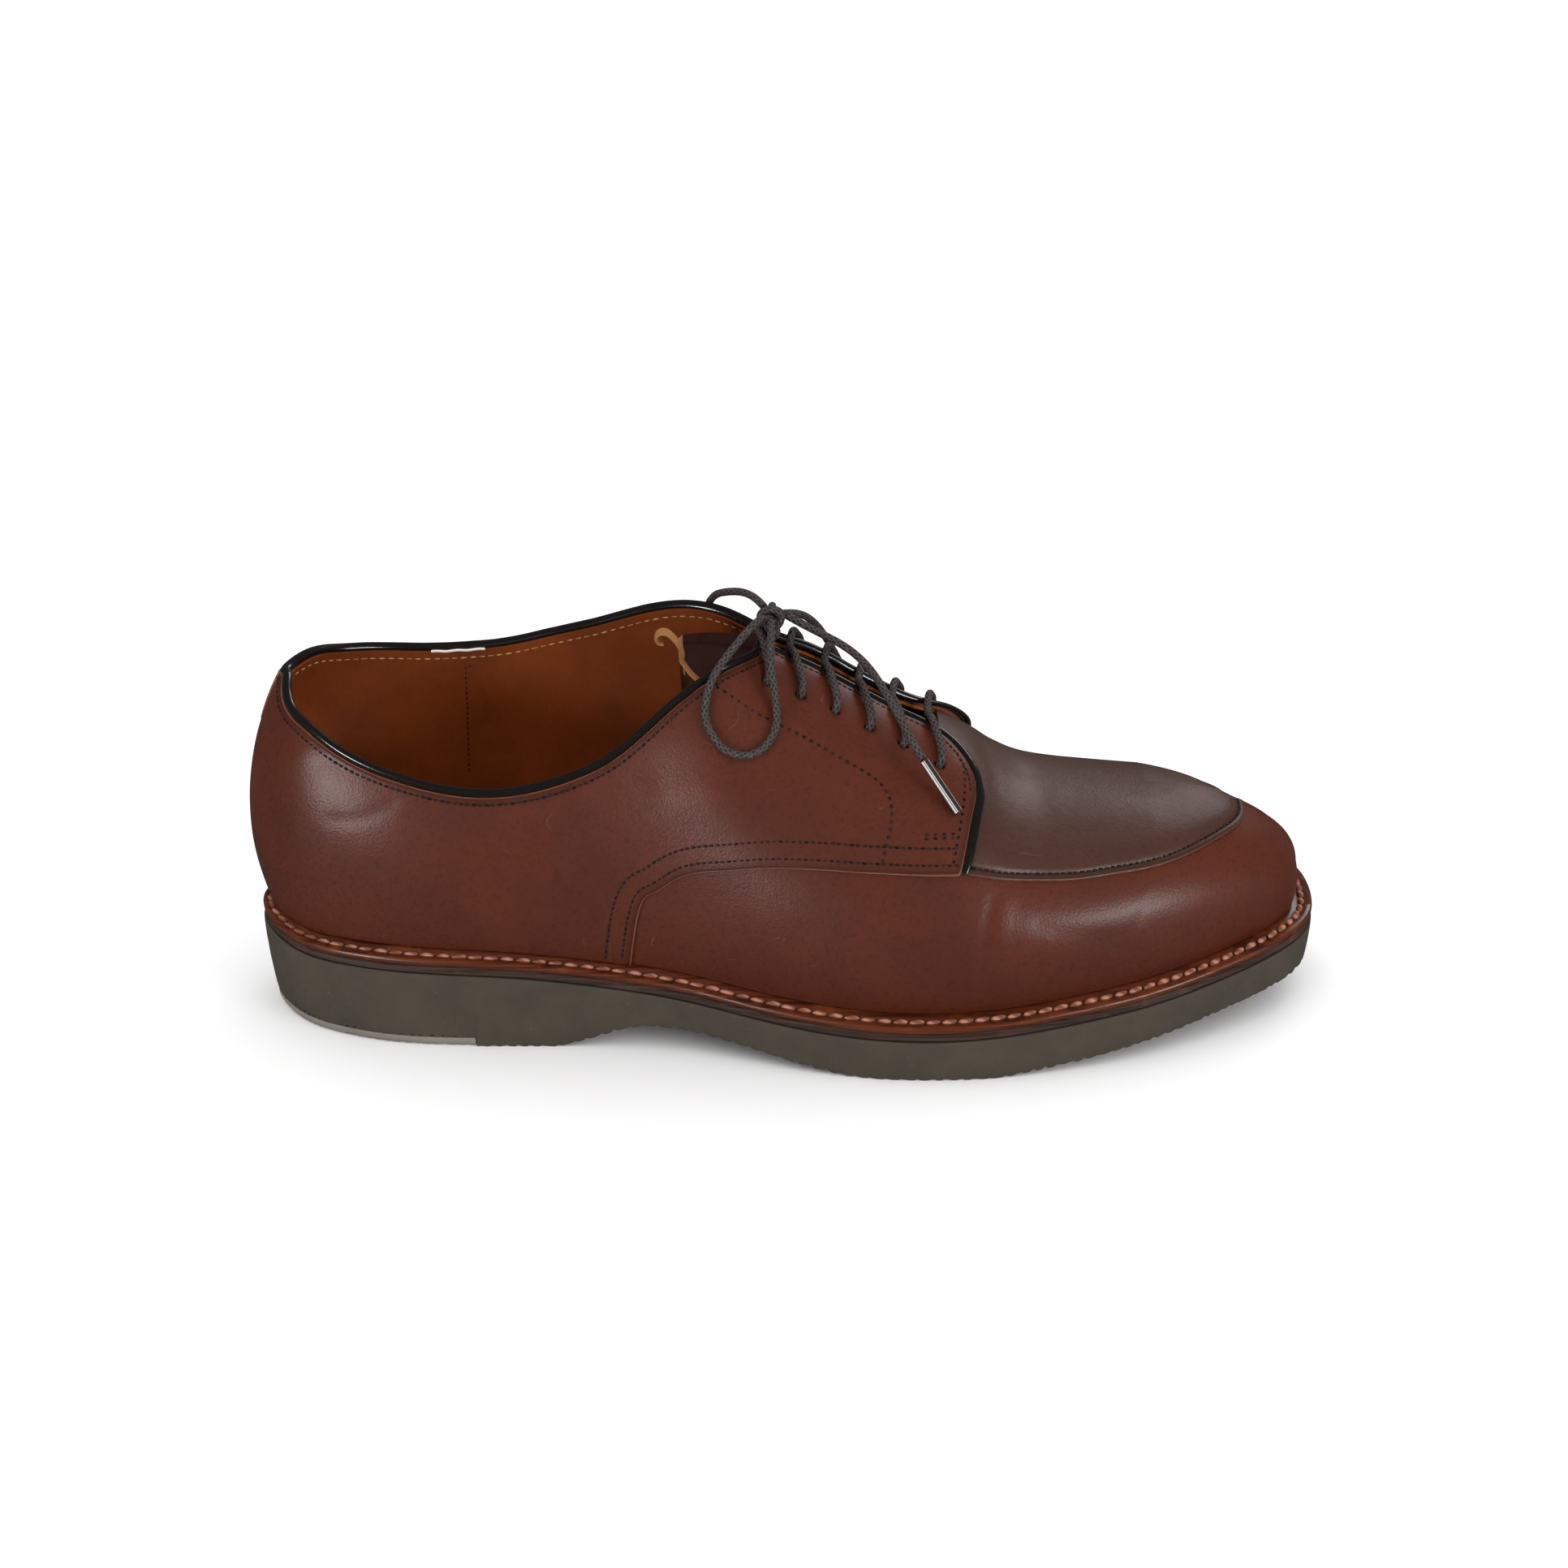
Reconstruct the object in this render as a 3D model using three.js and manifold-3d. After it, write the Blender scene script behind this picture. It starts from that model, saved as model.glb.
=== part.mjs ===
// Apron toe derby, right foot: welted shoe with a wedge-like rubber sole, a split toe and six pairs of holes.
// Lengths are millimetres. +X runs to the toe, +Y to the inner (medial) side, +Z up.
// The origin lies on the floor under the middle of the heel.

import * as THREE from "three";
import { mergeVertices } from "three/addons/utils/BufferGeometryUtils.js";
import Module from "manifold-3d";

const wasm = await Module();
wasm.setup();

// Driving sizes of the sole.
const SOLE_LENGTH = 314;
const HEEL_WIDTH = 77.6;
const BALL_WIDTH = 111;
const HEEL_STACK = 28.6;
const FORE_STACK = 17.2;
const TOE_SPRING = 11.6;
const ARCH_RISE = 8;
const HEEL_REST_FROM_BACK = 38;
const WELT_THICKNESS = 2;
const MIDSOLE_THICKNESS = 2.1;
const INSOLE_THICKNESS = 3;
const WELT_CROWN = 1.6;
const HEEL_PATCH_THICKNESS = 2.8;
const HEEL_PATCH_LENGTH = 66;
const SOLE_TUCK = 1.2;
const HEEL_TUCK = 6;
const SEAT_RIM_LIFT = 3.2;
const SEAT_RIM_REACH = 26;

// Driving sizes of the upper. Heights are measured up from the top of the sole's edge.
const UPPER_WALL = 2;
const QUARTER_STEP = 1.2;
const QUARTER_SEAT = 0.9;
const APRON_STEP = 0.9;
const COLLAR_BACK_HEIGHT = 73.5;
const ANKLE_OUTER_HEIGHT = 50.6;
const ANKLE_INNER_HEIGHT = 71.5;
const INSTEP_HEIGHT = 92;
const TOE_BOX_HEIGHT = 46;
const WELT_MARGIN = 6.4;
const HEEL_MARGIN = 3.7;
const THROAT_TOP_FROM_BACK = 148;
const THROAT_END_FROM_BACK = 208.5;
const VAMP_BACK_FROM_HEEL = 198;
const QUARTER_FOOT_FROM_BACK = 110;
const QUARTER_CORNER_FROM_BACK = 204;
const QUARTER_EDGE_HEIGHT = 42.4;
const THROAT_GAP_TOP = 5;
const THROAT_GAP_END = 20;
const FACING_CORNER = 18.5;
const FACING_SPREAD = 31;
const FACING_LIFT = 1.4;
const APRON_HEIGHT = 41.6;
const TOE_SEAM_WIDTH = 2.6;
const TOE_SEAM_STEP = 0.8;
const HEEL_TAB_DEPTH = 15;
const HEEL_TAB_STEP = 0.9;
const BINDING_WIDTH = 3;
const BINDING_HEIGHT = 2.2;
const BINDING_PROUD = 0.45;
const BINDING_FRONT_SHARE = 0.5;
const BINDING_SIDES = 6;
const TONGUE_THICKNESS = 2;
const TONGUE_RISE = 28;
const TONGUE_HALF_WIDTH = 19.5;
const TONGUE_SHIFT = 1.5;
const TONGUE_LIFT = 10.5;
const TONGUE_DIP = 1.6;
const TONGUE_FOOT_FROM_BACK = 207;
const LACE_DIAMETER = 2.3;
const AGLET_DIAMETER = 3;
const EYELET_DIAMETER = 3.5;
const EYELET_PAIRS = 6;
const EYELET_SETBACK = 13.5;
const SEAT_GAP = 0.3;

// Where the ribs of the last fan out from, as shares of the sole's length.
const HEEL_FAN = 0.121;
const TOE_FAN = 0.834;

// Share of a rib's parameter spent below the widest point of the section.
const LOWER_SHARE = 0.22;

const LATERAL = -1;
const MEDIAL = 1;

// Outline of the sole: half widths each side of the heel's centre line, from the back of the heel.
const HEEL_OUTLINE = [
  { along: 0.0, lateral: 0.0, medial: 0.0 },
  { along: 0.013, lateral: 0.174, medial: 0.174 },
  { along: 0.047, lateral: 0.335, medial: 0.335 },
  { along: 0.088, lateral: 0.42, medial: 0.42 },
  { along: 0.15, lateral: 0.485, medial: 0.485 },
  { along: 0.223, lateral: 0.5, medial: 0.497 },
  { along: 0.283, lateral: 0.5, medial: 0.485 },
];
const FORE_OUTLINE = [
  { along: 0.344, lateral: 0.36, medial: 0.33 },
  { along: 0.408, lateral: 0.393, medial: 0.335 },
  { along: 0.468, lateral: 0.45, medial: 0.362 },
  { along: 0.529, lateral: 0.5, medial: 0.404 },
  { along: 0.589, lateral: 0.528, medial: 0.443 },
  { along: 0.646, lateral: 0.531, medial: 0.466 },
  { along: 0.701, lateral: 0.514, medial: 0.472 },
  { along: 0.764, lateral: 0.47, medial: 0.468 },
  { along: 0.822, lateral: 0.414, medial: 0.455 },
  { along: 0.876, lateral: 0.337, medial: 0.433 },
  { along: 0.924, lateral: 0.249, medial: 0.4 },
  { along: 0.965, lateral: 0.154, medial: 0.352 },
  { along: 0.985, lateral: 0.08, medial: 0.307 },
  { along: 0.996, lateral: -0.002, medial: 0.244 },
  { along: 1.0, lateral: -0.124, medial: 0.124 },
];

// Top line of the sole's edge: heel is the share of the drop from heel to ball, spring of the toe spring.
const SOLE_TOP = [
  { along: 0.0, heel: 1.0, spring: 0.0 },
  { along: 0.15, heel: 0.98, spring: 0.0 },
  { along: 0.239, heel: 0.88, spring: 0.0 },
  { along: 0.318, heel: 0.67, spring: 0.0 },
  { along: 0.408, heel: 0.41, spring: 0.0 },
  { along: 0.478, heel: 0.2, spring: 0.0 },
  { along: 0.548, heel: 0.05, spring: 0.0 },
  { along: 0.62, heel: 0.0, spring: 0.0 },
  { along: 0.685, heel: 0.0, spring: 0.06 },
  { along: 0.748, heel: 0.0, spring: 0.19 },
  { along: 0.812, heel: 0.0, spring: 0.34 },
  { along: 0.876, heel: 0.0, spring: 0.52 },
  { along: 0.939, heel: 0.0, spring: 0.72 },
  { along: 1.0, heel: 0.0, spring: 0.94 },
];

// Underside of the sole: arch is the share of the arch's rise, spring of the toe spring.
const SOLE_BOTTOM = [
  { along: 0.285, arch: 0.02, spring: 0.0 },
  { along: 0.31, arch: 0.28, spring: 0.0 },
  { along: 0.338, arch: 0.68, spring: 0.0 },
  { along: 0.363, arch: 0.94, spring: 0.0 },
  { along: 0.386, arch: 1.0, spring: 0.0 },
  { along: 0.424, arch: 0.86, spring: 0.0 },
  { along: 0.47, arch: 0.6, spring: 0.0 },
  { along: 0.51, arch: 0.3, spring: 0.0 },
  { along: 0.545, arch: 0.08, spring: 0.0 },
  { along: 0.58, arch: 0.0, spring: 0.0 },
  { along: 0.68, arch: 0.0, spring: 0.0 },
  { along: 0.72, arch: 0.0, spring: 0.11 },
  { along: 0.77, arch: 0.0, spring: 0.26 },
  { along: 0.82, arch: 0.0, spring: 0.44 },
  { along: 0.87, arch: 0.0, spring: 0.64 },
  { along: 0.93, arch: 0.0, spring: 0.84 },
  { along: 1.0, arch: 0.0, spring: 1.0 },
];

// Sections of the upper. ridge is the sideways place of the top line as a share of the ball width, the bulges
// are the outer and inner swell over the feather line and belly is the height of its widest place, all three
// in millimetres, and power is how square the section's shoulder is.
const SECTIONS = [
  { along: 0.0, ridge: 0.0, bulgeOut: 4.3, bulgeIn: 4.3, belly: 25, power: 2.0 },
  { along: 0.08, ridge: 0.0, bulgeOut: 3.0, bulgeIn: 3.0, belly: 24, power: 2.0 },
  { along: 0.16, ridge: 0.0, bulgeOut: 2.2, bulgeIn: 2.4, belly: 22, power: 2.0 },
  { along: 0.28, ridge: -0.002, bulgeOut: 1.6, bulgeIn: 3.4, belly: 20, power: 2.0 },
  { along: 0.4, ridge: 0.0, bulgeOut: 1.8, bulgeIn: 5.0, belly: 19, power: 1.95 },
  { along: 0.5, ridge: 0.02, bulgeOut: 2.2, bulgeIn: 4.4, belly: 17, power: 1.85 },
  { along: 0.6, ridge: 0.028, bulgeOut: 2.6, bulgeIn: 3.2, belly: 15, power: 1.9 },
  { along: 0.68, ridge: 0.03, bulgeOut: 2.8, bulgeIn: 2.8, belly: 14, power: 2.1 },
  { along: 0.75, ridge: 0.036, bulgeOut: 2.6, bulgeIn: 2.6, belly: 13, power: 2.25 },
  { along: 0.834, ridge: 0.053, bulgeOut: 2.0, bulgeIn: 2.0, belly: 11, power: 2.35 },
  { along: 0.92, ridge: 0.08, bulgeOut: 1.4, bulgeIn: 1.4, belly: 8, power: 2.35 },
  { along: 1.0, ridge: 0.1, bulgeOut: 1.0, bulgeIn: 1.0, belly: 6, power: 2.3 },
];

// Height of the last's crest over the sole's edge, outer and inner side, as shares of the instep height
// behind the throat's end and of the toe box height ahead of it. Both sides share one crest from where they
// meet to the toe's fan.
const INSTEP_CREST = [
  { along: 0.0, outer: 0.945, inner: 0.945 },
  { along: 0.06, outer: 0.935, inner: 1.01 },
  { along: 0.13, outer: 0.87, inner: 1.19 },
  { along: 0.22, outer: 0.86, inner: 1.22 },
  { along: 0.29, outer: 0.89, inner: 1.27 },
  { along: 0.345, outer: 0.94, inner: 1.31 },
  { along: 0.39, outer: 1.03, inner: 1.31 },
  { along: 0.43, outer: 1.07, inner: 1.19 },
  { along: 0.471, outer: 0.99, inner: 1.03 },
  { along: 0.515, outer: 0.93, inner: 0.97 },
  { along: 0.556, outer: 0.87, inner: 0.895 },
  { along: 0.592, outer: 0.815, inner: 0.827 },
  { along: 0.63, outer: 0.75, inner: 0.75 },
];
const CREST_MEETS = 0.63;
const TOE_CREST = [
  { along: 0.665, outer: 1.36, inner: 1.36 },
  { along: 0.7, outer: 1.18, inner: 1.18 },
  { along: 0.735, outer: 1.075, inner: 1.075 },
  { along: 0.78, outer: 1.0, inner: 1.0 },
  { along: 0.834, outer: 0.925, inner: 0.925 },
  { along: 0.89, outer: 0.85, inner: 0.8 },
  { along: 0.93, outer: 0.77, inner: 0.7 },
  { along: 1.0, outer: 0.64, inner: 0.57 },
];

// The collar's height: shares of the back, ankle and instep heights, which add up to one in each row.
const COLLAR_OUTER = [
  { along: 0.0, back: 1.0, ankle: 0.0, throat: 0.0 },
  { along: 0.012, back: 0.84, ankle: 0.16, throat: 0.0 },
  { along: 0.041, back: 0.66, ankle: 0.34, throat: 0.0 },
  { along: 0.086, back: 0.4, ankle: 0.6, throat: 0.0 },
  { along: 0.146, back: 0.14, ankle: 0.86, throat: 0.0 },
  { along: 0.219, back: 0.0, ankle: 1.0, throat: 0.0 },
  { along: 0.259, back: 0.0, ankle: 0.96, throat: 0.04 },
  { along: 0.301, back: 0.0, ankle: 0.845, throat: 0.155 },
  { along: 0.345, back: 0.0, ankle: 0.64, throat: 0.36 },
  { along: 0.391, back: 0.0, ankle: 0.3, throat: 0.7 },
  { along: 0.437, back: 0.0, ankle: 0.04, throat: 0.96 },
  { along: 0.471, back: 0.0, ankle: 0.0, throat: 1.0 },
];
const COLLAR_INNER = [
  { along: 0.0, back: 1.0, ankle: 0.0, throat: 0.0 },
  { along: 0.016, back: 1.9, ankle: -0.9, throat: 0.0 },
  { along: 0.048, back: 1.7, ankle: -0.7, throat: 0.0 },
  { along: 0.095, back: 0.8, ankle: 0.2, throat: 0.0 },
  { along: 0.158, back: 0.0, ankle: 1.0, throat: 0.0 },
  { along: 0.194, back: 0.0, ankle: 0.965, throat: 0.035 },
  { along: 0.232, back: 0.0, ankle: 0.87, throat: 0.13 },
  { along: 0.273, back: 0.0, ankle: 0.66, throat: 0.34 },
  { along: 0.316, back: 0.0, ankle: 0.42, throat: 0.58 },
  { along: 0.361, back: 0.0, ankle: 0.13, throat: 0.87 },
  { along: 0.406, back: 0.0, ankle: -0.06, throat: 1.06 },
  { along: 0.453, back: 0.0, ankle: -0.05, throat: 1.05 },
  { along: 0.471, back: 0.0, ankle: 0.0, throat: 1.0 },
];

// Lower edge of the quarters on the vamp, from the welt to the front corner, as shares of its height.
const QUARTER_EDGE = [
  { along: 0.351, height: 0.0 },
  { along: 0.356, height: 0.3 },
  { along: 0.373, height: 0.62 },
  { along: 0.392, height: 0.74 },
  { along: 0.43, height: 0.87 },
  { along: 0.47, height: 0.95 },
  { along: 0.51, height: 0.99 },
  { along: 0.58, height: 1.0 },
  { along: 0.65, height: 0.975 },
];

// Height of the apron's seam over the sole's edge, as shares of its height behind.
const APRON_SEAM = [
  { along: 0.6, height: 1.03 },
  { along: 0.655, height: 1.0 },
  { along: 0.691, height: 0.93 },
  { along: 0.727, height: 0.875 },
  { along: 0.761, height: 0.835 },
  { along: 0.794, height: 0.815 },
  { along: 0.825, height: 0.793 },
  { along: 0.88, height: 0.775 },
  { along: 0.926, height: 0.77 },
  { along: 0.962, height: 0.76 },
  { along: 1.0, height: 0.75 },
];

const colour = {
  leather: 0x5a2f24,
  lining: 0x9a5216,
  binding: 0x1e1a1a,
  welt: 0x5b2408,
  midsole: 0x4c2f2b,
  rubber: 0x443e36,
  patch: 0x66625a,
  lace: 0x4a4341,
  clear: 0xb8b4b0,
};

const clamp = THREE.MathUtils.clamp;
const lerp = THREE.MathUtils.lerp;

// A smooth curve through rows of a table, with straight ends.
function curveThrough(places, values) {
  const count = places.length;
  const upper = new Array(count).fill(0);
  const moment = new Array(count).fill(0);
  for (let i = 1; i < count - 1; i += 1) {
    const share = (places[i] - places[i - 1]) / (places[i + 1] - places[i - 1]);
    const pivot = share * upper[i - 1] + 2;
    const after = (values[i + 1] - values[i]) / (places[i + 1] - places[i]);
    const before = (values[i] - values[i - 1]) / (places[i] - places[i - 1]);
    upper[i] = (share - 1) / pivot;
    moment[i] = ((6 * (after - before)) / (places[i + 1] - places[i - 1]) - share * moment[i - 1]) / pivot;
  }
  for (let i = count - 2; i >= 0; i -= 1) {
    moment[i] = upper[i] * moment[i + 1] + moment[i];
  }
  return (at) => {
    let i = places.findIndex((place) => place > at) - 1;
    if (i === -2) i = count - 2;
    i = Math.max(i, 0);
    const span = places[i + 1] - places[i];
    const a = (places[i + 1] - at) / span;
    const b = (at - places[i]) / span;
    const bend = ((a ** 3 - a) * moment[i] + (b ** 3 - b) * moment[i + 1]) * (span ** 2 / 6);
    return a * values[i] + b * values[i + 1] + bend;
  };
}

// Stations run from 0 at the heel's back to 1 at the toe, closest together at both ends.
const alongAt = (station) => (1 - Math.cos(Math.PI * station)) / 2;
const stationAt = (along) => Math.acos(clamp(1 - 2 * along, -1, 1)) / Math.PI;
const stationFromBack = (distance) => stationAt(distance / SOLE_LENGTH);

function columnByStation(rows, value) {
  return curveThrough(rows.map((row) => stationAt(row.along)), rows.map(value));
}

function columnByAlong(rows, value) {
  return curveThrough(rows.map((row) => row.along), rows.map(value));
}

const outlineRows = [
  ...HEEL_OUTLINE.map((row) => ({ ...row, width: HEEL_WIDTH })),
  ...FORE_OUTLINE.map((row) => ({ ...row, width: BALL_WIDTH })),
];
const lateralEdge = columnByStation(outlineRows, (row) => -row.lateral * row.width);
const medialEdge = columnByStation(outlineRows, (row) => row.medial * row.width);
const heelDrop = columnByAlong(SOLE_TOP, (row) => row.heel);
const topSpring = columnByAlong(SOLE_TOP, (row) => row.spring);
const archShare = columnByAlong(SOLE_BOTTOM, (row) => row.arch);
const bottomSpring = columnByAlong(SOLE_BOTTOM, (row) => row.spring);
const ridge = columnByAlong(SECTIONS, (row) => row.ridge * BALL_WIDTH);
const bulgeOut = columnByAlong(SECTIONS, (row) => row.bulgeOut);
const bulgeIn = columnByAlong(SECTIONS, (row) => row.bulgeIn);
const belly = columnByAlong(SECTIONS, (row) => row.belly);
const power = columnByAlong(SECTIONS, (row) => row.power);
const crestRows = [
  ...INSTEP_CREST.map((row) => ({ ...row, height: INSTEP_HEIGHT })),
  ...TOE_CREST.map((row) => ({ ...row, height: TOE_BOX_HEIGHT })),
];
const crestOut = columnByAlong(crestRows, (row) => row.outer * row.height);
const innerGain = columnByAlong(crestRows, (row) => (row.inner - row.outer) * row.height);
const crestShared = (along) => along >= CREST_MEETS && along <= TOE_FAN;
const crestIn = (along) => crestOut(along) + (crestShared(along) ? 0 : innerGain(along));

// Sole heights at a distance from the heel's back.
function soleTop(distance) {
  const along = clamp(distance / SOLE_LENGTH, 0, 1);
  const rim = SEAT_RIM_LIFT * Math.max(0, 1 - Math.max(distance, 0) / SEAT_RIM_REACH) ** 2;
  return FORE_STACK + (HEEL_STACK - FORE_STACK) * heelDrop(along) + TOE_SPRING * topSpring(along) + rim;
}

function soleBottom(distance) {
  const along = clamp(distance / SOLE_LENGTH, 0, 1);
  if (along < SOLE_BOTTOM[0].along) return 0;
  return Math.max(0, ARCH_RISE * archShare(along) + TOE_SPRING * bottomSpring(along));
}

// A place on the sole's outline. round runs from -1 at the toe over the lateral side to 0 at the heel's
// back, and on over the medial side to 1 at the toe again.
function wrap(round) {
  if (round > 1) return round - 2;
  if (round < -1) return round + 2;
  return round;
}

function outline(round) {
  const place = wrap(round);
  const station = Math.abs(place);
  const edge = place < 0 ? lateralEdge : medialEdge;
  return new THREE.Vector2(alongAt(station) * SOLE_LENGTH, edge(station));
}

const ROUND_STEP = 0.002;

function outlineInset(round, inset) {
  const ahead = outline(round + ROUND_STEP);
  const behind = outline(round - ROUND_STEP);
  const run = ahead.sub(behind).normalize();
  const at = outline(round);
  return new THREE.Vector2(at.x + run.y * inset, at.y - run.x * inset);
}

// Visible width of the welt round the shoe.
const MARGINS = [
  { along: 0.0, out: 0.0, inside: 0.0 },
  { along: 0.06, out: 0.6, inside: 0.6 },
  { along: 0.15, out: 0.8, inside: 0.8 },
  { along: 0.4, out: 0.75, inside: 0.75 },
  { along: 0.6, out: 1.0, inside: 0.9 },
  { along: 0.8, out: 1.0, inside: 0.9 },
  { along: 1.0, out: 0.85, inside: 0.85 },
];
const marginOut = columnByAlong(MARGINS, (row) => row.out);
const marginIn = columnByAlong(MARGINS, (row) => row.inside);

function margin(round) {
  const place = wrap(round);
  const along = alongAt(Math.abs(place));
  const share = place < 0 ? marginOut(along) : marginIn(along);
  return lerp(HEEL_MARGIN, WELT_MARGIN, share);
}

const featherLift = (distance) => WELT_CROWN * (0.5 + 0.5 * (1 - clamp(distance / SOLE_LENGTH, 0, 1)));

// Centre that a rib of the last leans to, in plan.
function ribCentre(station) {
  const distance = clamp(alongAt(station), HEEL_FAN, TOE_FAN) * SOLE_LENGTH;
  return new THREE.Vector2(distance, ridge(distance / SOLE_LENGTH));
}

// A point on the last. height is 0 at the feather line and 1 on the crest.
function lastPoint(round, height) {
  const place = wrap(round);
  const station = Math.abs(place);
  const along = alongAt(station);
  const centre = ribCentre(station);
  const foot = outlineInset(place, margin(place));
  const reach = foot.clone().sub(centre);
  const footReach = reach.length();
  const swell = place < 0 ? bulgeOut(along) : bulgeIn(along);
  const crest = place < 0 ? crestOut : crestIn;
  const widest = footReach + swell;
  const footHeight = soleTop(foot.x) + featherLift(foot.x) + SEAT_GAP;
  const bellyHeight = footHeight + belly(along);
  let out = widest;
  let rise = 0;
  if (height < LOWER_SHARE) {
    const drop = 1 - height / LOWER_SHARE;
    out = widest - swell * drop ** 2;
    rise = -belly(along) * drop;
  } else {
    const angle = (Math.min((height - LOWER_SHARE) / (1 - LOWER_SHARE), 1) * Math.PI) / 2;
    out = widest * Math.max(Math.cos(angle), 0) ** (2 / power(along));
    rise = Math.sin(angle) ** (2 / power(along));
  }
  const at = centre.clone().addScaledVector(reach, out / footReach);
  if (height >= LOWER_SHARE) {
    const distance = clamp(at.x, 0, SOLE_LENGTH);
    const top = soleTop(distance) + crest(distance / SOLE_LENGTH);
    rise *= top - bellyHeight;
  }
  return new THREE.Vector3(at.x, at.y, bellyHeight + rise);
}

const HEIGHT_STEP = 0.004;

// Outward direction of the last's surface.
function lastNormal(round, height) {
  const place = wrap(round);
  if (height > 1 - HEIGHT_STEP) {
    const distance = ribCentre(Math.abs(place)).x;
    const crest = (at) => soleTop(at) + crestOut(at / SOLE_LENGTH);
    return new THREE.Vector3(crest(distance - 1) - crest(distance + 1), 0, 2).normalize();
  }
  const above = lastPoint(place, Math.min(height + HEIGHT_STEP, 1));
  const below = lastPoint(place, Math.max(height - HEIGHT_STEP, 0));
  const ahead = lastPoint(place + ROUND_STEP, height);
  const behind = lastPoint(place - ROUND_STEP, height);
  const normal = above.sub(below).cross(ahead.sub(behind)).normalize();
  if (height < HEIGHT_STEP) normal.setZ(0).normalize();
  return normal;
}

function lastOffset(round, height, offset) {
  return lastPoint(round, height).addScaledVector(lastNormal(round, height), offset);
}

// Height parameter where a measure of the rib's point reaches a value, found by halving.
function heightWhere(round, measure, value) {
  let low = 0;
  let high = 1;
  for (let i = 0; i < 40; i += 1) {
    const middle = (low + high) / 2;
    if (measure(lastPoint(round, middle)) < value) low = middle;
    else high = middle;
  }
  return (low + high) / 2;
}

const heightAtLevel = (round, level) => heightWhere(round, (at) => at.z - soleTop(at.x), level);

function heightAtWidth(round, across) {
  const side = wrap(round) < 0 ? LATERAL : MEDIAL;
  return heightWhere(round, (at) => -side * at.y, -side * across);
}

// Closed bodies from grids of points. Faces that come to lie back to back cancel each other.
const KEY_SCALE = 2e3;

class Body {
  constructor() {
    this.points = [];
    this.lookup = new Map();
    this.faces = new Map();
  }

  index(point) {
    const key = point.toArray().map((value) => Math.round(value * KEY_SCALE)).join(" ");
    if (!this.lookup.has(key)) {
      this.lookup.set(key, this.points.length);
      this.points.push(point.clone());
    }
    return this.lookup.get(key);
  }

  triangle(a, b, c) {
    if (a === b || b === c || c === a) return;
    const key = [a, b, c].sort((x, y) => x - y).join(" ");
    if (this.faces.has(key)) this.faces.delete(key);
    else this.faces.set(key, [a, b, c]);
  }

  quad(first, second, third, fourth) {
    const corners = [first, second, third, fourth].map((point) => this.index(point));
    const turn = corners.indexOf(Math.min(...corners)) % 2;
    const [a, b, c, d] = turn === 0 ? corners : [corners[1], corners[2], corners[3], corners[0]];
    this.triangle(a, b, c);
    this.triangle(a, c, d);
  }

  volume() {
    let sum = 0;
    this.faces.forEach(([a, b, c]) => {
      sum += this.points[a].dot(this.points[b].clone().cross(this.points[c]));
    });
    return sum / 6;
  }

  geometry() {
    const flipped = this.volume() < 0;
    const faces = [...this.faces.values()].map(([a, b, c]) => (flipped ? [a, c, b] : [a, b, c]));
    const geometry = new THREE.BufferGeometry();
    const positions = this.points.flatMap((point) => point.toArray());
    geometry.setAttribute("position", new THREE.Float32BufferAttribute(positions, 3));
    geometry.setIndex(faces.flat());
    return geometry;
  }
}

// A wall between an outer and an inner grid of points, both indexed by column and row.
function slab(outer, inner) {
  const body = new Body();
  const columns = outer.length - 1;
  const rows = outer[0].length - 1;
  for (let i = 0; i < columns; i += 1) {
    for (let j = 0; j < rows; j += 1) {
      body.quad(outer[i][j], outer[i + 1][j], outer[i + 1][j + 1], outer[i][j + 1]);
      body.quad(inner[i][j], inner[i][j + 1], inner[i + 1][j + 1], inner[i + 1][j]);
    }
    body.quad(outer[i + 1][0], outer[i][0], inner[i][0], inner[i + 1][0]);
    body.quad(outer[i][rows], outer[i + 1][rows], inner[i + 1][rows], inner[i][rows]);
  }
  for (let j = 0; j < rows; j += 1) {
    body.quad(outer[0][j], outer[0][j + 1], inner[0][j + 1], inner[0][j]);
    body.quad(outer[columns][j + 1], outer[columns][j], inner[columns][j], inner[columns][j + 1]);
  }
  return body.geometry();
}

// A body lofted through rings of points. A loop joins its last ring to its first, others are capped.
function loft(rings, loop = false) {
  const body = new Body();
  const count = rings[0].length;
  const spans = loop ? rings.length : rings.length - 1;
  for (let i = 0; i < spans; i += 1) {
    const near = rings[i];
    const far = rings[(i + 1) % rings.length];
    for (let j = 0; j < count; j += 1) {
      const next = (j + 1) % count;
      body.quad(near[j], far[j], far[next], near[next]);
    }
  }
  if (!loop) {
    const last = rings[rings.length - 1];
    for (let j = 0; j < count / 2 - 1; j += 1) {
      const facing = count - 1 - j;
      body.quad(rings[0][j], rings[0][j + 1], rings[0][facing - 1], rings[0][facing]);
      body.quad(last[j], last[facing], last[facing - 1], last[j + 1]);
    }
  }
  return body.geometry();
}

function asSolid(geometry) {
  const bare = geometry.clone();
  bare.deleteAttribute("normal");
  bare.deleteAttribute("uv");
  const merged = mergeVertices(bare, 1e-4);
  const vertProperties = new Float32Array(merged.attributes.position.array);
  const triVerts = new Uint32Array(merged.index.array);
  return new wasm.Manifold(new wasm.Mesh({ numProp: 3, vertProperties, triVerts }));
}

function asGeometry(solid) {
  const mesh = solid.getMesh();
  const geometry = new THREE.BufferGeometry();
  geometry.setAttribute("position", new THREE.BufferAttribute(mesh.vertProperties, 3));
  geometry.setIndex(new THREE.BufferAttribute(mesh.triVerts, 1));
  return geometry;
}

const group = new THREE.Group();
group.position.x = -HEEL_REST_FROM_BACK;

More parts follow.
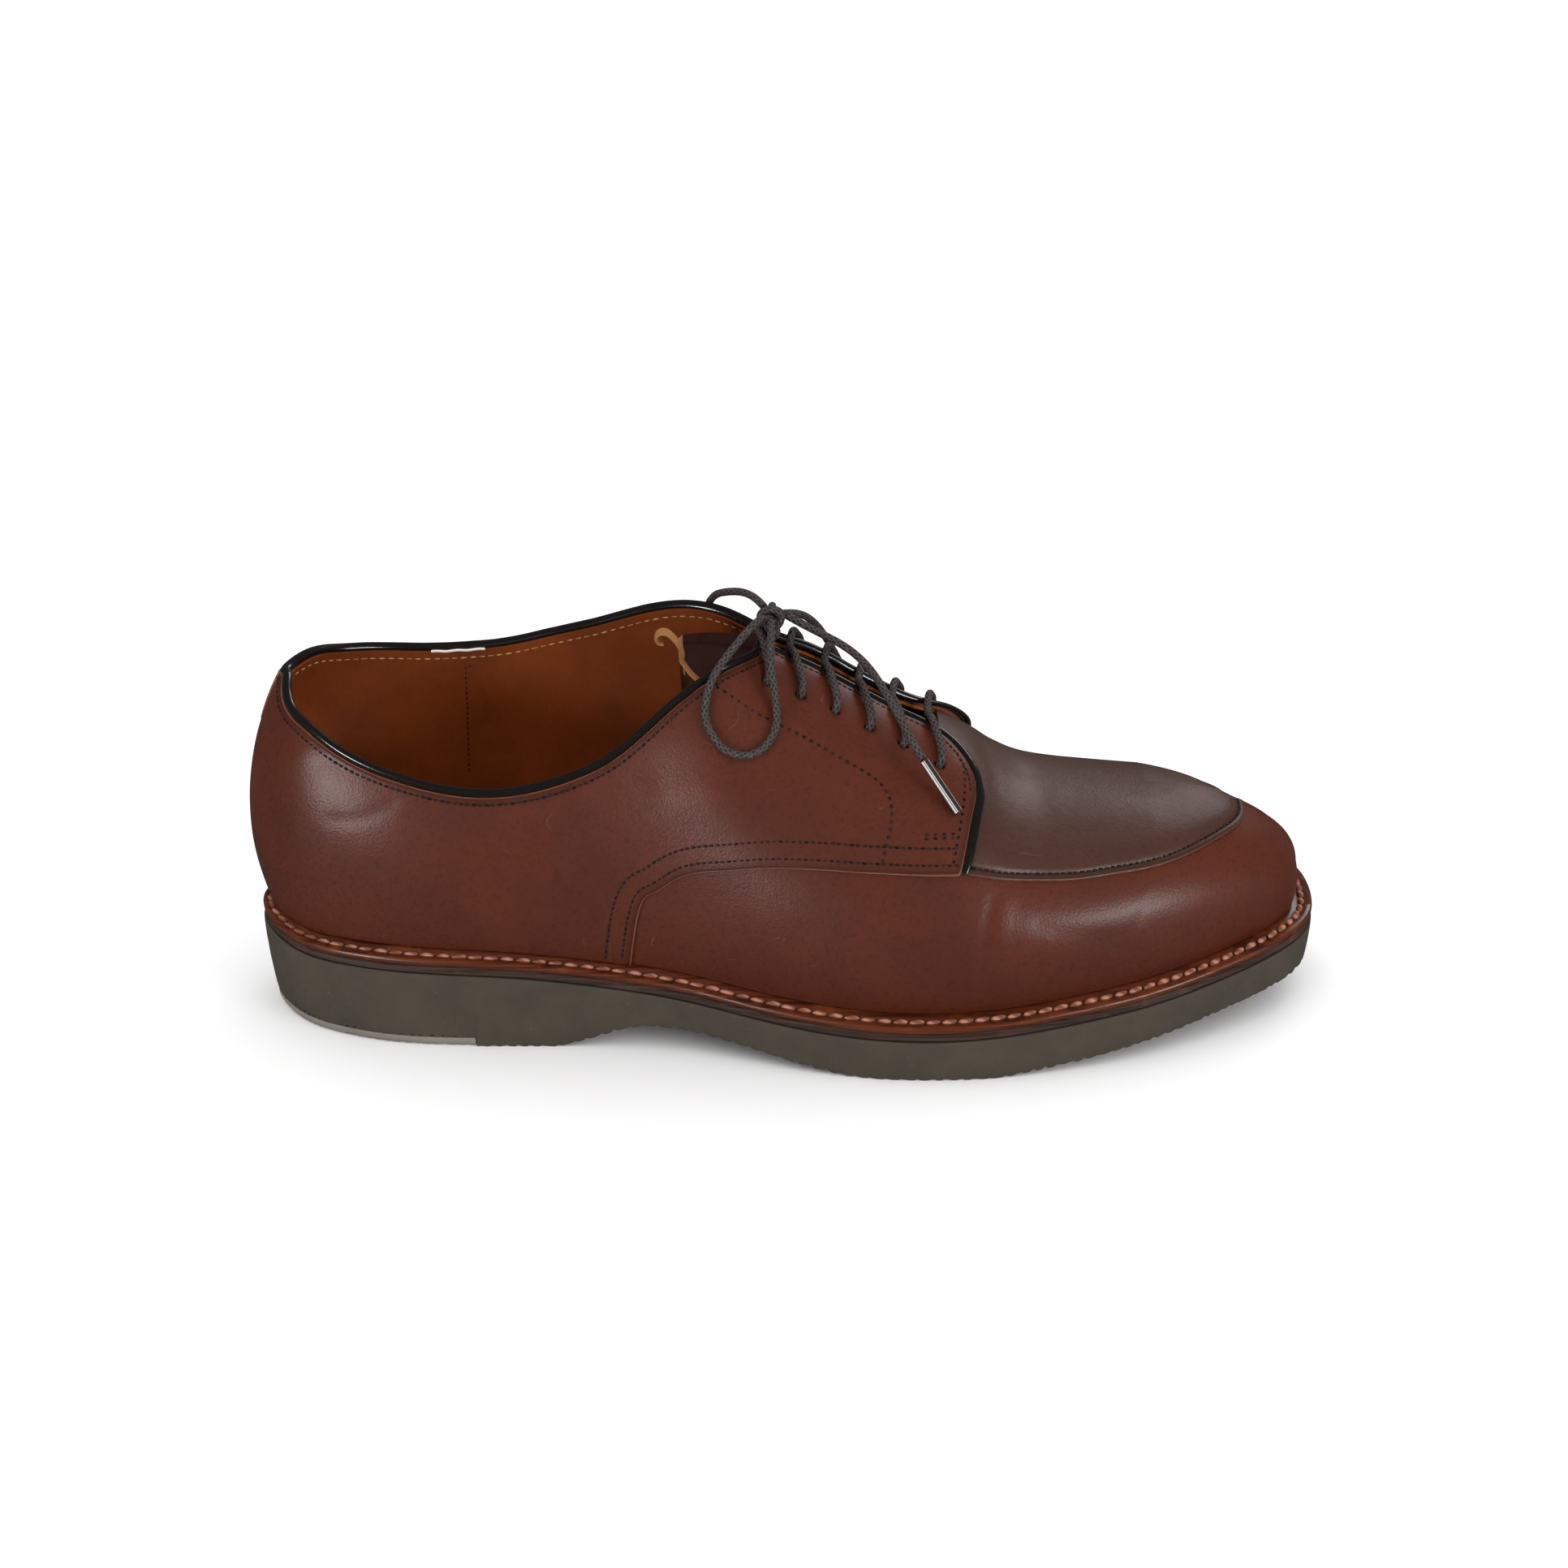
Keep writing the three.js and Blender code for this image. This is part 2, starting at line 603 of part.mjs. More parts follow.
function addPiece(name, geometry, color, roughness) {
  const material = new THREE.MeshStandardMaterial({ color, roughness, metalness: 0 });
  const mesh = new THREE.Mesh(geometry, material);
  mesh.name = name;
  group.add(mesh);
}

// Stations from a list of stops: each stop is a distance from the heel's back and the steps up to it.
function stations(start, stops) {
  const list = [stationFromBack(start)];
  stops.forEach(([distance, steps]) => {
    const from = list[list.length - 1];
    const to = stationFromBack(distance);
    for (let i = 1; i <= steps; i += 1) list.push(lerp(from, to, i / steps));
  });
  return list;
}

const ramp = (value, from, to) => THREE.MathUtils.smoothstep(value, from, to);

// The sole's layers.
const weltFloor = (distance) => soleTop(distance) - WELT_THICKNESS;
const midsoleTop = (distance) => weltFloor(distance) - SEAT_GAP;
const midsoleFloor = (distance) => midsoleTop(distance) - MIDSOLE_THICKNESS;
const outsoleTop = (distance) => midsoleFloor(distance) - SEAT_GAP;

function edgePoint(round, inset, height) {
  const at = outlineInset(round, inset);
  return new THREE.Vector3(at.x, at.y, height(at.x));
}

// One ring across a plate: up the lateral edge and down the medial one.
function plateRing(station, levels) {
  const lateral = levels.map(({ inset, height }) => edgePoint(-station, inset, height));
  const medial = levels.map(({ inset, height }) => edgePoint(station, inset, height));
  return [...lateral, ...medial.reverse()];
}

const plateStations = stations(0, [[SOLE_LENGTH, 40]]);

function soleTuck(station) {
  const distance = alongAt(station) * SOLE_LENGTH;
  return lerp(HEEL_TUCK, SOLE_TUCK, ramp(distance, 0, HEEL_REST_FROM_BACK));
}

const patchCeiling = () => HEEL_PATCH_THICKNESS + SEAT_GAP;

function outsoleRing(station, floor) {
  const tuck = soleTuck(station);
  const blend = (share) => (distance) => lerp(outsoleTop(distance), floor(distance), share);
  return plateRing(station, [
    { inset: tuck, height: floor },
    { inset: tuck * 0.45, height: blend(0.8) },
    { inset: 0, height: blend(0.35) },
    { inset: 0, height: outsoleTop },
  ]);
}

function makeOutsole() {
  const patchEnd = stationFromBack(HEEL_PATCH_LENGTH);
  const behind = plateStations.filter((station) => station < patchEnd);
  const ahead = plateStations.filter((station) => station > patchEnd);
  const rings = [
    ...[...behind, patchEnd].map((station) => outsoleRing(station, patchCeiling)),
    ...[patchEnd, ...ahead].map((station) => outsoleRing(station, soleBottom)),
  ];
  return loft(rings);
}

function makeHeelPatch() {
  const patchEnd = stationFromBack(HEEL_PATCH_LENGTH - SEAT_GAP);
  const rings = [...plateStations.filter((station) => station < patchEnd), patchEnd].map((station) => {
    const tuck = soleTuck(station);
    return plateRing(station, [
      { inset: tuck + HEEL_PATCH_THICKNESS * 0.4, height: () => 0 },
      { inset: tuck, height: () => HEEL_PATCH_THICKNESS * 0.5 },
      { inset: tuck, height: () => HEEL_PATCH_THICKNESS },
    ]);
  });
  return loft(rings);
}

const midsoleInset = 0.4;

function makeMidsole() {
  return loft(plateStations.map((station) => plateRing(station, [
    { inset: midsoleInset, height: midsoleFloor },
    { inset: midsoleInset, height: midsoleTop },
  ])));
}

const weltInner = (round) => margin(round) + UPPER_WALL + 2;
const weltLedge = (round) => Math.max(margin(round) - 2, 1);

function makeWelt() {
  const rounds = [...plateStations.map((station) => -station).reverse(), ...plateStations.slice(1, -1)];
  const crown = (distance) => soleTop(distance) + featherLift(distance);
  const lip = (distance) => lerp(weltFloor(distance), soleTop(distance), 0.5);
  return loft(rounds.map((round) => [
    edgePoint(round, weltInner(round), weltFloor),
    edgePoint(round, 0.3, weltFloor),
    edgePoint(round, 0, lip),
    edgePoint(round, 0.3, soleTop),
    edgePoint(round, weltLedge(round), crown),
    edgePoint(round, weltInner(round), crown),
  ]), true);
}

function makeInsole() {
  const top = (distance) => weltFloor(distance) + INSOLE_THICKNESS;
  return loft(plateStations.map((station) => {
    const inset = (round) => weltInner(round) + SEAT_GAP;
    const side = (round) => [edgePoint(round, inset(round), weltFloor), edgePoint(round, inset(round), top)];
    return [...side(-station), ...side(station).reverse()];
  }));
}

// The collar and the throat: where the quarters end at the top.
const collarOf = (rows) => columnByAlong(rows, (row) => row.back * COLLAR_BACK_HEIGHT
  + row.ankle * (rows === COLLAR_OUTER ? ANKLE_OUTER_HEIGHT : ANKLE_INNER_HEIGHT)
  + row.throat * INSTEP_HEIGHT);
const collarOut = collarOf(COLLAR_OUTER);
const collarIn = collarOf(COLLAR_INNER);
const edgeAllowance = BINDING_HEIGHT + SEAT_GAP;

// Half the gap between the facings, measured across from the ridge, with a rounded corner at the front.
function throatHalf(distance) {
  const run = clamp((distance - THROAT_TOP_FROM_BACK) / (THROAT_END_FROM_BACK - THROAT_TOP_FROM_BACK), 0, 1);
  const straight = lerp(THROAT_GAP_TOP, THROAT_GAP_END, run) / 2 + edgeAllowance;
  const turn = clamp(1 - (THROAT_END_FROM_BACK - distance) / FACING_CORNER, 0, 1);
  return lerp(straight, FACING_SPREAD, 1 - Math.sqrt(1 - turn ** 2));
}

function quarterTop(round) {
  const along = alongAt(Math.abs(round));
  const distance = along * SOLE_LENGTH;
  const side = round < 0 ? LATERAL : MEDIAL;
  const collar = side === LATERAL ? collarOut : collarIn;
  const atCollar = heightAtLevel(round, collar(along) - edgeAllowance);
  if (distance < THROAT_TOP_FROM_BACK - edgeAllowance * 4) return atCollar;
  const atThroat = heightAtWidth(round, ridge(along) + side * throatHalf(distance));
  return distance <= THROAT_TOP_FROM_BACK ? Math.min(atCollar, atThroat) : atThroat;
}

const edgeShare = columnByAlong(QUARTER_EDGE, (row) => row.height);
const quarterTip = (side) => quarterTop(side * stationFromBack(THROAT_END_FROM_BACK));
const quarterTips = { [LATERAL]: quarterTip(LATERAL), [MEDIAL]: quarterTip(MEDIAL) };

function quarterFoot(round) {
  const along = alongAt(Math.abs(round));
  const distance = along * SOLE_LENGTH;
  if (distance <= QUARTER_FOOT_FROM_BACK) return 0;
  const corner = QUARTER_CORNER_FROM_BACK;
  const level = (at) => QUARTER_EDGE_HEIGHT * clamp(edgeShare(at), 0, 1);
  if (distance <= corner) return heightAtLevel(round, Math.max(level(along), 2));
  const side = round < 0 ? LATERAL : MEDIAL;
  const front = (distance - corner) / (THROAT_END_FROM_BACK - corner);
  const base = heightAtLevel(round, level(corner / SOLE_LENGTH));
  return lerp(base, quarterTips[side], front ** 1.3);
}

// How far the quarters stand off the last where they ride over the apron and the tongue.
function quarterLift(round, height) {
  const distance = alongAt(Math.abs(round)) * SOLE_LENGTH;
  const front = ramp(distance, VAMP_BACK_FROM_HEEL - 12, VAMP_BACK_FROM_HEEL + 5);
  return (APRON_STEP + FACING_LIFT * ramp(height, 0.55, 0.8)) * front;
}

const quarterStations = stations(0, [
  [QUARTER_FOOT_FROM_BACK, 13],
  [QUARTER_FOOT_FROM_BACK + 1.6, 1],
  [QUARTER_FOOT_FROM_BACK + 7, 1],
  [QUARTER_FOOT_FROM_BACK + 14, 1],
  [THROAT_TOP_FROM_BACK - 4, 2],
  [THROAT_TOP_FROM_BACK, 1],
  [VAMP_BACK_FROM_HEEL, 6],
  [QUARTER_CORNER_FROM_BACK, 1],
  [QUARTER_CORNER_FROM_BACK + 3, 1],
  [THROAT_END_FROM_BACK, 1],
]);
const bothWays = (list) => [...list.map((station) => -station).reverse(), ...list.slice(1)];
const quarterRounds = bothWays(quarterStations);
const QUARTER_ROWS = 7;

function quarterGrid(offset) {
  return quarterRounds.map((round) => {
    const foot = quarterFoot(round);
    const top = quarterTop(round);
    const column = [];
    for (let j = 0; j <= QUARTER_ROWS; j += 1) {
      const height = lerp(foot, Math.max(top, foot), j / QUARTER_ROWS);
      column.push(lastOffset(round, height, offset(round, height)));
    }
    return column;
  });
}

const onFacing = (round, height) => QUARTER_STEP + quarterLift(round, height);
const makeQuarters = () => slab(quarterGrid(onFacing), quarterGrid(() => -QUARTER_SEAT));

// The vamp: tucked under the quarters behind, closed over the toes ahead of the throat.
const VAMP_TUCK = 6;
const VAMP_TURN = 12;
const VAMP_LEVELS = [0, 0.1, 0.22, 0.34, 0.46, 0.58, 0.72, 0.86, 1];

function vampTop(round) {
  const along = alongAt(Math.abs(round));
  const distance = along * SOLE_LENGTH;
  if (distance >= VAMP_BACK_FROM_HEEL - 0.01) return 1;
  const under = (distance + VAMP_TUCK) / SOLE_LENGTH;
  const tucked = heightAtLevel(round, QUARTER_EDGE_HEIGHT * clamp(edgeShare(under), 0, 1) + VAMP_TUCK);
  return lerp(1, tucked, clamp((VAMP_BACK_FROM_HEEL - distance) / VAMP_TURN, 0, 1));
}

const toeStations = stations(THROAT_END_FROM_BACK, [[SOLE_LENGTH, 13]]);
const vampStations = [
  ...stations(QUARTER_FOOT_FROM_BACK - VAMP_TUCK, [
    [QUARTER_FOOT_FROM_BACK + 1.6, 1],
    [QUARTER_FOOT_FROM_BACK + 7, 1],
    [QUARTER_FOOT_FROM_BACK + 14, 1],
    [THROAT_TOP_FROM_BACK, 3],
    [VAMP_BACK_FROM_HEEL - VAMP_TURN, 4],
    [VAMP_BACK_FROM_HEEL, 4],
    [QUARTER_CORNER_FROM_BACK, 1],
  ]),
  ...toeStations,
];

// Rounds in order over the toe: out along the lateral side and back along the medial one.
const overToe = (list) => [...list.map((station) => -station), ...list.slice(0, -1).reverse()];

function vampGrid(offset) {
  return overToe(vampStations).map((round) => {
    const top = vampTop(round);
    return VAMP_LEVELS.map((level) => lastOffset(round, Math.min(level, top), offset));
  });
}

const makeVamp = () => slab(vampGrid(0), vampGrid(-UPPER_WALL));

// The apron: a raised panel inside its seam, from under the facings to the toe.
const seamShare = columnByAlong(APRON_SEAM, (row) => row.height);
const apronFoot = (round) => heightAtLevel(round, APRON_HEIGHT * seamShare(alongAt(Math.abs(round))));
const apronStations = [
  ...stations(VAMP_BACK_FROM_HEEL + 2, [[QUARTER_CORNER_FROM_BACK, 1]]),
  ...toeStations,
];

function apronGrid(offset) {
  return overToe(apronStations).map((round) => {
    const foot = apronFoot(round);
    return VAMP_LEVELS.map((level) => lastOffset(round, Math.max(level, foot), offset));
  });
}

const makeApron = () => slab(apronGrid(APRON_STEP), apronGrid(-UPPER_WALL / 2));

// The raised seam that splits the toe below the apron.
function makeToeSeam() {
  const tip = outline(1);
  const half = (ROUND_STEP * TOE_SEAM_WIDTH) / 2 / outline(1 - ROUND_STEP).distanceTo(tip);
  const end = apronFoot(1) + 0.02;
  const levels = [...VAMP_LEVELS.filter((level) => level < end), end];
  const grid = (offset, share) => [-1, 0, 1].map((across) => {
    const round = wrap(1 + across * half * share);
    return levels.map((level) => lastOffset(round, level, offset));
  });
  return slab(grid(TOE_SEAM_STEP, 0.7), grid(-UPPER_WALL / 2, 1));
}

// The tab over the back seam, which hangs under the collar and round onto the inner side.
function makeHeelTab() {
  const from = -stationFromBack(1.5);
  const to = stationFromBack(34);
  const columns = 9;
  const rows = 3;
  const grid = (offset) => {
    const columnsOut = [];
    for (let i = 0; i <= columns; i += 1) {
      const round = lerp(from, to, i / columns);
      const across = 1 - (i / columns) ** 2.4;
      const top = heightAtLevel(round, collarAt(round) - edgeAllowance - 0.8);
      const drop = edgeAllowance + 1.6 + HEEL_TAB_DEPTH * across ** 0.6;
      const foot = heightAtLevel(round, collarAt(round) - drop);
      const column = [];
      for (let j = 0; j <= rows; j += 1) {
        column.push(lastOffset(round, lerp(foot, top, j / rows), offset));
      }
      columnsOut.push(column);
    }
    return columnsOut;
  };
  return slab(grid(QUARTER_STEP + HEEL_TAB_STEP), grid(0));
}

function collarAt(round) {
  const along = alongAt(Math.abs(round));
  return round < 0 ? collarOut(along) : collarIn(along);
}

// The pairs of holes, evenly spaced along the facings.
const firstPair = THROAT_TOP_FROM_BACK + EYELET_DIAMETER * 0.45;
const lastPair = VAMP_BACK_FROM_HEEL + 0.9;
const pairs = Array.from({ length: EYELET_PAIRS }, (_, i) => {
  const share = i / (EYELET_PAIRS - 1);
  return lerp(firstPair, lastPair, share);
});

// A point over a facing: how far back from its edge, and how far above the leather.
function facingPoint(side, distance, setback, above) {
  const round = side * stationFromBack(distance);
  const across = ridge(distance / SOLE_LENGTH) + side * (throatHalf(distance) + setback);
  const height = heightAtWidth(round, across);
  return lastOffset(round, height, QUARTER_STEP + quarterLift(round, height) + above);
}

function makeEyeletCutter(side, distance) {
  const from = facingPoint(side, distance, EYELET_SETBACK, -6);
  const to = facingPoint(side, distance, EYELET_SETBACK, 5);
  const radius = EYELET_DIAMETER / 2;
  const cutter = new THREE.CylinderGeometry(radius, radius, from.distanceTo(to), 8);
  const run = to.clone().sub(from).normalize();
  cutter.applyQuaternion(new THREE.Quaternion().setFromUnitVectors(new THREE.Vector3(0, 1, 0), run));
  const middle = from.add(to).multiplyScalar(0.5);
  cutter.translate(middle.x, middle.y, middle.z);
  return asSolid(cutter);
}

function makeUpper() {
  let upper = asSolid(makeQuarters());
  [makeVamp(), makeApron(), makeToeSeam(), makeHeelTab()].forEach((piece) => {
    upper = upper.add(asSolid(piece));
  });
  [LATERAL, MEDIAL].forEach((side) => {
    pairs.forEach((distance) => {
      upper = upper.subtract(makeEyeletCutter(side, distance));
    });
  });
  return asGeometry(upper);
}

// The rolled binding that sits on the upper's edge, from one facing's front corner round the collar. It
// thins where it lies over the apron.
function makeBinding() {
  const edge = quarterRounds.slice(1, -1).map((round) => {
    const height = quarterTop(round);
    const distance = alongAt(Math.abs(round)) * SOLE_LENGTH;
    const ahead = ramp(distance, VAMP_BACK_FROM_HEEL - 12, VAMP_BACK_FROM_HEEL);
    const width = BINDING_WIDTH * lerp(1, BINDING_FRONT_SHARE, ahead);
    const middle = QUARTER_STEP + BINDING_PROUD - width / 2 + quarterLift(round, height);
    return { at: lastOffset(round, height, middle), out: lastNormal(round, height), width };
  });
  const rings = edge.map(({ at, out, width }, i) => {
    const before = edge[Math.max(i - 1, 0)].at;
    const after = edge[Math.min(i + 1, edge.length - 1)].at;
    const run = after.clone().sub(before).normalize();
    const up = run.clone().cross(out).normalize();
    const across = up.clone().cross(run).normalize();
    const centre = at.clone().addScaledVector(up, SEAT_GAP + BINDING_HEIGHT / 2);
    return Array.from({ length: BINDING_SIDES }, (_, k) => {
      const angle = ((k + 0.5) / BINDING_SIDES) * 2 * Math.PI;
      return centre.clone()
        .addScaledVector(up, (Math.sin(angle) * BINDING_HEIGHT) / 2)
        .addScaledVector(across, (Math.cos(angle) * width) / 2);
    });
  });
  return loft(rings);
}

// The tongue: under the vamp's back edge and the facings, then free above the throat.
function tonguePoint(distance, share, under) {
  const free = Math.max(THROAT_TOP_FROM_BACK - distance, 0);
  const held = Math.max(distance, THROAT_TOP_FROM_BACK);
  const side = share < 0 ? LATERAL : MEDIAL;
  const up = free / TONGUE_RISE;
  const taper = lerp(1, 0.8, ramp(distance, THROAT_TOP_FROM_BACK, TONGUE_FOOT_FROM_BACK));
  const corner = 1 - 0.45 * up ** 6;
  const across = ridge(held / SOLE_LENGTH) + TONGUE_SHIFT + share * TONGUE_HALF_WIDTH * taper * corner;
  const round = side * stationFromBack(held);
  const height = heightAtWidth(round, across);
  const dip = TONGUE_DIP * ramp(distance, VAMP_BACK_FROM_HEEL - 14, VAMP_BACK_FROM_HEEL);
  const at = lastOffset(round, height, -under - dip);
  at.x -= free;
  at.z += TONGUE_LIFT * (1.3 * up - 0.3 * up ** 2);
  return at;
}

function makeTongue() {
  const columns = 15;
  const rows = 8;
  const top = THROAT_TOP_FROM_BACK - TONGUE_RISE;
  const grid = (under) => Array.from({ length: columns + 1 }, (_, i) => {
    const distance = lerp(top, TONGUE_FOOT_FROM_BACK, i / columns);
    return Array.from({ length: rows + 1 }, (_, j) => tonguePoint(distance, (2 * j) / rows - 1, under));
  });
  const clearance = UPPER_WALL + SEAT_GAP;
  return slab(grid(clearance), grid(clearance + TONGUE_THICKNESS));
}

// A cord of eight sides along a curve through points.
function cord(points, diameter, steps, sides = 8) {
  const ring = Array.from({ length: sides }, (_, k) => {
    const angle = (k / sides) * 2 * Math.PI;
    return new THREE.Vector2(Math.cos(angle), Math.sin(angle)).multiplyScalar(diameter / 2);
  });
  const path = new THREE.CatmullRomCurve3(points, false, "centripetal");
  return new THREE.ExtrudeGeometry(new THREE.Shape(ring), { steps, extrudePath: path, bevelEnabled: false });
}

// One crossing of the lace: out of a hole, over both bound edges and into the hole across the throat.
function makeCrossing(distance) {
  const lie = LACE_DIAMETER / 2 + SEAT_GAP;
  const overEdge = lie + BINDING_PROUD + SEAT_GAP;
  const half = (side) => [
    facingPoint(side, distance, EYELET_SETBACK, -0.4),
    facingPoint(side, distance, EYELET_SETBACK, lie + 0.2),
    facingPoint(side, distance, EYELET_SETBACK - LACE_DIAMETER, lie + 0.9),
    facingPoint(side, distance, EYELET_SETBACK / 2, lie + 0.5),
    facingPoint(side, distance, -edgeAllowance / 2, overEdge + 0.3),
  ];
  return cord([...half(LATERAL), ...half(MEDIAL).reverse()], LACE_DIAMETER, 12, 6);
}

// The bow. Routes are points from the knot outwards, in millimetres from the back of the sole, the heel's
// centre line and the floor.
const route = (points) => points.map(([x, y, z]) => new THREE.Vector3(x, y, z));
const KNOT_CENTRE = new THREE.Vector3(151.2, -0.6, 119.6);
const KNOT_SIZE = { along: 7.2, across: 7.6, height: 5.2 };
const NEAR_LOOP = route([
  [148.6, -4.9, 120.0], [145.6, -10.4, 119.0], [141.0, -17.0, 115.6], [137.0, -21.6, 111.6],
  [134.3, -24.9, 107.1], [133.0, -29.4, 100.3], [134.9, -32.2, 95.4], [138.9, -34.2, 91.3],
  [143.5, -34.5, 90.0], [148.0, -33.3, 90.7], [151.4, -30.5, 93.5], [152.9, -26.9, 96.9],
  [152.6, -23.0, 101.8], [152.0, -21.3, 106.3], [151.4, -19.6, 110.4], [151.2, -15.4, 114.2],
  [151.3, -9.6, 117.2], [151.4, -5.2, 118.9],
]);
const FAR_LOOP = route([
  [149.2, 3.9, 120.4], [146.4, 7.8, 121.8], [142.6, 12.6, 121.8], [138.4, 17.4, 120.2],
  [135.0, 22.4, 117.6], [132.6, 27.2, 112.8], [131.6, 30.4, 106.6], [132.8, 34.2, 101.4],
  [136.2, 36.4, 97.4], [140.8, 36.8, 95.9], [145.2, 35.8, 97.4], [148.2, 33.4, 101.2],
  [149.6, 30.2, 105.8], [150.6, 26.0, 110.8], [151.4, 19.6, 115.0], [151.6, 12.0, 117.7],
  [151.4, 4.6, 119.2],
]);
const NEAR_END = route([
  [155.4, 0.4, 119.2], [160.6, 2.0, 115.6], [166.2, 2.4, 112.4], [171.6, 1.6, 109.6],
  [176.6, -1.8, 106.8], [180.6, -7.6, 104.0], [183.9, -15.0, 100.9], [187.9, -22.2, 95.8],
  [191.6, -28.2, 90.6], [193.9, -31.0, 87.4],
]);
const FAR_END = route([
  [154.0, 3.6, 118.4], [157.6, 9.6, 116.4], [161.4, 16.8, 112.8], [164.6, 23.0, 107.9],
  [167.2, 28.4, 102.4], [170.0, 33.0, 95.9], [172.6, 36.2, 89.6], [174.4, 38.6, 84.0],
]);
const NEAR_AGLET = route([[194.2, -31.4, 87.0], [199.0, -34.8, 80.6], [203.7, -38.2, 74.4]]);
const FAR_AGLET = route([[174.6, 38.9, 83.2], [176.8, 41.6, 76.6], [179.0, 44.0, 70.0]]);

function makeKnot() {
  const knot = new THREE.SphereGeometry(0.5, 12, 8);
  knot.scale(KNOT_SIZE.along, KNOT_SIZE.across, KNOT_SIZE.height);
  return knot.translate(KNOT_CENTRE.x, KNOT_CENTRE.y, KNOT_CENTRE.z);
}

addPiece("outsole", makeOutsole(), colour.rubber, 0.75);
addPiece("heel_patch", makeHeelPatch(), colour.patch, 0.8);
addPiece("midsole", makeMidsole(), colour.midsole, 0.5);
addPiece("welt", makeWelt(), colour.welt, 0.35);
addPiece("insole", makeInsole(), colour.lining, 0.6);
addPiece("upper", makeUpper(), colour.leather, 0.4);
addPiece("binding", makeBinding(), colour.binding, 0.2);
addPiece("tongue", makeTongue(), colour.leather, 0.5);
pairs.forEach((distance, i) => {
  addPiece(`lace_crossing_${i + 1}`, makeCrossing(distance), colour.lace, 0.8);
});
addPiece("lace_knot", makeKnot(), colour.lace, 0.8);
addPiece("lace_loop_near", cord(NEAR_LOOP, LACE_DIAMETER, 30), colour.lace, 0.8);
addPiece("lace_loop_far", cord(FAR_LOOP, LACE_DIAMETER, 28), colour.lace, 0.8);
addPiece("lace_end_near", cord(NEAR_END, LACE_DIAMETER, 18), colour.lace, 0.8);
addPiece("lace_end_far", cord(FAR_END, LACE_DIAMETER, 14), colour.lace, 0.8);
addPiece("aglet_near", cord(NEAR_AGLET, AGLET_DIAMETER, 2), colour.clear, 0.15);
addPiece("aglet_far", cord(FAR_AGLET, AGLET_DIAMETER, 2), colour.clear, 0.15);

export default group;
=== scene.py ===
"""Apron toe derby, right shoe: a dark brown leather upper, stitched welt and cut-away rubber wedge sole.

Every size below is in millimetres in the shoe's own frame: along from the back of the sole, across from the
heel's centre line (inner side positive) and up from the floor. `to_metres` moves it into the part's frame.
"""

import logging
import math
from dataclasses import dataclass, field
from enum import Enum
from typing import Callable, Iterable, NamedTuple, Sequence

import bpy
import numpy as np
from bpy.types import Material, Node, NodeSocket, NodeTree, Object
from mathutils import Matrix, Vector
from mathutils.kdtree import KDTree

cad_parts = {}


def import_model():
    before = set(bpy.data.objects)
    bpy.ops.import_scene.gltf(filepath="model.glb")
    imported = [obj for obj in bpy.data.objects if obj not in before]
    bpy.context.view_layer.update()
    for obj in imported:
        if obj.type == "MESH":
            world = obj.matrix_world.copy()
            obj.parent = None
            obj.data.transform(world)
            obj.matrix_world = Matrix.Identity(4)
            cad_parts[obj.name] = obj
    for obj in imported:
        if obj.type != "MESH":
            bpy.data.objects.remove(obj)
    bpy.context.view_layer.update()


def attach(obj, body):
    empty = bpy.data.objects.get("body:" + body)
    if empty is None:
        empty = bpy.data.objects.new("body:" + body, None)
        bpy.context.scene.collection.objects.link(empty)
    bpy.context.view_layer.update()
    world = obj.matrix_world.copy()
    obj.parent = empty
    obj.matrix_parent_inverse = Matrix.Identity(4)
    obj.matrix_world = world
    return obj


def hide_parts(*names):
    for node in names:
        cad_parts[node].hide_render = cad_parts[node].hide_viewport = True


LOG = logging.getLogger("derby")

# Sole sizes.
SOLE_LENGTH = 314.0
HEEL_WIDTH = 77.6
BALL_WIDTH = 111.0
HEEL_STACK = 28.6
FORE_STACK = 17.2
TOE_SPRING = 11.6
ARCH_RISE = 8.0
HEEL_REST_FROM_BACK = 38.0
WELT_THICKNESS = 2.0
MIDSOLE_THICKNESS = 2.1
INSOLE_THICKNESS = 3.0
WELT_CROWN = 1.6
HEEL_PATCH_THICKNESS = 2.8
HEEL_PATCH_LENGTH = 66.0
SOLE_TUCK = 1.2
HEEL_TUCK = 2.6
SEAT_RIM_LIFT = 3.2
SEAT_RIM_REACH = 26.0

# Upper sizes, heights measured up from the sole's top edge.
UPPER_WALL = 2.0
QUARTER_STEP = 1.2
APRON_STEP = 0.9
COLLAR_BACK_HEIGHT = 73.5
ANKLE_OUTER_HEIGHT = 50.6
ANKLE_INNER_HEIGHT = 71.5
INSTEP_HEIGHT = 92.0
TOE_BOX_HEIGHT = 46.0
WELT_MARGIN = 6.4
HEEL_MARGIN = 3.7
THROAT_TOP = 148.0
THROAT_END = 208.5
VAMP_BACK = 198.0
QUARTER_FOOT = 110.0
QUARTER_CORNER = 204.0
QUARTER_EDGE_HEIGHT = 42.4
# Gap between the facings' upper ends, almost closed as in the photograph. The solids keep it wider.
THROAT_GAP_TOP = 1.6
THROAT_GAP_END = 20.0
FACING_CORNER = 18.5
FACING_SPREAD = 31.0
FACING_LIFT = 1.4
APRON_HEIGHT = 41.6
HEEL_TAB_DEPTH = 15.0
HEEL_TAB_STEP = 0.9
BINDING_HEIGHT = 2.2
TONGUE_THICKNESS = 2.0
TONGUE_RISE = 28.0
TONGUE_HALF_WIDTH = 19.5
TONGUE_SHIFT = 1.5
TONGUE_DIP = 1.6
TONGUE_FOOT = 207.0
LACE_DIAMETER = 2.3
AGLET_DIAMETER = 3.0
EYELET_DIAMETER = 3.5
EYELET_PAIRS = 6
EYELET_SETBACK = 13.5
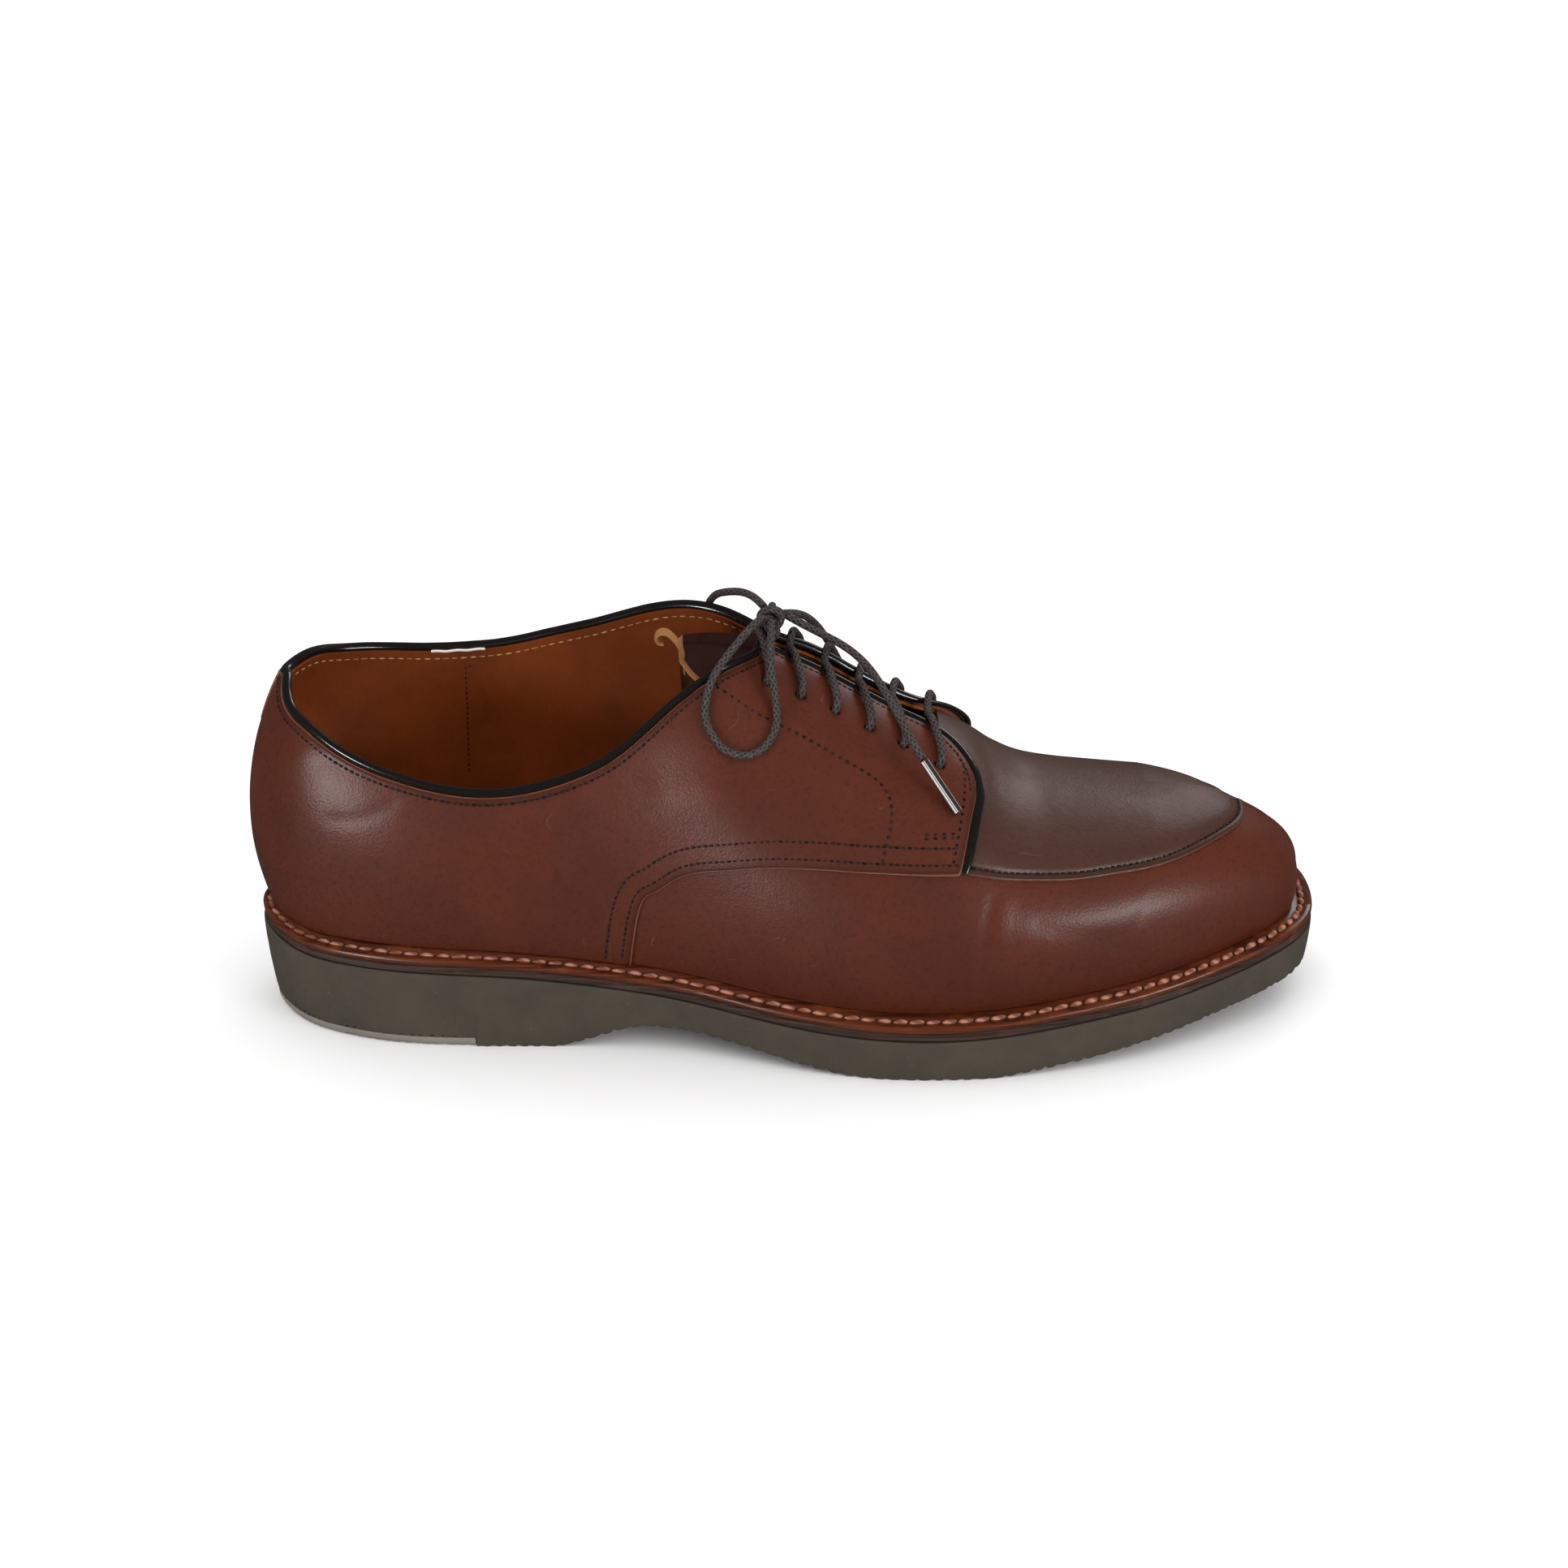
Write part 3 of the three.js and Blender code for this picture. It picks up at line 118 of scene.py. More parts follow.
SEAT_GAP = 0.3
EDGE_ALLOWANCE = BINDING_HEIGHT + SEAT_GAP
HEEL_FAN = 0.121
TOE_FAN = 0.834
LOWER_SHARE = 0.22
CREST_MEETS = 0.63

# Depths of the quarters' inner face and the lining's outer face under the level of `quarter_lift`.
QUARTER_DEPTH = 0.85
LINING_DEPTH = 0.95
# Length behind the vamp's back edge over which the quarters rise onto it.
VAMP_RISE = 12.0
# Length along that counts as much as the whole height where a given line is smoothed.
HEIGHT_SPAN = 60.0
# Degrees between faces from which their edge stays sharp, and steps in a millimetre for joining points.
SHARP_ANGLE = 42.0
WELD_PER_MM = 500.0

# Small steps over the last for its slopes.
ROUND_STEP = 0.002
HEIGHT_STEP = 0.004
MILLI = 0.001


class EdgeRow(NamedTuple):
    """Half widths of the sole each side of the heel's centre line, as shares of its widest part."""

    along: float
    lateral: float
    medial: float


HEEL_OUTLINE = (
    EdgeRow(0.0, 0.0, 0.0),
    EdgeRow(0.013, 0.174, 0.174),
    EdgeRow(0.047, 0.335, 0.335),
    EdgeRow(0.088, 0.42, 0.42),
    EdgeRow(0.15, 0.485, 0.485),
    EdgeRow(0.223, 0.5, 0.497),
    EdgeRow(0.283, 0.5, 0.485),
)
FORE_OUTLINE = (
    EdgeRow(0.344, 0.36, 0.33),
    EdgeRow(0.408, 0.393, 0.335),
    EdgeRow(0.468, 0.45, 0.362),
    EdgeRow(0.529, 0.5, 0.404),
    EdgeRow(0.589, 0.528, 0.443),
    EdgeRow(0.646, 0.531, 0.466),
    EdgeRow(0.701, 0.514, 0.472),
    EdgeRow(0.764, 0.47, 0.468),
    EdgeRow(0.822, 0.414, 0.455),
    EdgeRow(0.876, 0.337, 0.433),
    EdgeRow(0.924, 0.249, 0.4),
    EdgeRow(0.965, 0.154, 0.352),
    EdgeRow(0.985, 0.08, 0.307),
    EdgeRow(0.996, -0.002, 0.244),
    EdgeRow(1.0, -0.124, 0.124),
)


class TopRow(NamedTuple):
    """Sole's top line: shares of the drop from heel to ball and of the toe spring."""

    along: float
    heel: float
    spring: float


SOLE_TOP = (
    TopRow(0.0, 1.0, 0.0),
    TopRow(0.15, 0.98, 0.0),
    TopRow(0.239, 0.88, 0.0),
    TopRow(0.318, 0.67, 0.0),
    TopRow(0.408, 0.41, 0.0),
    TopRow(0.478, 0.2, 0.0),
    TopRow(0.548, 0.05, 0.0),
    TopRow(0.62, 0.0, 0.0),
    TopRow(0.685, 0.0, 0.06),
    TopRow(0.748, 0.0, 0.19),
    TopRow(0.812, 0.0, 0.34),
    TopRow(0.876, 0.0, 0.52),
    TopRow(0.939, 0.0, 0.72),
    TopRow(1.0, 0.0, 0.94),
)


class BottomRow(NamedTuple):
    """Sole's underside: shares of the arch's rise and of the toe spring."""

    along: float
    arch: float
    spring: float


SOLE_BOTTOM = (
    BottomRow(0.285, 0.02, 0.0),
    BottomRow(0.31, 0.28, 0.0),
    BottomRow(0.338, 0.68, 0.0),
    BottomRow(0.363, 0.94, 0.0),
    BottomRow(0.386, 1.0, 0.0),
    BottomRow(0.424, 0.86, 0.0),
    BottomRow(0.47, 0.6, 0.0),
    BottomRow(0.51, 0.3, 0.0),
    BottomRow(0.545, 0.08, 0.0),
    BottomRow(0.58, 0.0, 0.0),
    BottomRow(0.68, 0.0, 0.0),
    BottomRow(0.72, 0.0, 0.11),
    BottomRow(0.77, 0.0, 0.26),
    BottomRow(0.82, 0.0, 0.44),
    BottomRow(0.87, 0.0, 0.64),
    BottomRow(0.93, 0.0, 0.84),
    BottomRow(1.0, 0.0, 1.0),
)


class SectionRow(NamedTuple):
    """Section of the upper: sideways place of its top, swell out and in, height of the swell, squareness."""

    along: float
    ridge: float
    bulge_out: float
    bulge_in: float
    belly: float
    power: float


SECTIONS = (
    SectionRow(0.0, 0.0, 4.3, 4.3, 25, 2.0),
    SectionRow(0.08, 0.0, 3.0, 3.0, 24, 2.0),
    SectionRow(0.16, 0.0, 2.2, 2.4, 22, 2.0),
    SectionRow(0.28, -0.002, 1.6, 3.4, 20, 2.0),
    SectionRow(0.4, 0.0, 1.8, 5.0, 19, 1.95),
    SectionRow(0.5, 0.02, 2.2, 4.4, 17, 1.85),
    SectionRow(0.6, 0.028, 2.6, 3.2, 15, 1.9),
    SectionRow(0.68, 0.03, 2.8, 2.8, 14, 2.1),
    SectionRow(0.75, 0.036, 2.6, 2.6, 13, 2.25),
    SectionRow(0.834, 0.053, 2.0, 2.0, 11, 2.35),
    SectionRow(0.92, 0.08, 1.4, 1.4, 8, 2.35),
    SectionRow(1.0, 0.1, 1.0, 1.0, 6, 2.3),
)


class CrestRow(NamedTuple):
    """Height of the last's crest over the sole, outer and inner side."""

    along: float
    outer: float
    inner: float


INSTEP_CREST = (
    CrestRow(0.0, 0.945, 0.945),
    CrestRow(0.06, 0.935, 1.01),
    CrestRow(0.13, 0.87, 1.19),
    CrestRow(0.22, 0.86, 1.22),
    CrestRow(0.29, 0.89, 1.27),
    CrestRow(0.345, 0.94, 1.31),
    CrestRow(0.39, 1.03, 1.31),
    CrestRow(0.43, 1.07, 1.19),
    CrestRow(0.471, 0.99, 1.03),
    CrestRow(0.515, 0.93, 0.97),
    CrestRow(0.556, 0.87, 0.895),
    CrestRow(0.592, 0.815, 0.827),
    CrestRow(0.63, 0.75, 0.75),
)
TOE_CREST = (
    CrestRow(0.665, 1.36, 1.36),
    CrestRow(0.7, 1.18, 1.18),
    CrestRow(0.735, 1.075, 1.075),
    CrestRow(0.78, 1.0, 1.0),
    CrestRow(0.834, 0.925, 0.925),
    CrestRow(0.89, 0.85, 0.8),
    CrestRow(0.93, 0.77, 0.7),
    CrestRow(1.0, 0.64, 0.57),
)


class CollarRow(NamedTuple):
    """Collar height: shares of the back, ankle and instep heights."""

    along: float
    back: float
    ankle: float
    throat: float


COLLAR_OUTER = (
    CollarRow(0.0, 1.0, 0.0, 0.0),
    CollarRow(0.012, 0.84, 0.16, 0.0),
    CollarRow(0.041, 0.66, 0.34, 0.0),
    CollarRow(0.086, 0.4, 0.6, 0.0),
    CollarRow(0.146, 0.14, 0.86, 0.0),
    CollarRow(0.219, 0.0, 1.0, 0.0),
    CollarRow(0.259, 0.0, 0.96, 0.04),
    CollarRow(0.301, 0.0, 0.845, 0.155),
    CollarRow(0.345, 0.0, 0.64, 0.36),
    CollarRow(0.391, 0.0, 0.3, 0.7),
    CollarRow(0.437, 0.0, 0.04, 0.96),
    CollarRow(0.471, 0.0, 0.0, 1.0),
)
COLLAR_INNER = (
    CollarRow(0.0, 1.0, 0.0, 0.0),
    CollarRow(0.016, 1.9, -0.9, 0.0),
    CollarRow(0.048, 1.7, -0.7, 0.0),
    CollarRow(0.095, 0.8, 0.2, 0.0),
    CollarRow(0.158, 0.0, 1.0, 0.0),
    CollarRow(0.194, 0.0, 0.965, 0.035),
    CollarRow(0.232, 0.0, 0.87, 0.13),
    CollarRow(0.273, 0.0, 0.66, 0.34),
    CollarRow(0.316, 0.0, 0.42, 0.58),
    CollarRow(0.361, 0.0, 0.13, 0.87),
    CollarRow(0.406, 0.0, -0.06, 1.06),
    CollarRow(0.453, 0.0, -0.05, 1.05),
    CollarRow(0.471, 0.0, 0.0, 1.0),
)


class HeightRow(NamedTuple):
    """Height of an edge as a share of its named size."""

    along: float
    height: float


QUARTER_EDGE = (
    HeightRow(0.351, 0.0),
    HeightRow(0.356, 0.3),
    HeightRow(0.373, 0.62),
    HeightRow(0.392, 0.74),
    HeightRow(0.43, 0.87),
    HeightRow(0.47, 0.95),
    HeightRow(0.51, 0.99),
    HeightRow(0.58, 1.0),
    HeightRow(0.65, 0.975),
)
APRON_SEAM = (
    HeightRow(0.6, 1.03),
    HeightRow(0.655, 1.0),
    HeightRow(0.691, 0.93),
    HeightRow(0.727, 0.875),
    HeightRow(0.761, 0.835),
    HeightRow(0.794, 0.815),
    HeightRow(0.825, 0.793),
    HeightRow(0.88, 0.775),
    HeightRow(0.926, 0.77),
    HeightRow(0.962, 0.76),
    HeightRow(1.0, 0.75),
)


class MarginRow(NamedTuple):
    """Visible welt: share from the heel's margin to the forefoot's, outer and inner side."""

    along: float
    outer: float
    inner: float


MARGINS = (
    MarginRow(0.0, 0.0, 0.0),
    MarginRow(0.06, 0.6, 0.6),
    MarginRow(0.15, 0.8, 0.8),
    MarginRow(0.4, 0.75, 0.75),
    MarginRow(0.6, 1.0, 0.9),
    MarginRow(0.8, 1.0, 0.9),
    MarginRow(1.0, 0.85, 0.85),
)


class Side(Enum):
    """Side of the shoe, with the sign that its places carry."""

    LATERAL = -1.0
    MEDIAL = 1.0


BOTH_SIDES = (Side.LATERAL, Side.MEDIAL)


def to_metres(points: np.ndarray) -> np.ndarray:
    """Moves points in the shoe's millimetres into the part's frame in metres.

    Args:
        points: Places in millimetres, last axis of three.

    Returns:
        The same places in metres from the middle of the heel.
    """
    return (np.asarray(points, float) - np.array([HEEL_REST_FROM_BACK, 0.0, 0.0])) * MILLI


def smooth(value: np.ndarray, start: float, end: float) -> np.ndarray:
    """Smooth step from 0 at start to 1 at end.

    Args:
        value: Where to read the step.
        start: Value at which the step leaves 0.
        end: Value at which it reaches 1.

    Returns:
        The step's value, from 0 to 1.
    """
    share = np.clip((np.asarray(value, float) - start) / (end - start), 0.0, 1.0)
    return share * share * (3.0 - 2.0 * share)


def mix(low: float, high: float, share: np.ndarray) -> np.ndarray:
    """Straight blend from low to high by share."""
    return low + (high - low) * share


class Spline:
    """Natural cubic curve through a table's rows."""

    def __init__(self, places: Sequence[float], values: Sequence[float]) -> None:
        """Fits the curve.

        Args:
            places: Rising places of the rows.
            values: The rows' values.
        """
        self.places = np.asarray(places, float)
        self.values = np.asarray(values, float)
        count = len(self.places)
        step = np.diff(self.places)
        slope = np.diff(self.values) / step
        system = np.eye(count)
        right = np.zeros(count)
        for row in range(1, count - 1):
            system[row, row - 1] = step[row - 1]
            system[row, row] = 2.0 * (step[row - 1] + step[row])
            system[row, row + 1] = step[row]
            right[row] = 6.0 * (slope[row] - slope[row - 1])
        self.bends = np.linalg.solve(system, right)

    def __call__(self, at: np.ndarray) -> np.ndarray:
        """Reads the curve.

        Args:
            at: Places to read it at.

        Returns:
            The values there.
        """
        at = np.asarray(at, float)
        index = np.clip(np.searchsorted(self.places, at, side="right") - 1, 0, len(self.places) - 2)
        low, high = self.places[index], self.places[index + 1]
        span = high - low
        a, b = (high - at) / span, (at - low) / span
        bend = ((a**3 - a) * self.bends[index] + (b**3 - b) * self.bends[index + 1]) * span**2 / 6.0
        return a * self.values[index] + b * self.values[index + 1] + bend


def along_at(station: np.ndarray) -> np.ndarray:
    """Share of the sole's length at a station, from 0 at the heel's back to 1 at the toe."""
    return (1.0 - np.cos(np.pi * np.asarray(station, float))) / 2.0


def station_at(along: np.ndarray) -> np.ndarray:
    """Station at a share of the sole's length."""
    return np.arccos(np.clip(1.0 - 2.0 * np.asarray(along, float), -1.0, 1.0)) / np.pi


def station_from_back(distance: np.ndarray) -> np.ndarray:
    """Station at a distance in millimetres from the back of the sole."""
    return station_at(np.asarray(distance, float) / SOLE_LENGTH)


def column(rows: Sequence[NamedTuple], name: str, scale: float = 1.0) -> Spline:
    """Curve through one column of a table.

    Args:
        rows: The table.
        name: The column's field.
        scale: Size that the column's shares belong to.

    Returns:
        The curve over the share of the sole's length.
    """
    return Spline([row.along for row in rows], [getattr(row, name) * scale for row in rows])


class Last:
    """The foot form that the upper is pulled over.

    A place on it is a round and a height. Round runs from -1 at the toe over the lateral side to 0 at the
    heel's back and over the medial side to 1 at the toe. Height is 0 at the feather line and 1 on the crest.
    """

    def __init__(self) -> None:
        """Fits the curves of the sole and of the sections."""
        edges = [(row, HEEL_WIDTH) for row in HEEL_OUTLINE] + [(row, BALL_WIDTH) for row in FORE_OUTLINE]
        places = [float(station_at(row.along)) for row, _ in edges]
        self.lateral_edge = Spline(places, [-row.lateral * width for row, width in edges])
        self.medial_edge = Spline(places, [row.medial * width for row, width in edges])
        self.heel_drop = column(SOLE_TOP, "heel")
        self.top_spring = column(SOLE_TOP, "spring")
        self.arch = column(SOLE_BOTTOM, "arch")
        self.bottom_spring = column(SOLE_BOTTOM, "spring")
        self.ridge = column(SECTIONS, "ridge", BALL_WIDTH)
        self.bulge_out = column(SECTIONS, "bulge_out")
        self.bulge_in = column(SECTIONS, "bulge_in")
        self.belly = column(SECTIONS, "belly")
        self.power = column(SECTIONS, "power")
        crests = [(row, INSTEP_HEIGHT) for row in INSTEP_CREST] + [(row, TOE_BOX_HEIGHT) for row in TOE_CREST]
        shares = [row.along for row, _ in crests]
        self.crest_out = Spline(shares, [row.outer * size for row, size in crests])
        self.inner_gain = Spline(shares, [(row.inner - row.outer) * size for row, size in crests])
        self.margin_out = column(MARGINS, "outer")
        self.margin_in = column(MARGINS, "inner")
        self.edge_share = column(QUARTER_EDGE, "height")
        self.seam_share = column(APRON_SEAM, "height")
        self.collar_out = self._collar(COLLAR_OUTER, ANKLE_OUTER_HEIGHT)
        self.collar_in = self._collar(COLLAR_INNER, ANKLE_INNER_HEIGHT)

    @staticmethod
    def _collar(rows: Sequence[CollarRow], ankle: float) -> Spline:
        """Curve of the collar's height on one side."""
        sizes = [
            row.back * COLLAR_BACK_HEIGHT + row.ankle * ankle + row.throat * INSTEP_HEIGHT for row in rows
        ]
        return Spline([row.along for row in rows], sizes)

    def sole_top(self, distance: np.ndarray) -> np.ndarray:
        """Height of the sole's top edge at a distance from the back.

        Args:
            distance: Distances from the back of the sole.

        Returns:
            Heights in millimetres.
        """
        along = np.clip(np.asarray(distance, float) / SOLE_LENGTH, 0.0, 1.0)
        rim = np.maximum(0.0, 1.0 - np.maximum(distance, 0.0) / SEAT_RIM_REACH) ** 2 * SEAT_RIM_LIFT
        drop = (HEEL_STACK - FORE_STACK) * self.heel_drop(along)
        return FORE_STACK + drop + TOE_SPRING * self.top_spring(along) + rim

    def sole_bottom(self, distance: np.ndarray) -> np.ndarray:
        """Height of the sole's underside at a distance from the back.

        Args:
            distance: Distances from the back of the sole.

        Returns:
            Heights in millimetres.
        """
        along = np.clip(np.asarray(distance, float) / SOLE_LENGTH, 0.0, 1.0)
        rise = ARCH_RISE * self.arch(along) + TOE_SPRING * self.bottom_spring(along)
        return np.where(along < SOLE_BOTTOM[0].along, 0.0, np.maximum(rise, 0.0))

    @staticmethod
    def wrap(round_: np.ndarray) -> np.ndarray:
        """Brings a round that runs past the toe back into -1 to 1."""
        round_ = np.asarray(round_, float)
        return np.where(round_ > 1.0, round_ - 2.0, np.where(round_ < -1.0, round_ + 2.0, round_))

    def outline(self, round_: np.ndarray) -> np.ndarray:
        """Place on the sole's outline, along and across.

        Args:
            round_: Places round the shoe.

        Returns:
            Along and across, in millimetres.
        """
        place = self.wrap(round_)
        station = np.abs(place)
        across = np.where(place < 0.0, self.lateral_edge(station), self.medial_edge(station))
        return np.stack([along_at(station) * SOLE_LENGTH, across], -1)

    def inset(self, round_: np.ndarray, inset: np.ndarray) -> np.ndarray:
        """Place inside the sole's outline.

        Args:
            round_: Places round the shoe.
            inset: How far in from the edge, in millimetres.

        Returns:
            Along and across.
        """
        run = self.outline(round_ + ROUND_STEP) - self.outline(round_ - ROUND_STEP)
        run /= np.linalg.norm(run, axis=-1, keepdims=True)
        inward = np.stack([run[..., 1], -run[..., 0]], -1)
        return self.outline(round_) + inward * np.asarray(inset, float)[..., None]

    def margin(self, round_: np.ndarray) -> np.ndarray:
        """Visible width of the welt.

        Args:
            round_: Places round the shoe.

        Returns:
            Widths in millimetres.
        """
        place = self.wrap(round_)
        along = along_at(np.abs(place))
        share = np.where(place < 0.0, self.margin_out(along), self.margin_in(along))
        return mix(HEEL_MARGIN, WELT_MARGIN, share)

    @staticmethod
    def feather_lift(distance: np.ndarray) -> np.ndarray:
        """Rise of the welt from its edge to the feather line."""
        return WELT_CROWN * (0.5 + 0.5 * (1.0 - np.clip(distance / SOLE_LENGTH, 0.0, 1.0)))

    def crest(self, place: np.ndarray, along: np.ndarray) -> np.ndarray:
        """Height of the crest over the sole on one side."""
        gain = np.where((along >= CREST_MEETS) & (along <= TOE_FAN), 0.0, self.inner_gain(along))
        return self.crest_out(along) + np.where(place < 0.0, 0.0, gain)

    def point(self, round_: np.ndarray, height: np.ndarray) -> np.ndarray:
        """Place on the last.

        Args:
            round_: Places round the shoe.
            height: Heights up the section.

        Returns:
            Points in millimetres.
        """
        place, height = np.broadcast_arrays(self.wrap(round_), np.asarray(height, float))
        station = np.abs(place)
        along = along_at(station)
        fan = np.clip(along, HEEL_FAN, TOE_FAN)
        centre = np.stack([fan * SOLE_LENGTH, self.ridge(fan)], -1)
        foot = self.inset(place, self.margin(place))
        reach = foot - centre
        foot_reach = np.linalg.norm(reach, axis=-1)
        swell = np.where(place < 0.0, self.bulge_out(along), self.bulge_in(along))
        widest = foot_reach + swell
        belly = self.belly(along)
        belly_height = self.sole_top(foot[..., 0]) + self.feather_lift(foot[..., 0]) + SEAT_GAP + belly
        low = height < LOWER_SHARE
        drop = 1.0 - height / LOWER_SHARE
        shape = 2.0 / self.power(along)
        angle = np.clip((height - LOWER_SHARE) / (1.0 - LOWER_SHARE), 0.0, 1.0) * np.pi / 2.0
        over = widest * np.maximum(np.cos(angle), 0.0) ** shape
        out = np.where(low, widest - swell * drop**2, over)
        at = centre + reach * (out / foot_reach)[..., None]
        distance = np.clip(at[..., 0], 0.0, SOLE_LENGTH)
        top = self.sole_top(distance) + self.crest(place, distance / SOLE_LENGTH)
        rise = np.where(low, -belly * drop, np.sin(angle) ** shape * (top - belly_height))
        return np.concatenate([at, (belly_height + rise)[..., None]], -1)

    def normal(self, round_: np.ndarray, height: np.ndarray) -> np.ndarray:
        """Outward direction of the last's surface.

        Args:
            round_: Places round the shoe.
            height: Their heights.

        Returns:
            Directions of length one.
        """
        place, height = np.broadcast_arrays(self.wrap(round_), np.asarray(height, float))
        rise = self.point(place, np.minimum(height + HEIGHT_STEP, 1.0))
        rise = rise - self.point(place, np.maximum(height - HEIGHT_STEP, 0.0))
        run = self.point(place + ROUND_STEP, height) - self.point(place - ROUND_STEP, height)
        normal = np.cross(rise, run)
        distance = np.clip(along_at(np.abs(place)), HEEL_FAN, TOE_FAN) * SOLE_LENGTH
        before = self.sole_top(distance - 1.0) + self.crest_out((distance - 1.0) / SOLE_LENGTH)
        after = self.sole_top(distance + 1.0) + self.crest_out((distance + 1.0) / SOLE_LENGTH)
        crest = np.stack([before - after, np.zeros_like(before), np.full_like(before, 2.0)], -1)
        normal = np.where((height > 1.0 - HEIGHT_STEP)[..., None], crest, normal)
        normal[..., 2] = np.where(height < HEIGHT_STEP, 0.0, normal[..., 2])
        return normal / np.linalg.norm(normal, axis=-1, keepdims=True)

    def offset(self, round_: np.ndarray, height: np.ndarray, out: np.ndarray) -> np.ndarray:
        """Place off the last's surface.

        Args:
            round_: Places round the shoe.
            height: Their heights.
            out: How far off, in millimetres.

        Returns:
            Points in millimetres.
        """
        shape = np.broadcast_shapes(np.shape(round_), np.shape(height))
        lift = np.broadcast_to(np.asarray(out, float), shape)
        return self.point(round_, height) + self.normal(round_, height) * lift[..., None]

    def height_where(self, round_: np.ndarray, measure: Callable, value: np.ndarray) -> np.ndarray:
        """Height at which a measure of the surface reaches a value.

        Args:
            round_: Places round the shoe.
            measure: Function of points that rises with height.
            value: Value to reach.

        Returns:
            The height at each place.
        """
        low, high = np.zeros(np.shape(round_)), np.ones(np.shape(round_))
        for _ in range(36):
            middle = (low + high) / 2.0
            short = measure(self.point(round_, middle)) < value
            low, high = np.where(short, middle, low), np.where(short, high, middle)
        return (low + high) / 2.0

    def height_at_level(self, round_: np.ndarray, level: np.ndarray) -> np.ndarray:
        """Height at a level in millimetres over the sole's top edge."""
        return self.height_where(round_, lambda at: at[..., 2] - self.sole_top(at[..., 0]), level)

    def height_at_width(self, round_: np.ndarray, across: np.ndarray) -> np.ndarray:
        """Height at which the surface has come in to a place across."""
        side = np.where(self.wrap(round_) < 0.0, -1.0, 1.0)
        return self.height_where(round_, lambda at: -side * at[..., 1], -side * across)

    def slide(
        self, round_: np.ndarray, height: np.ndarray, move: np.ndarray
    ) -> tuple[np.ndarray, np.ndarray]:
        """Moves places over the surface by small steps in space.

        Args:
            round_: Places round the shoe.
            height: Their heights.
            move: Steps in millimetres, last axis of three.

        Returns:
            The new rounds and heights.
        """
        here = self.point(round_, height)
        target = here + move
        for _ in range(4):
            rise = self.point(round_, height + HEIGHT_STEP) - self.point(round_, height - HEIGHT_STEP)
            rise = rise / (2.0 * HEIGHT_STEP)
            run = self.point(round_ + ROUND_STEP, height) - self.point(round_ - ROUND_STEP, height)
            run = run / (2.0 * ROUND_STEP)
            left = target - self.point(round_, height)
            a, b, c = (run * run).sum(-1), (run * rise).sum(-1), (rise * rise).sum(-1)
            u, v = (run * left).sum(-1), (rise * left).sum(-1)
            flat = np.maximum(a * c - b * b, 1e-9)
            round_ = round_ + (c * u - b * v) / flat
            height = np.clip(height + (a * v - b * u) / flat, 0.0, 1.0)
        return round_, height


LAST = Last()


def collar_at(round_: np.ndarray) -> np.ndarray:
    """Collar's height over the sole at a place round the shoe."""
    along = along_at(np.abs(round_))
    return np.where(np.asarray(round_) < 0.0, LAST.collar_out(along), LAST.collar_in(along))


def throat_half(distance: np.ndarray) -> np.ndarray:
    """Half the gap between the facings, with a rounded corner at the front.

    Args:
        distance: Distances from the back of the sole.

    Returns:
        Half widths in millimetres.
    """
    run = np.clip((distance - THROAT_TOP) / (THROAT_END - THROAT_TOP), 0.0, 1.0)
    straight = mix(THROAT_GAP_TOP, THROAT_GAP_END, run**1.5) / 2.0 + EDGE_ALLOWANCE
    turn = np.clip(1.0 - (THROAT_END - distance) / FACING_CORNER, 0.0, 1.0)
    return straight + (FACING_SPREAD - straight) * (1.0 - np.sqrt(1.0 - turn**2))


def quarter_top(round_: np.ndarray) -> np.ndarray:
    """Height at which the quarters end: the collar, then the throat.

    Args:
        round_: Places round the shoe.

    Returns:
        Heights from 0 to 1.
    """
    round_ = np.asarray(round_, float)
    along = along_at(np.abs(round_))
    distance = along * SOLE_LENGTH
    side = np.where(round_ < 0.0, -1.0, 1.0)
    at_collar = LAST.height_at_level(round_, collar_at(round_) - EDGE_ALLOWANCE)
    at_throat = LAST.height_at_width(round_, LAST.ridge(along) + side * throat_half(distance))
    both = np.minimum(at_collar, at_throat)
    top = np.where(distance <= THROAT_TOP, both, at_throat)
    return np.where(distance < THROAT_TOP - EDGE_ALLOWANCE * 4.0, at_collar, top)


def quarter_foot(round_: np.ndarray) -> np.ndarray:
    """Height of the quarters' lower edge: the welt behind, the curved edge over the vamp in front.

    Args:
        round_: Places round the shoe.

    Returns:
        Heights from 0 to 1.
    """
    round_ = np.asarray(round_, float)
    along = along_at(np.abs(round_))
    distance = along * SOLE_LENGTH
    share = np.clip(LAST.edge_share(along), 0.0, 1.0)
    edge = LAST.height_at_level(round_, np.maximum(QUARTER_EDGE_HEIGHT * share, 0.4))
    corner_share = float(np.clip(LAST.edge_share(QUARTER_CORNER / SOLE_LENGTH), 0.0, 1.0))
    base = LAST.height_at_level(round_, np.full_like(round_, QUARTER_EDGE_HEIGHT * corner_share))
    tips = quarter_top(np.sign(round_) * float(station_from_back(THROAT_END)) + 0.0)
    front = np.clip((distance - QUARTER_CORNER) / (THROAT_END - QUARTER_CORNER), 0.0, 1.0)
    edge = np.where(distance > QUARTER_CORNER, base + (tips - base) * front**1.3, edge)
    return np.where(distance <= QUARTER_FOOT, 0.0, edge)


def quarter_lift(round_: np.ndarray, height: np.ndarray) -> np.ndarray:
    """How far the quarters stand off the last over the apron and the tongue.

    Args:
        round_: Places round the shoe.
        height: Their heights.

    Returns:
        Distances in millimetres.
    """
    distance = along_at(np.abs(round_)) * SOLE_LENGTH
    front = smooth(distance, VAMP_BACK - VAMP_RISE, VAMP_BACK + 5.0)
    return (APRON_STEP + FACING_LIFT * smooth(height, 0.55, 0.8)) * front


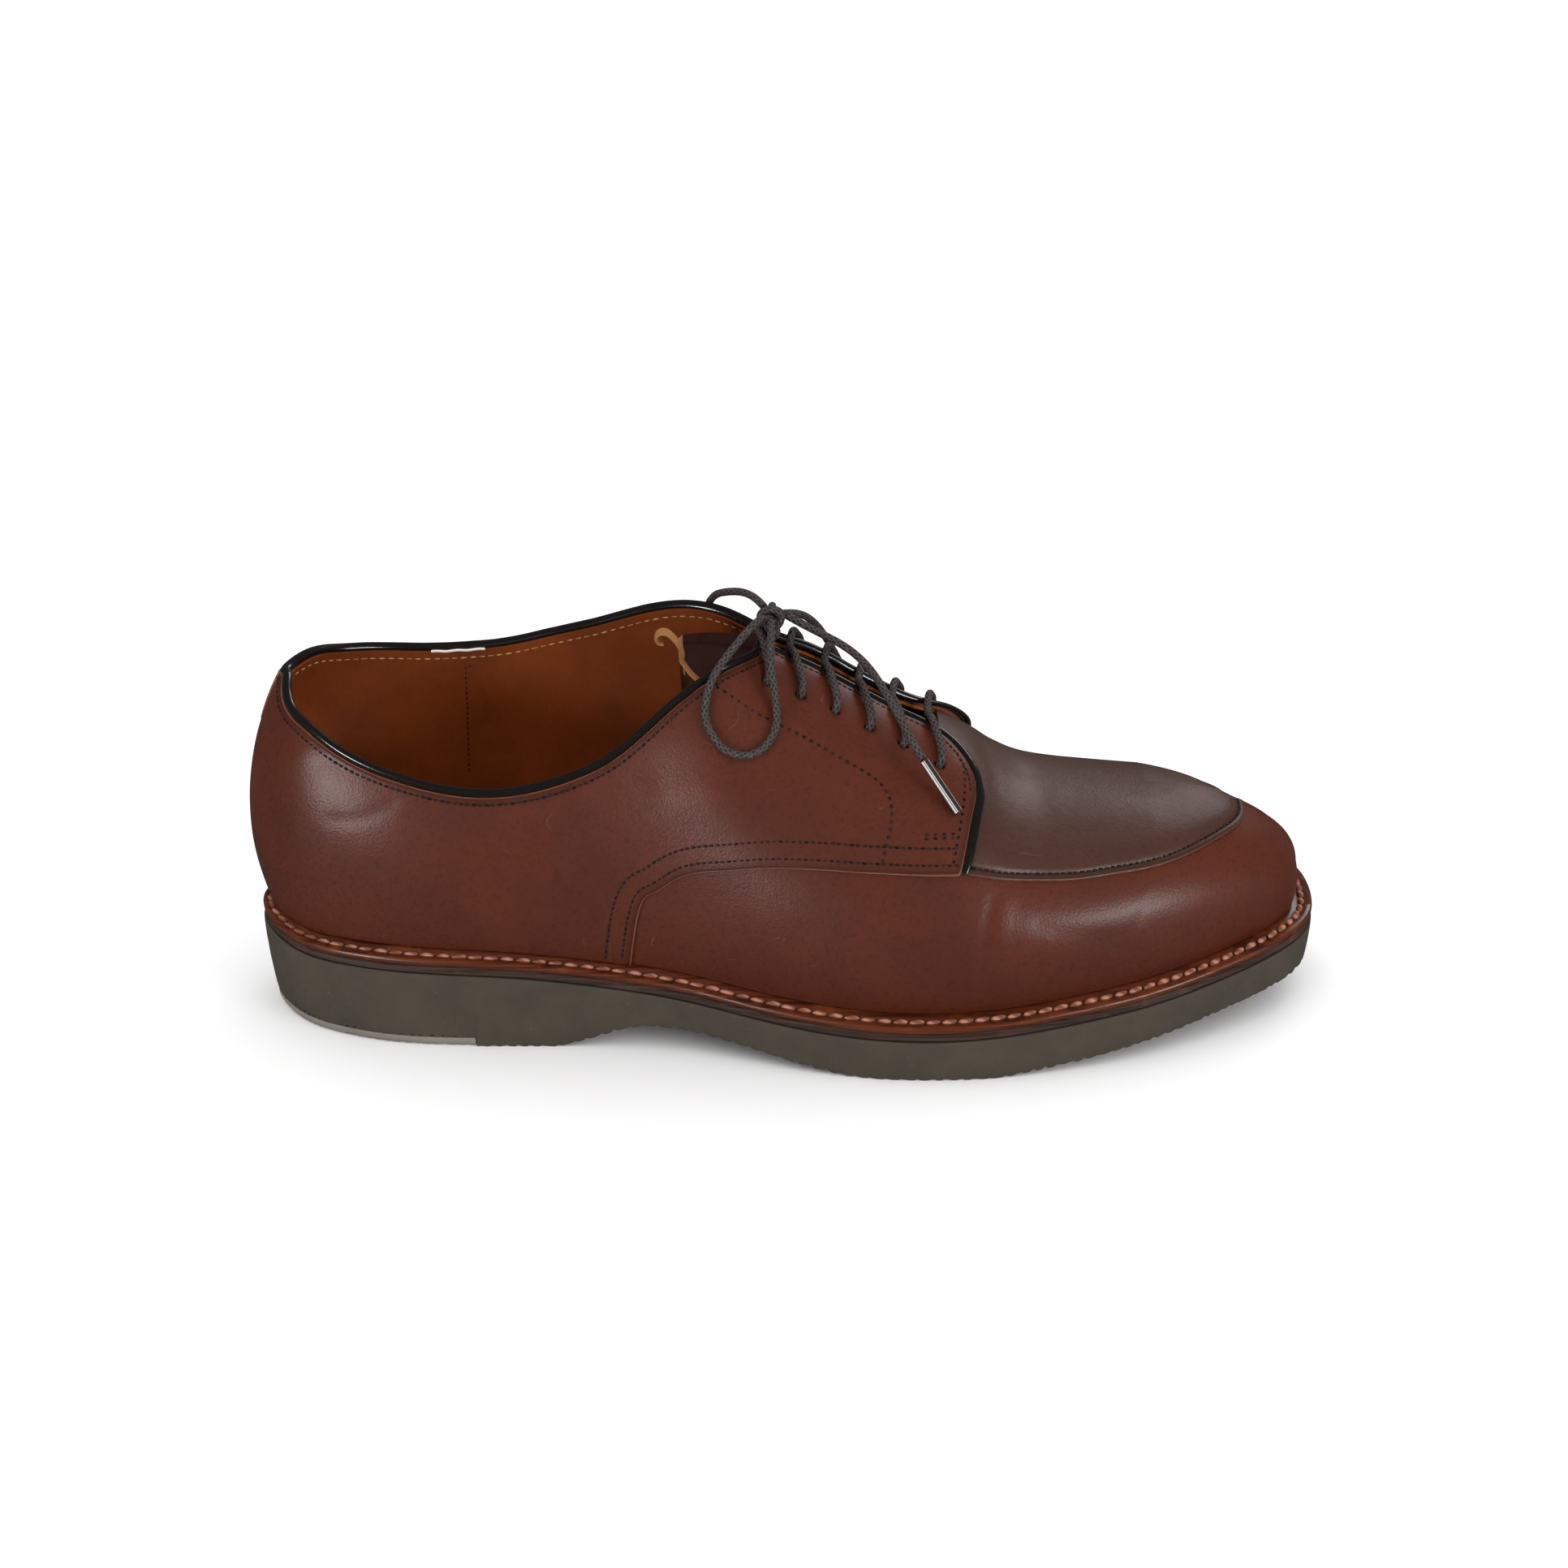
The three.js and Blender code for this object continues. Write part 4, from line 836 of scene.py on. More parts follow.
def apron_foot(round_: np.ndarray) -> np.ndarray:
    """Height of the apron's seam."""
    along = along_at(np.abs(LAST.wrap(round_)))
    return LAST.height_at_level(round_, APRON_HEIGHT * LAST.seam_share(along))


def facing_point(side: Side, distance: float, setback: float, above: float) -> np.ndarray:
    """Place over a facing.

    Args:
        side: Side of the shoe.
        distance: Distance from the back of the sole.
        setback: How far back from the facing's edge.
        above: How far above the leather.

    Returns:
        A point in millimetres.
    """
    round_ = np.array(side.value * float(station_from_back(distance)))
    across = LAST.ridge(distance / SOLE_LENGTH) + side.value * (throat_half(np.array(distance)) + setback)
    height = LAST.height_at_width(round_, across)
    return LAST.offset(round_, height, QUARTER_STEP + quarter_lift(round_, height) + above)


class Grid(NamedTuple):
    """A grid of places on the last, columns by rows, with the share of each row up its column."""

    rounds: np.ndarray
    heights: np.ndarray


class Mesh(NamedTuple):
    """Points in millimetres, faces of four corners and values kept on the points."""

    points: np.ndarray
    faces: np.ndarray
    marks: dict[str, np.ndarray]


class Line(NamedTuple):
    """A line over the shoe: its points in millimetres and the outward directions there."""

    points: np.ndarray
    outs: np.ndarray


def unit(vectors: np.ndarray) -> np.ndarray:
    """Vectors brought to length one."""
    return vectors / np.maximum(np.linalg.norm(vectors, axis=-1, keepdims=True), 1e-9)


def run_length(points: np.ndarray) -> np.ndarray:
    """Length of a line up to each of its points."""
    return np.concatenate([[0.0], np.cumsum(np.linalg.norm(np.diff(points, axis=0), axis=1))])


def read_along(values: np.ndarray, length: np.ndarray, where: np.ndarray) -> np.ndarray:
    """Values kept on a line's points, read at lengths along it."""
    return np.stack([np.interp(where, length, values[:, axis]) for axis in range(values.shape[1])], -1)


def columns(start: float, *stops: tuple[float, float]) -> np.ndarray:
    """Rounds spaced by length along the sole's outline.

    Args:
        start: First round.
        stops: Rounds to reach, each with the step in millimetres up to it.

    Returns:
        The rounds in order.
    """
    found = [np.array([start])]
    here = start
    for end, step in stops:
        fine = np.linspace(here, end, 400)
        length = run_length(LAST.outline(fine))
        count = max(int(round(length[-1] / step)), 1)
        found.append(np.interp(np.linspace(0.0, length[-1], count + 1)[1:], length, fine))
        here = end
    return np.concatenate(found)


def round_the_toe(rounds: np.ndarray) -> np.ndarray:
    """Rounds from the lateral back over the toe to the medial back, from rounds that end at -1."""
    return np.concatenate([rounds, -2.0 - rounds[-2::-1]])


def both_ways(rounds: np.ndarray) -> np.ndarray:
    """Rounds from the lateral front over the heel to the medial front, from rounds that end at 0."""
    return np.concatenate([rounds, -rounds[-2::-1]])


def rows_between(
    rounds: np.ndarray,
    foot: np.ndarray,
    top: np.ndarray,
    low: Sequence[float],
    high: Sequence[float],
    middle: int,
) -> Grid:
    """Rows of a panel, closer together at both edges.

    Args:
        rounds: The columns' rounds.
        foot: Height of the lower edge at each column.
        top: Height of the upper edge at each column.
        low: Distances in millimetres of the rows next to the lower edge.
        high: Distances of the rows next to the upper edge.
        middle: Number of rows between them.

    Returns:
        The grid of places.
    """
    top = np.maximum(top, foot)
    length = np.linalg.norm(LAST.point(rounds, top) - LAST.point(rounds, foot), axis=-1)
    count = len(low) + middle + len(high)
    most = np.arange(count) / (count - 1.0)
    span = np.maximum(length, 1e-6)[:, None]
    near = np.minimum(np.asarray(low)[None, :] / span, most[: len(low)][None, :])
    far = 1.0 - np.minimum(np.asarray(high)[None, ::-1] / span, most[: len(high)][None, ::-1])
    between = np.arange(1, middle + 1) / (middle + 1.0)
    inside = near[:, -1:] + (far[:, :1] - near[:, -1:]) * between[None, :]
    share = np.concatenate([near, inside, far], axis=1)
    heights = foot[:, None] + (top - foot)[:, None] * share
    return Grid(np.broadcast_to(rounds[:, None], heights.shape), heights)


def nearest(points: np.ndarray, line: np.ndarray) -> np.ndarray:
    """Distance from points to a line of closely spaced points.

    Args:
        points: Points to measure from.
        line: The line's points.

    Returns:
        Distances of the points' shape.
    """
    tree = KDTree(len(line))
    for index, place in enumerate(line):
        tree.insert(place, index)
    tree.balance()
    flat = points.reshape(-1, 3)
    return np.array([tree.find(place)[2] for place in flat]).reshape(points.shape[:-1])


def densely(points: np.ndarray, step: float) -> np.ndarray:
    """The same line with points no further apart than a step.

    Args:
        points: The line's points.
        step: Longest distance between the new ones.

    Returns:
        The new points.
    """
    length = run_length(points)
    return read_along(points, length, np.linspace(0.0, length[-1], max(int(length[-1] / step), 2)))


def rolled(distance: np.ndarray, radius: float) -> np.ndarray:
    """How far a rounded edge falls at a distance from it."""
    left = 1.0 - np.clip(distance / radius, 0.0, 1.0)
    return radius * (1.0 - np.sqrt(np.clip(1.0 - left**2, 0.0, 1.0)))


def undulation(points: np.ndarray) -> np.ndarray:
    """Slow unevenness of pulled leather, in millimetres.

    Args:
        points: Places on the leather.

    Returns:
        Heights of the unevenness.
    """
    x, y, z = points[..., 0], points[..., 1], points[..., 2]
    wide = np.sin(x / 11.3 + z / 17.0) * np.sin(z / 13.1 - y / 9.7 + 1.3)
    fine = np.sin(x / 4.9 - z / 6.1 + 0.7) * np.sin(z / 5.3 + x / 12.0 + 2.1)
    return 0.10 * wide + 0.025 * fine


def spline_through(places: np.ndarray, step: float) -> np.ndarray:
    """Smooth curve through places, centripetal in its spacing.

    Args:
        places: Points that it passes through.
        step: Longest distance between the curve's points.

    Returns:
        The curve's points.
    """
    places = np.asarray(places, float)
    gaps = np.linalg.norm(np.diff(places, axis=0), axis=1) ** 0.5
    knots = np.concatenate([[0.0], np.cumsum(gaps)])
    fine = np.linspace(0.0, knots[-1], 40 * len(places))
    curve = np.stack([Spline(knots, places[:, axis])(fine) for axis in range(places.shape[1])], -1)
    return densely(curve, step) if places.shape[1] == 3 else curve


def wall(outer: np.ndarray, inner: np.ndarray, marks: dict[str, np.ndarray] | None = None) -> Mesh:
    """A closed wall between an outer and an inner grid of points.

    Args:
        outer: Outer points, columns by rows.
        inner: Inner points of the same shape.
        marks: Values for the outer points, which the inner ones share.

    Returns:
        The closed mesh.
    """
    many, deep = outer.shape[:2]
    index = np.arange(many * deep).reshape(many, deep)
    under = index + many * deep

    def strip(a: np.ndarray, b: np.ndarray, c: np.ndarray, d: np.ndarray) -> np.ndarray:
        """Faces from four arrays of corners."""
        return np.stack([a.ravel(), b.ravel(), c.ravel(), d.ravel()], -1)

    faces = np.concatenate(
        [
            strip(index[:-1, :-1], index[1:, :-1], index[1:, 1:], index[:-1, 1:]),
            strip(under[:-1, :-1], under[:-1, 1:], under[1:, 1:], under[1:, :-1]),
            strip(index[1:, 0], index[:-1, 0], under[:-1, 0], under[1:, 0]),
            strip(index[:-1, -1], index[1:, -1], under[1:, -1], under[:-1, -1]),
            strip(index[0, :-1], index[0, 1:], under[0, 1:], under[0, :-1]),
            strip(index[-1, 1:], index[-1, :-1], under[-1, :-1], under[-1, 1:]),
        ]
    )
    points = np.concatenate([outer.reshape(-1, 3), inner.reshape(-1, 3)])
    doubled = {name: np.concatenate([value.ravel(), value.ravel()]) for name, value in (marks or {}).items()}
    return Mesh(points, faces, doubled)


def loft(rings: np.ndarray, loop: bool = False, marks: dict[str, np.ndarray] | None = None) -> Mesh:
    """A closed body through rings of points.

    Args:
        rings: Rings by points.
        loop: Whether the last ring joins the first. Otherwise both ends are capped.
        marks: Values for the points.

    Returns:
        The closed mesh.
    """
    many, around = rings.shape[:2]
    index = np.arange(many * around).reshape(many, around)
    ahead = np.roll(index, -1, axis=0) if loop else index[1:]
    behind = index if loop else index[:-1]
    side = np.stack([behind, ahead, np.roll(ahead, -1, axis=1), np.roll(behind, -1, axis=1)], -1)
    side = side.reshape(-1, 4)
    points = rings.reshape(-1, 3)
    values = {name: value.ravel() for name, value in (marks or {}).items()}
    if loop:
        return Mesh(points, side, values)
    ends = []
    for ring, turn in ((index[0], 1), (index[-1], -1)):
        middle = np.full(around, len(points))
        points = np.concatenate([points, points[ring].mean(axis=0, keepdims=True)])
        values = {name: np.append(value, value[ring].mean()) for name, value in values.items()}
        ends.append(np.stack([ring, np.roll(ring, -1), middle, middle], -1)[:, ::turn])
    return Mesh(points, np.concatenate([side, *ends]), values)


def sweep(path: np.ndarray, outs: np.ndarray, high: np.ndarray, wide: np.ndarray, sides: int) -> Mesh:
    """A rounded strand along a path, with its length and turn kept for its pattern.

    Args:
        path: Points of its centre line.
        outs: Direction of its height at each point.
        high: Its height.
        wide: Its width.
        sides: Number of sides.

    Returns:
        The closed mesh, marked with run in millimetres and turn from 0 to 1.
    """
    run = unit(np.gradient(path, axis=0))
    across = unit(np.cross(run, outs))
    up = np.cross(across, run)
    turn = np.arange(sides) / sides
    ring_up = np.sin(turn * 2.0 * np.pi)[None, :, None] * up[:, None, :]
    ring_across = np.cos(turn * 2.0 * np.pi)[None, :, None] * across[:, None, :]
    high = np.broadcast_to(high, len(path))[:, None, None] / 2.0
    wide = np.broadcast_to(wide, len(path))[:, None, None] / 2.0
    rings = path[:, None, :] + ring_up * high + ring_across * wide
    marks = {
        "run": np.broadcast_to(run_length(path)[:, None], rings.shape[:2]),
        "turn": np.broadcast_to(np.minimum(turn, 1.0 - turn)[None, :] * 2.0, rings.shape[:2]),
    }
    return loft(rings, marks=marks)


def steady_outs(path: np.ndarray, start: np.ndarray) -> np.ndarray:
    """Directions across a path that turn as little as they can.

    Args:
        path: Points of the path.
        start: Direction to start near.

    Returns:
        A direction at each point.
    """
    run = unit(np.gradient(path, axis=0))
    outs = [unit(start - run[0] * float(start @ run[0]))]
    for step in run[1:]:
        outs.append(unit(outs[-1] - step * float(outs[-1] @ step)))
    return np.array(outs)


def joined(meshes: Iterable[Mesh]) -> Mesh:
    """Several meshes as one.

    Args:
        meshes: The meshes, with the same marks.

    Returns:
        One mesh.
    """
    meshes = list(meshes)
    starts = np.cumsum([0] + [len(mesh.points) for mesh in meshes])
    faces = [mesh.faces + start for mesh, start in zip(meshes, starts)]
    marks = {name: np.concatenate([mesh.marks[name] for mesh in meshes]) for name in meshes[0].marks}
    return Mesh(np.concatenate([mesh.points for mesh in meshes]), np.concatenate(faces), marks)


def welded(mesh: Mesh) -> tuple[np.ndarray, list[tuple[int, ...]], dict[str, np.ndarray]]:
    """Makes points that coincide one, and drops faces that lie back to back or have no area.

    Args:
        mesh: The mesh to weld.

    Returns:
        Points, faces and values on the points.
    """
    keys = np.round(mesh.points * WELD_PER_MM).astype(np.int64)
    _, first, place = np.unique(keys, axis=0, return_index=True, return_inverse=True)
    corners = place.reshape(-1)[mesh.faces]
    found: dict[tuple[int, ...], tuple[int, ...]] = {}
    for face in corners.tolist():
        ring = [corner for at, corner in enumerate(face) if corner != face[at - 1]]
        if len(set(ring)) < 3 or len(set(ring)) != len(ring):
            continue
        key = tuple(sorted(ring))
        if key in found:
            del found[key]
        else:
            found[key] = tuple(ring)
    marks = {name: value[first] for name, value in mesh.marks.items()}
    return mesh.points[first], list(found.values()), marks


def linked(name: str, data: bpy.types.ID) -> Object:
    """Makes an object and puts it into the scene.

    Args:
        name: Name of the object.
        data: Mesh, light or camera that it holds.

    Returns:
        The object.
    """
    made = bpy.data.objects.new(name, data)
    bpy.context.scene.collection.objects.link(made)
    return made


def settled(made: Object) -> bpy.types.Mesh:
    """A plain mesh of an object as its modifiers leave it."""
    return bpy.data.meshes.new_from_object(made.evaluated_get(bpy.context.evaluated_depsgraph_get()))


def make_object(name: str, mesh: Mesh, material: Material, weld: bool = True) -> Object:
    """Builds a Blender object with its place in its mesh and its faces outward.

    Args:
        name: The object's name.
        mesh: Its mesh in the shoe's millimetres.
        material: Its material.
        weld: Whether points that coincide become one.

    Returns:
        The object.
    """
    points, faces, marks = mesh.points, [tuple(face) for face in mesh.faces.tolist()], mesh.marks
    if weld:
        points, faces, marks = welded(mesh)
    fans = [(face[0], face[at], face[at + 1]) for face in faces for at in range(1, len(face) - 1)]
    corners = (points - points.mean(axis=0))[np.array(fans)]
    if (corners[:, 0] * np.cross(corners[:, 1], corners[:, 2])).sum() < 0.0:
        faces = [face[::-1] for face in faces]
    data = bpy.data.meshes.new(name)
    data.from_pydata(to_metres(points).tolist(), [], faces)
    for mark, value in marks.items():
        attribute = data.attributes.new(mark, "FLOAT", "POINT")
        attribute.data.foreach_set("value", value.astype(np.float32))
    data.polygons.foreach_set("use_smooth", np.ones(len(data.polygons), bool))
    data.set_sharp_from_angle(angle=math.radians(SHARP_ANGLE))
    data.materials.append(material)
    data.update()
    return linked(name, data)


def linear(code: str) -> tuple[float, float, float, float]:
    """Linear colour of an sRGB hex code."""
    parts = [int(code[at : at + 2], 16) / 255.0 for at in (1, 3, 5)]
    return (*(part / 12.92 if part <= 0.04045 else ((part + 0.055) / 1.055) ** 2.4 for part in parts), 1.0)


def per_metre(size_mm: float) -> float:
    """Scale of a texture whose pattern has a size in millimetres."""
    return 1.0 / (size_mm * MILLI)


# Output that is meant where a whole node is linked and it isn't the first one.
MEANT_OUTPUT = {"ShaderNodeMix": 2, "ShaderNodeAttribute": 2, "ShaderNodeTexWave": 1, "ShaderNodeTexCoord": 3}


def add_node(tree: NodeTree, kind: str, inputs: dict | None = None, **settings: object) -> Node:
    """Adds a node with its settings and links.

    Args:
        tree: The tree.
        kind: The node's type.
        inputs: Values, outputs or whole nodes, by the input's name or place.
        settings: The node's own settings.

    Returns:
        The node.
    """
    node = tree.nodes.new(kind)
    for name, value in settings.items():
        setattr(node, name, value)
    for key, value in (inputs or {}).items():
        if isinstance(value, Node):
            value = value.outputs[MEANT_OUTPUT.get(value.bl_idname, 0)]
        if isinstance(value, NodeSocket):
            tree.links.new(value, node.inputs[key])
        else:
            node.inputs[key].default_value = value
    return node


@dataclass(frozen=True)
class Grain:
    """Size in millimetres and fineness of a noise."""

    size_mm: float
    detail: float

    def inputs(self, place: Node) -> dict[str, object]:
        """Values for a noise node's inputs."""
        return {"Vector": place, "Scale": per_metre(self.size_mm), "Detail": self.detail, "Roughness": 0.6}


@dataclass(frozen=True)
class Cloud:
    """Patches of another colour: the span of the noise over which they come in, and how strong they get."""

    colour: str
    grain: Grain
    start: float
    end: float
    most: float = 1.0


@dataclass(frozen=True)
class Relief:
    """Fine unevenness of a surface: its noise and its depth."""

    grain: Grain
    depth_mm: float


@dataclass(frozen=True)
class Finish:
    """A stuff that pieces are made of."""

    name: str
    colour: str
    roughness: float = 0.6
    coat: float = 0.0
    coat_roughness: float = 0.2
    specular: float = 0.3

    def clouds(self) -> tuple[Cloud, ...]:
        """Patches laid over the ground, in order."""
        return ()

    def reliefs(self) -> tuple[Relief, ...]:
        """Unevenness laid over the ground's, in order."""
        return ()

    def ground(self, tree: NodeTree, place: Node) -> dict[str, object]:
        """Colour, and relief if there is one, that lie under the patches."""
        return {"Base Color": linear(self.colour)}

    def wear(self, tree: NodeTree, place: Node, given: dict[str, object]) -> dict[str, object]:
        """Values for the shader after what use and handwork add."""
        return given

    def material(self) -> Material:
        """Builds the material.

        Returns:
            The material, with its patterns.
        """
        material = bpy.data.materials.new(self.name)
        material.use_nodes = True
        tree = material.node_tree
        tree.nodes.clear()
        place = add_node(tree, "ShaderNodeTexCoord")
        given = {
            "Roughness": self.roughness,
            "Coat Weight": self.coat,
            "Coat Roughness": self.coat_roughness,
            "Specular IOR Level": self.specular,
            **self.ground(tree, place),
        }
        for cloud in self.clouds():
            noise = add_node(tree, "ShaderNodeTexNoise", cloud.grain.inputs(place))
            span = {"Value": noise, "From Min": cloud.start, "From Max": cloud.end, "To Max": cloud.most}
            share = add_node(tree, "ShaderNodeMapRange", span)
            tones = {0: share, 6: given["Base Color"], 7: linear(cloud.colour)}
            given["Base Color"] = add_node(tree, "ShaderNodeMix", tones, data_type="RGBA")
        for relief in self.reliefs():
            noise = add_node(tree, "ShaderNodeTexNoise", relief.grain.inputs(place))
            bump = {"Height": noise, "Distance": relief.depth_mm * MILLI, "Strength": 1.0}
            if "Normal" in given:
                bump["Normal"] = given["Normal"]
            given["Normal"] = add_node(tree, "ShaderNodeBump", bump)
        shader = add_node(tree, "ShaderNodeBsdfPrincipled", self.wear(tree, place, given))
        add_node(tree, "ShaderNodeOutputMaterial", {"Surface": shader})
        return material


@dataclass(frozen=True)
class Leather(Finish):
    """Smooth waxed calf: cloudy dye, dark burnished edges, a paler cut rim, fine grain and hair scratches."""

    shade: str = "#2c1410"
    worn: str = "#8a5a44"
    rim: str = "#7a4a36"
    dye: Grain = Grain(34.0, 4.0)
    pore_mm: float = 0.75
    pore_depth_mm: float = 0.03
    crease: Relief = Relief(Grain(5.5, 3.0), 0.16)
    burnish_mm: float = 2.2
    rim_mm: float = 0.4
    scratch_depth_mm: float = 0.03

    def clouds(self) -> tuple[Cloud, ...]:
        """Clouds of dye and dark specks."""
        specks = Cloud(self.shade, Grain(1.3, 2.0), 0.50, 0.75, 0.45)
        return Cloud(self.shade, self.dye, 0.40, 0.75, 0.45), specks

    def reliefs(self) -> tuple[Relief, ...]:
        """Fine grain between the pores."""
        return (Relief(Grain(0.35, 2.0), self.pore_depth_mm),)

    def ground(self, tree: NodeTree, place: Node) -> dict[str, object]:
        """Plain colour over pores.

        Args:
            tree: The material's nodes.
            place: Place on the piece.

        Returns:
            Colour and relief.
        """
        cells = add_node(tree, "ShaderNodeTexVoronoi", {"Vector": place, "Scale": per_metre(self.pore_mm)})
        pores = {"Height": cells, "Distance": self.pore_depth_mm * MILLI, "Strength": 1.0}
        return {"Base Color": linear(self.colour), "Normal": add_node(tree, "ShaderNodeBump", pores)}

    def wear(self, tree: NodeTree, place: Node, given: dict[str, object]) -> dict[str, object]:
        """Adds scratches, burnish, rim, creases and uneven gloss.

        Args:
            tree: The material's nodes.
            place: Place on the piece.
            given: Values so far, with the grain as relief.

        Returns:
            Values for the shader.
        """
        # Hair scratches lie where two slow noises cross a narrow band at once.
        path = add_node(tree, "ShaderNodeTexNoise", Grain(17.0, 0.5).inputs(place))
        off = add_node(tree, "ShaderNodeMath", {0: path, 1: 0.5}, operation="SUBTRACT")
        away = add_node(tree, "ShaderNodeMath", {0: off}, operation="ABSOLUTE")
        narrow = {"Value": away, "From Min": 0.0, "From Max": 0.0022, "To Min": 1.0, "To Max": 0.0}
        line = add_node(tree, "ShaderNodeMapRange", narrow)
        patches = add_node(tree, "ShaderNodeTexNoise", Grain(9.0, 1.0).inputs(place))
        sparse = add_node(tree, "ShaderNodeMapRange", {"Value": patches, "From Min": 0.60, "From Max": 0.66})
        scratch = add_node(tree, "ShaderNodeMath", {0: line, 1: sparse}, operation="MULTIPLY")
        faint = add_node(tree, "ShaderNodeMath", {0: scratch, 1: 0.5}, operation="MULTIPLY")
        edge = add_node(tree, "ShaderNodeAttribute", attribute_name="edge")
        near = {"Value": edge, "From Min": 0.25, "From Max": self.burnish_mm, "To Min": 0.75, "To Max": 0.0}
        burnt = add_node(tree, "ShaderNodeMapRange", near)
        last = {"Value": edge, "From Min": 0.08, "From Max": self.rim_mm, "To Min": 1.0, "To Max": 0.0}
        cut = add_node(tree, "ShaderNodeMapRange", last)
        for share, colour in ((faint, self.worn), (burnt, self.shade), (cut, self.rim)):
            tones = {0: share, 6: given["Base Color"], 7: linear(colour)}
            given["Base Color"] = add_node(tree, "ShaderNodeMix", tones, data_type="RGBA")
        given["Coat Normal"] = given["Normal"]
        creases = add_node(tree, "ShaderNodeTexNoise", self.crease.grain.inputs(place))
        sunk = add_node(tree, "ShaderNodeMath", {0: scratch, 1: -1.0}, operation="MULTIPLY")
        for height, depth in ((creases, self.crease.depth_mm), (sunk, self.scratch_depth_mm)):
            bump = {"Height": height, "Distance": depth * MILLI, "Strength": 1.0, "Normal": given["Normal"]}
            given["Normal"] = add_node(tree, "ShaderNodeBump", bump)
        dye = add_node(tree, "ShaderNodeTexNoise", self.dye.inputs(place))
        least, most = self.roughness - 0.06, self.roughness + 0.07
        gloss = {"Value": dye, "From Min": 0.3, "From Max": 0.7, "To Min": least, "To Max": most}
        given["Roughness"] = add_node(tree, "ShaderNodeMapRange", gloss)
        return given


@dataclass(frozen=True)
class Streaked(Finish):
    """Cut and stained edge of a stacked leather: long streaks along it."""

    streak: str = "#2a1712"
    pale: str = "#7b4632"
    length_mm: float = 38.0
    height_mm: float = 0.55
    depth_mm: float = 0.12

    def clouds(self) -> tuple[Cloud, ...]:
        """Pale patches."""
        return (Cloud(self.pale, Grain(9.0, 4.0), 0.56, 0.75, 0.7),)

    def ground(self, tree: NodeTree, place: Node) -> dict[str, object]:
        """Streaks in colour and relief.

        Args:
            tree: The material's nodes.
            place: Place on the piece.

        Returns:
            Colour and relief.
        """
        scale = (per_metre(self.length_mm), per_metre(self.length_mm), per_metre(self.height_mm))
        long = add_node(tree, "ShaderNodeMapping", {"Vector": place, "Scale": scale})
        fine = {"Vector": long, "Scale": 1.0, "Detail": 4.0, "Roughness": 0.65}
        streaks = add_node(tree, "ShaderNodeTexNoise", fine)
        share = add_node(tree, "ShaderNodeMapRange", {"Value": streaks, "From Min": 0.42, "From Max": 0.62})
        tones = {0: share, 6: linear(self.colour), 7: linear(self.streak)}
        bump = {"Height": streaks, "Distance": self.depth_mm * MILLI, "Strength": 1.0}
        return {
            "Base Color": add_node(tree, "ShaderNodeMix", tones, data_type="RGBA"),
            "Normal": add_node(tree, "ShaderNodeBump", bump),
        }


@dataclass(frozen=True)
class Rubber(Finish):
    """Dense crepe rubber: matt, faintly mottled, with fine sanding marks."""

    mottle: str = "#423b31"
    dust: str = "#6f695f"
    depth_mm: float = 0.09

    def clouds(self) -> tuple[Cloud, ...]:
        """Mottling and dust."""
        dust = Cloud(self.dust, Grain(1.1, 3.0), 0.66, 0.78, 0.35)
        return Cloud(self.mottle, Grain(14.0, 5.0), 0.35, 0.7), dust

    def reliefs(self) -> tuple[Relief, ...]:
        """Sanding marks over slow waves."""
        return Relief(Grain(0.9, 4.0), self.depth_mm), Relief(Grain(4.5, 2.0), self.depth_mm * 2.0)


@dataclass(frozen=True)
class Suede(Finish):
    """Flesh side or lining leather: matt, blotched by handling, with a soft nap."""

    stain: str = "#5d2c0c"
    nap: Relief = Relief(Grain(0.5, 3.0), 0.06)

    def clouds(self) -> tuple[Cloud, ...]:
        """Handling stains and dark flecks."""
        flecks = Cloud(self.stain, Grain(0.8, 3.0), 0.5, 0.8, 0.3)
        return Cloud(self.stain, Grain(30.0, 5.0), 0.42, 0.78, 0.7), flecks

    def reliefs(self) -> tuple[Relief, ...]:
        """The nap."""
        return (self.nap,)


@dataclass(frozen=True)
class Thread(Finish):
    """Waxed sewing thread with a twist drawn along it: lighter raised bands, darker grooves, as painted
    shade.
    """

    # Lighter colour of the twist's raised bands; the grooves keep the darker one: painted light and shade.
    light: str = "#6b5148"
    twist_mm: float = 0.42
    depth_mm: float = 0.10

    def ground(self, tree: NodeTree, place: Node) -> dict[str, object]:
        """The twist, as slanting bands.

        Args:
            tree: The material's nodes.
            place: Place on the piece.

        Returns:
            Colour and relief.
        """
        # A wave node draws about twenty bands in a length of one over its scale.
        wave = {"Vector": place, "Scale": per_metre(self.twist_mm) / 20.0, "Distortion": 1.5, "Detail": 2.0}
        bands = add_node(tree, "ShaderNodeTexWave", wave, bands_direction="DIAGONAL")
        share = add_node(tree, "ShaderNodeMapRange", {"Value": bands, "From Min": 0.2, "From Max": 0.9})
        # Raised bands take the lighter colour and the grooves the darker one: painted light and shade of the
        # twist.
        tones = {0: share, 6: linear(self.colour), 7: linear(self.light)}
        bump = {"Height": bands, "Distance": self.depth_mm * MILLI, "Strength": 1.0}
        return {
            "Base Color": add_node(tree, "ShaderNodeMix", tones, data_type="RGBA"),
            "Normal": add_node(tree, "ShaderNodeBump", bump),
        }


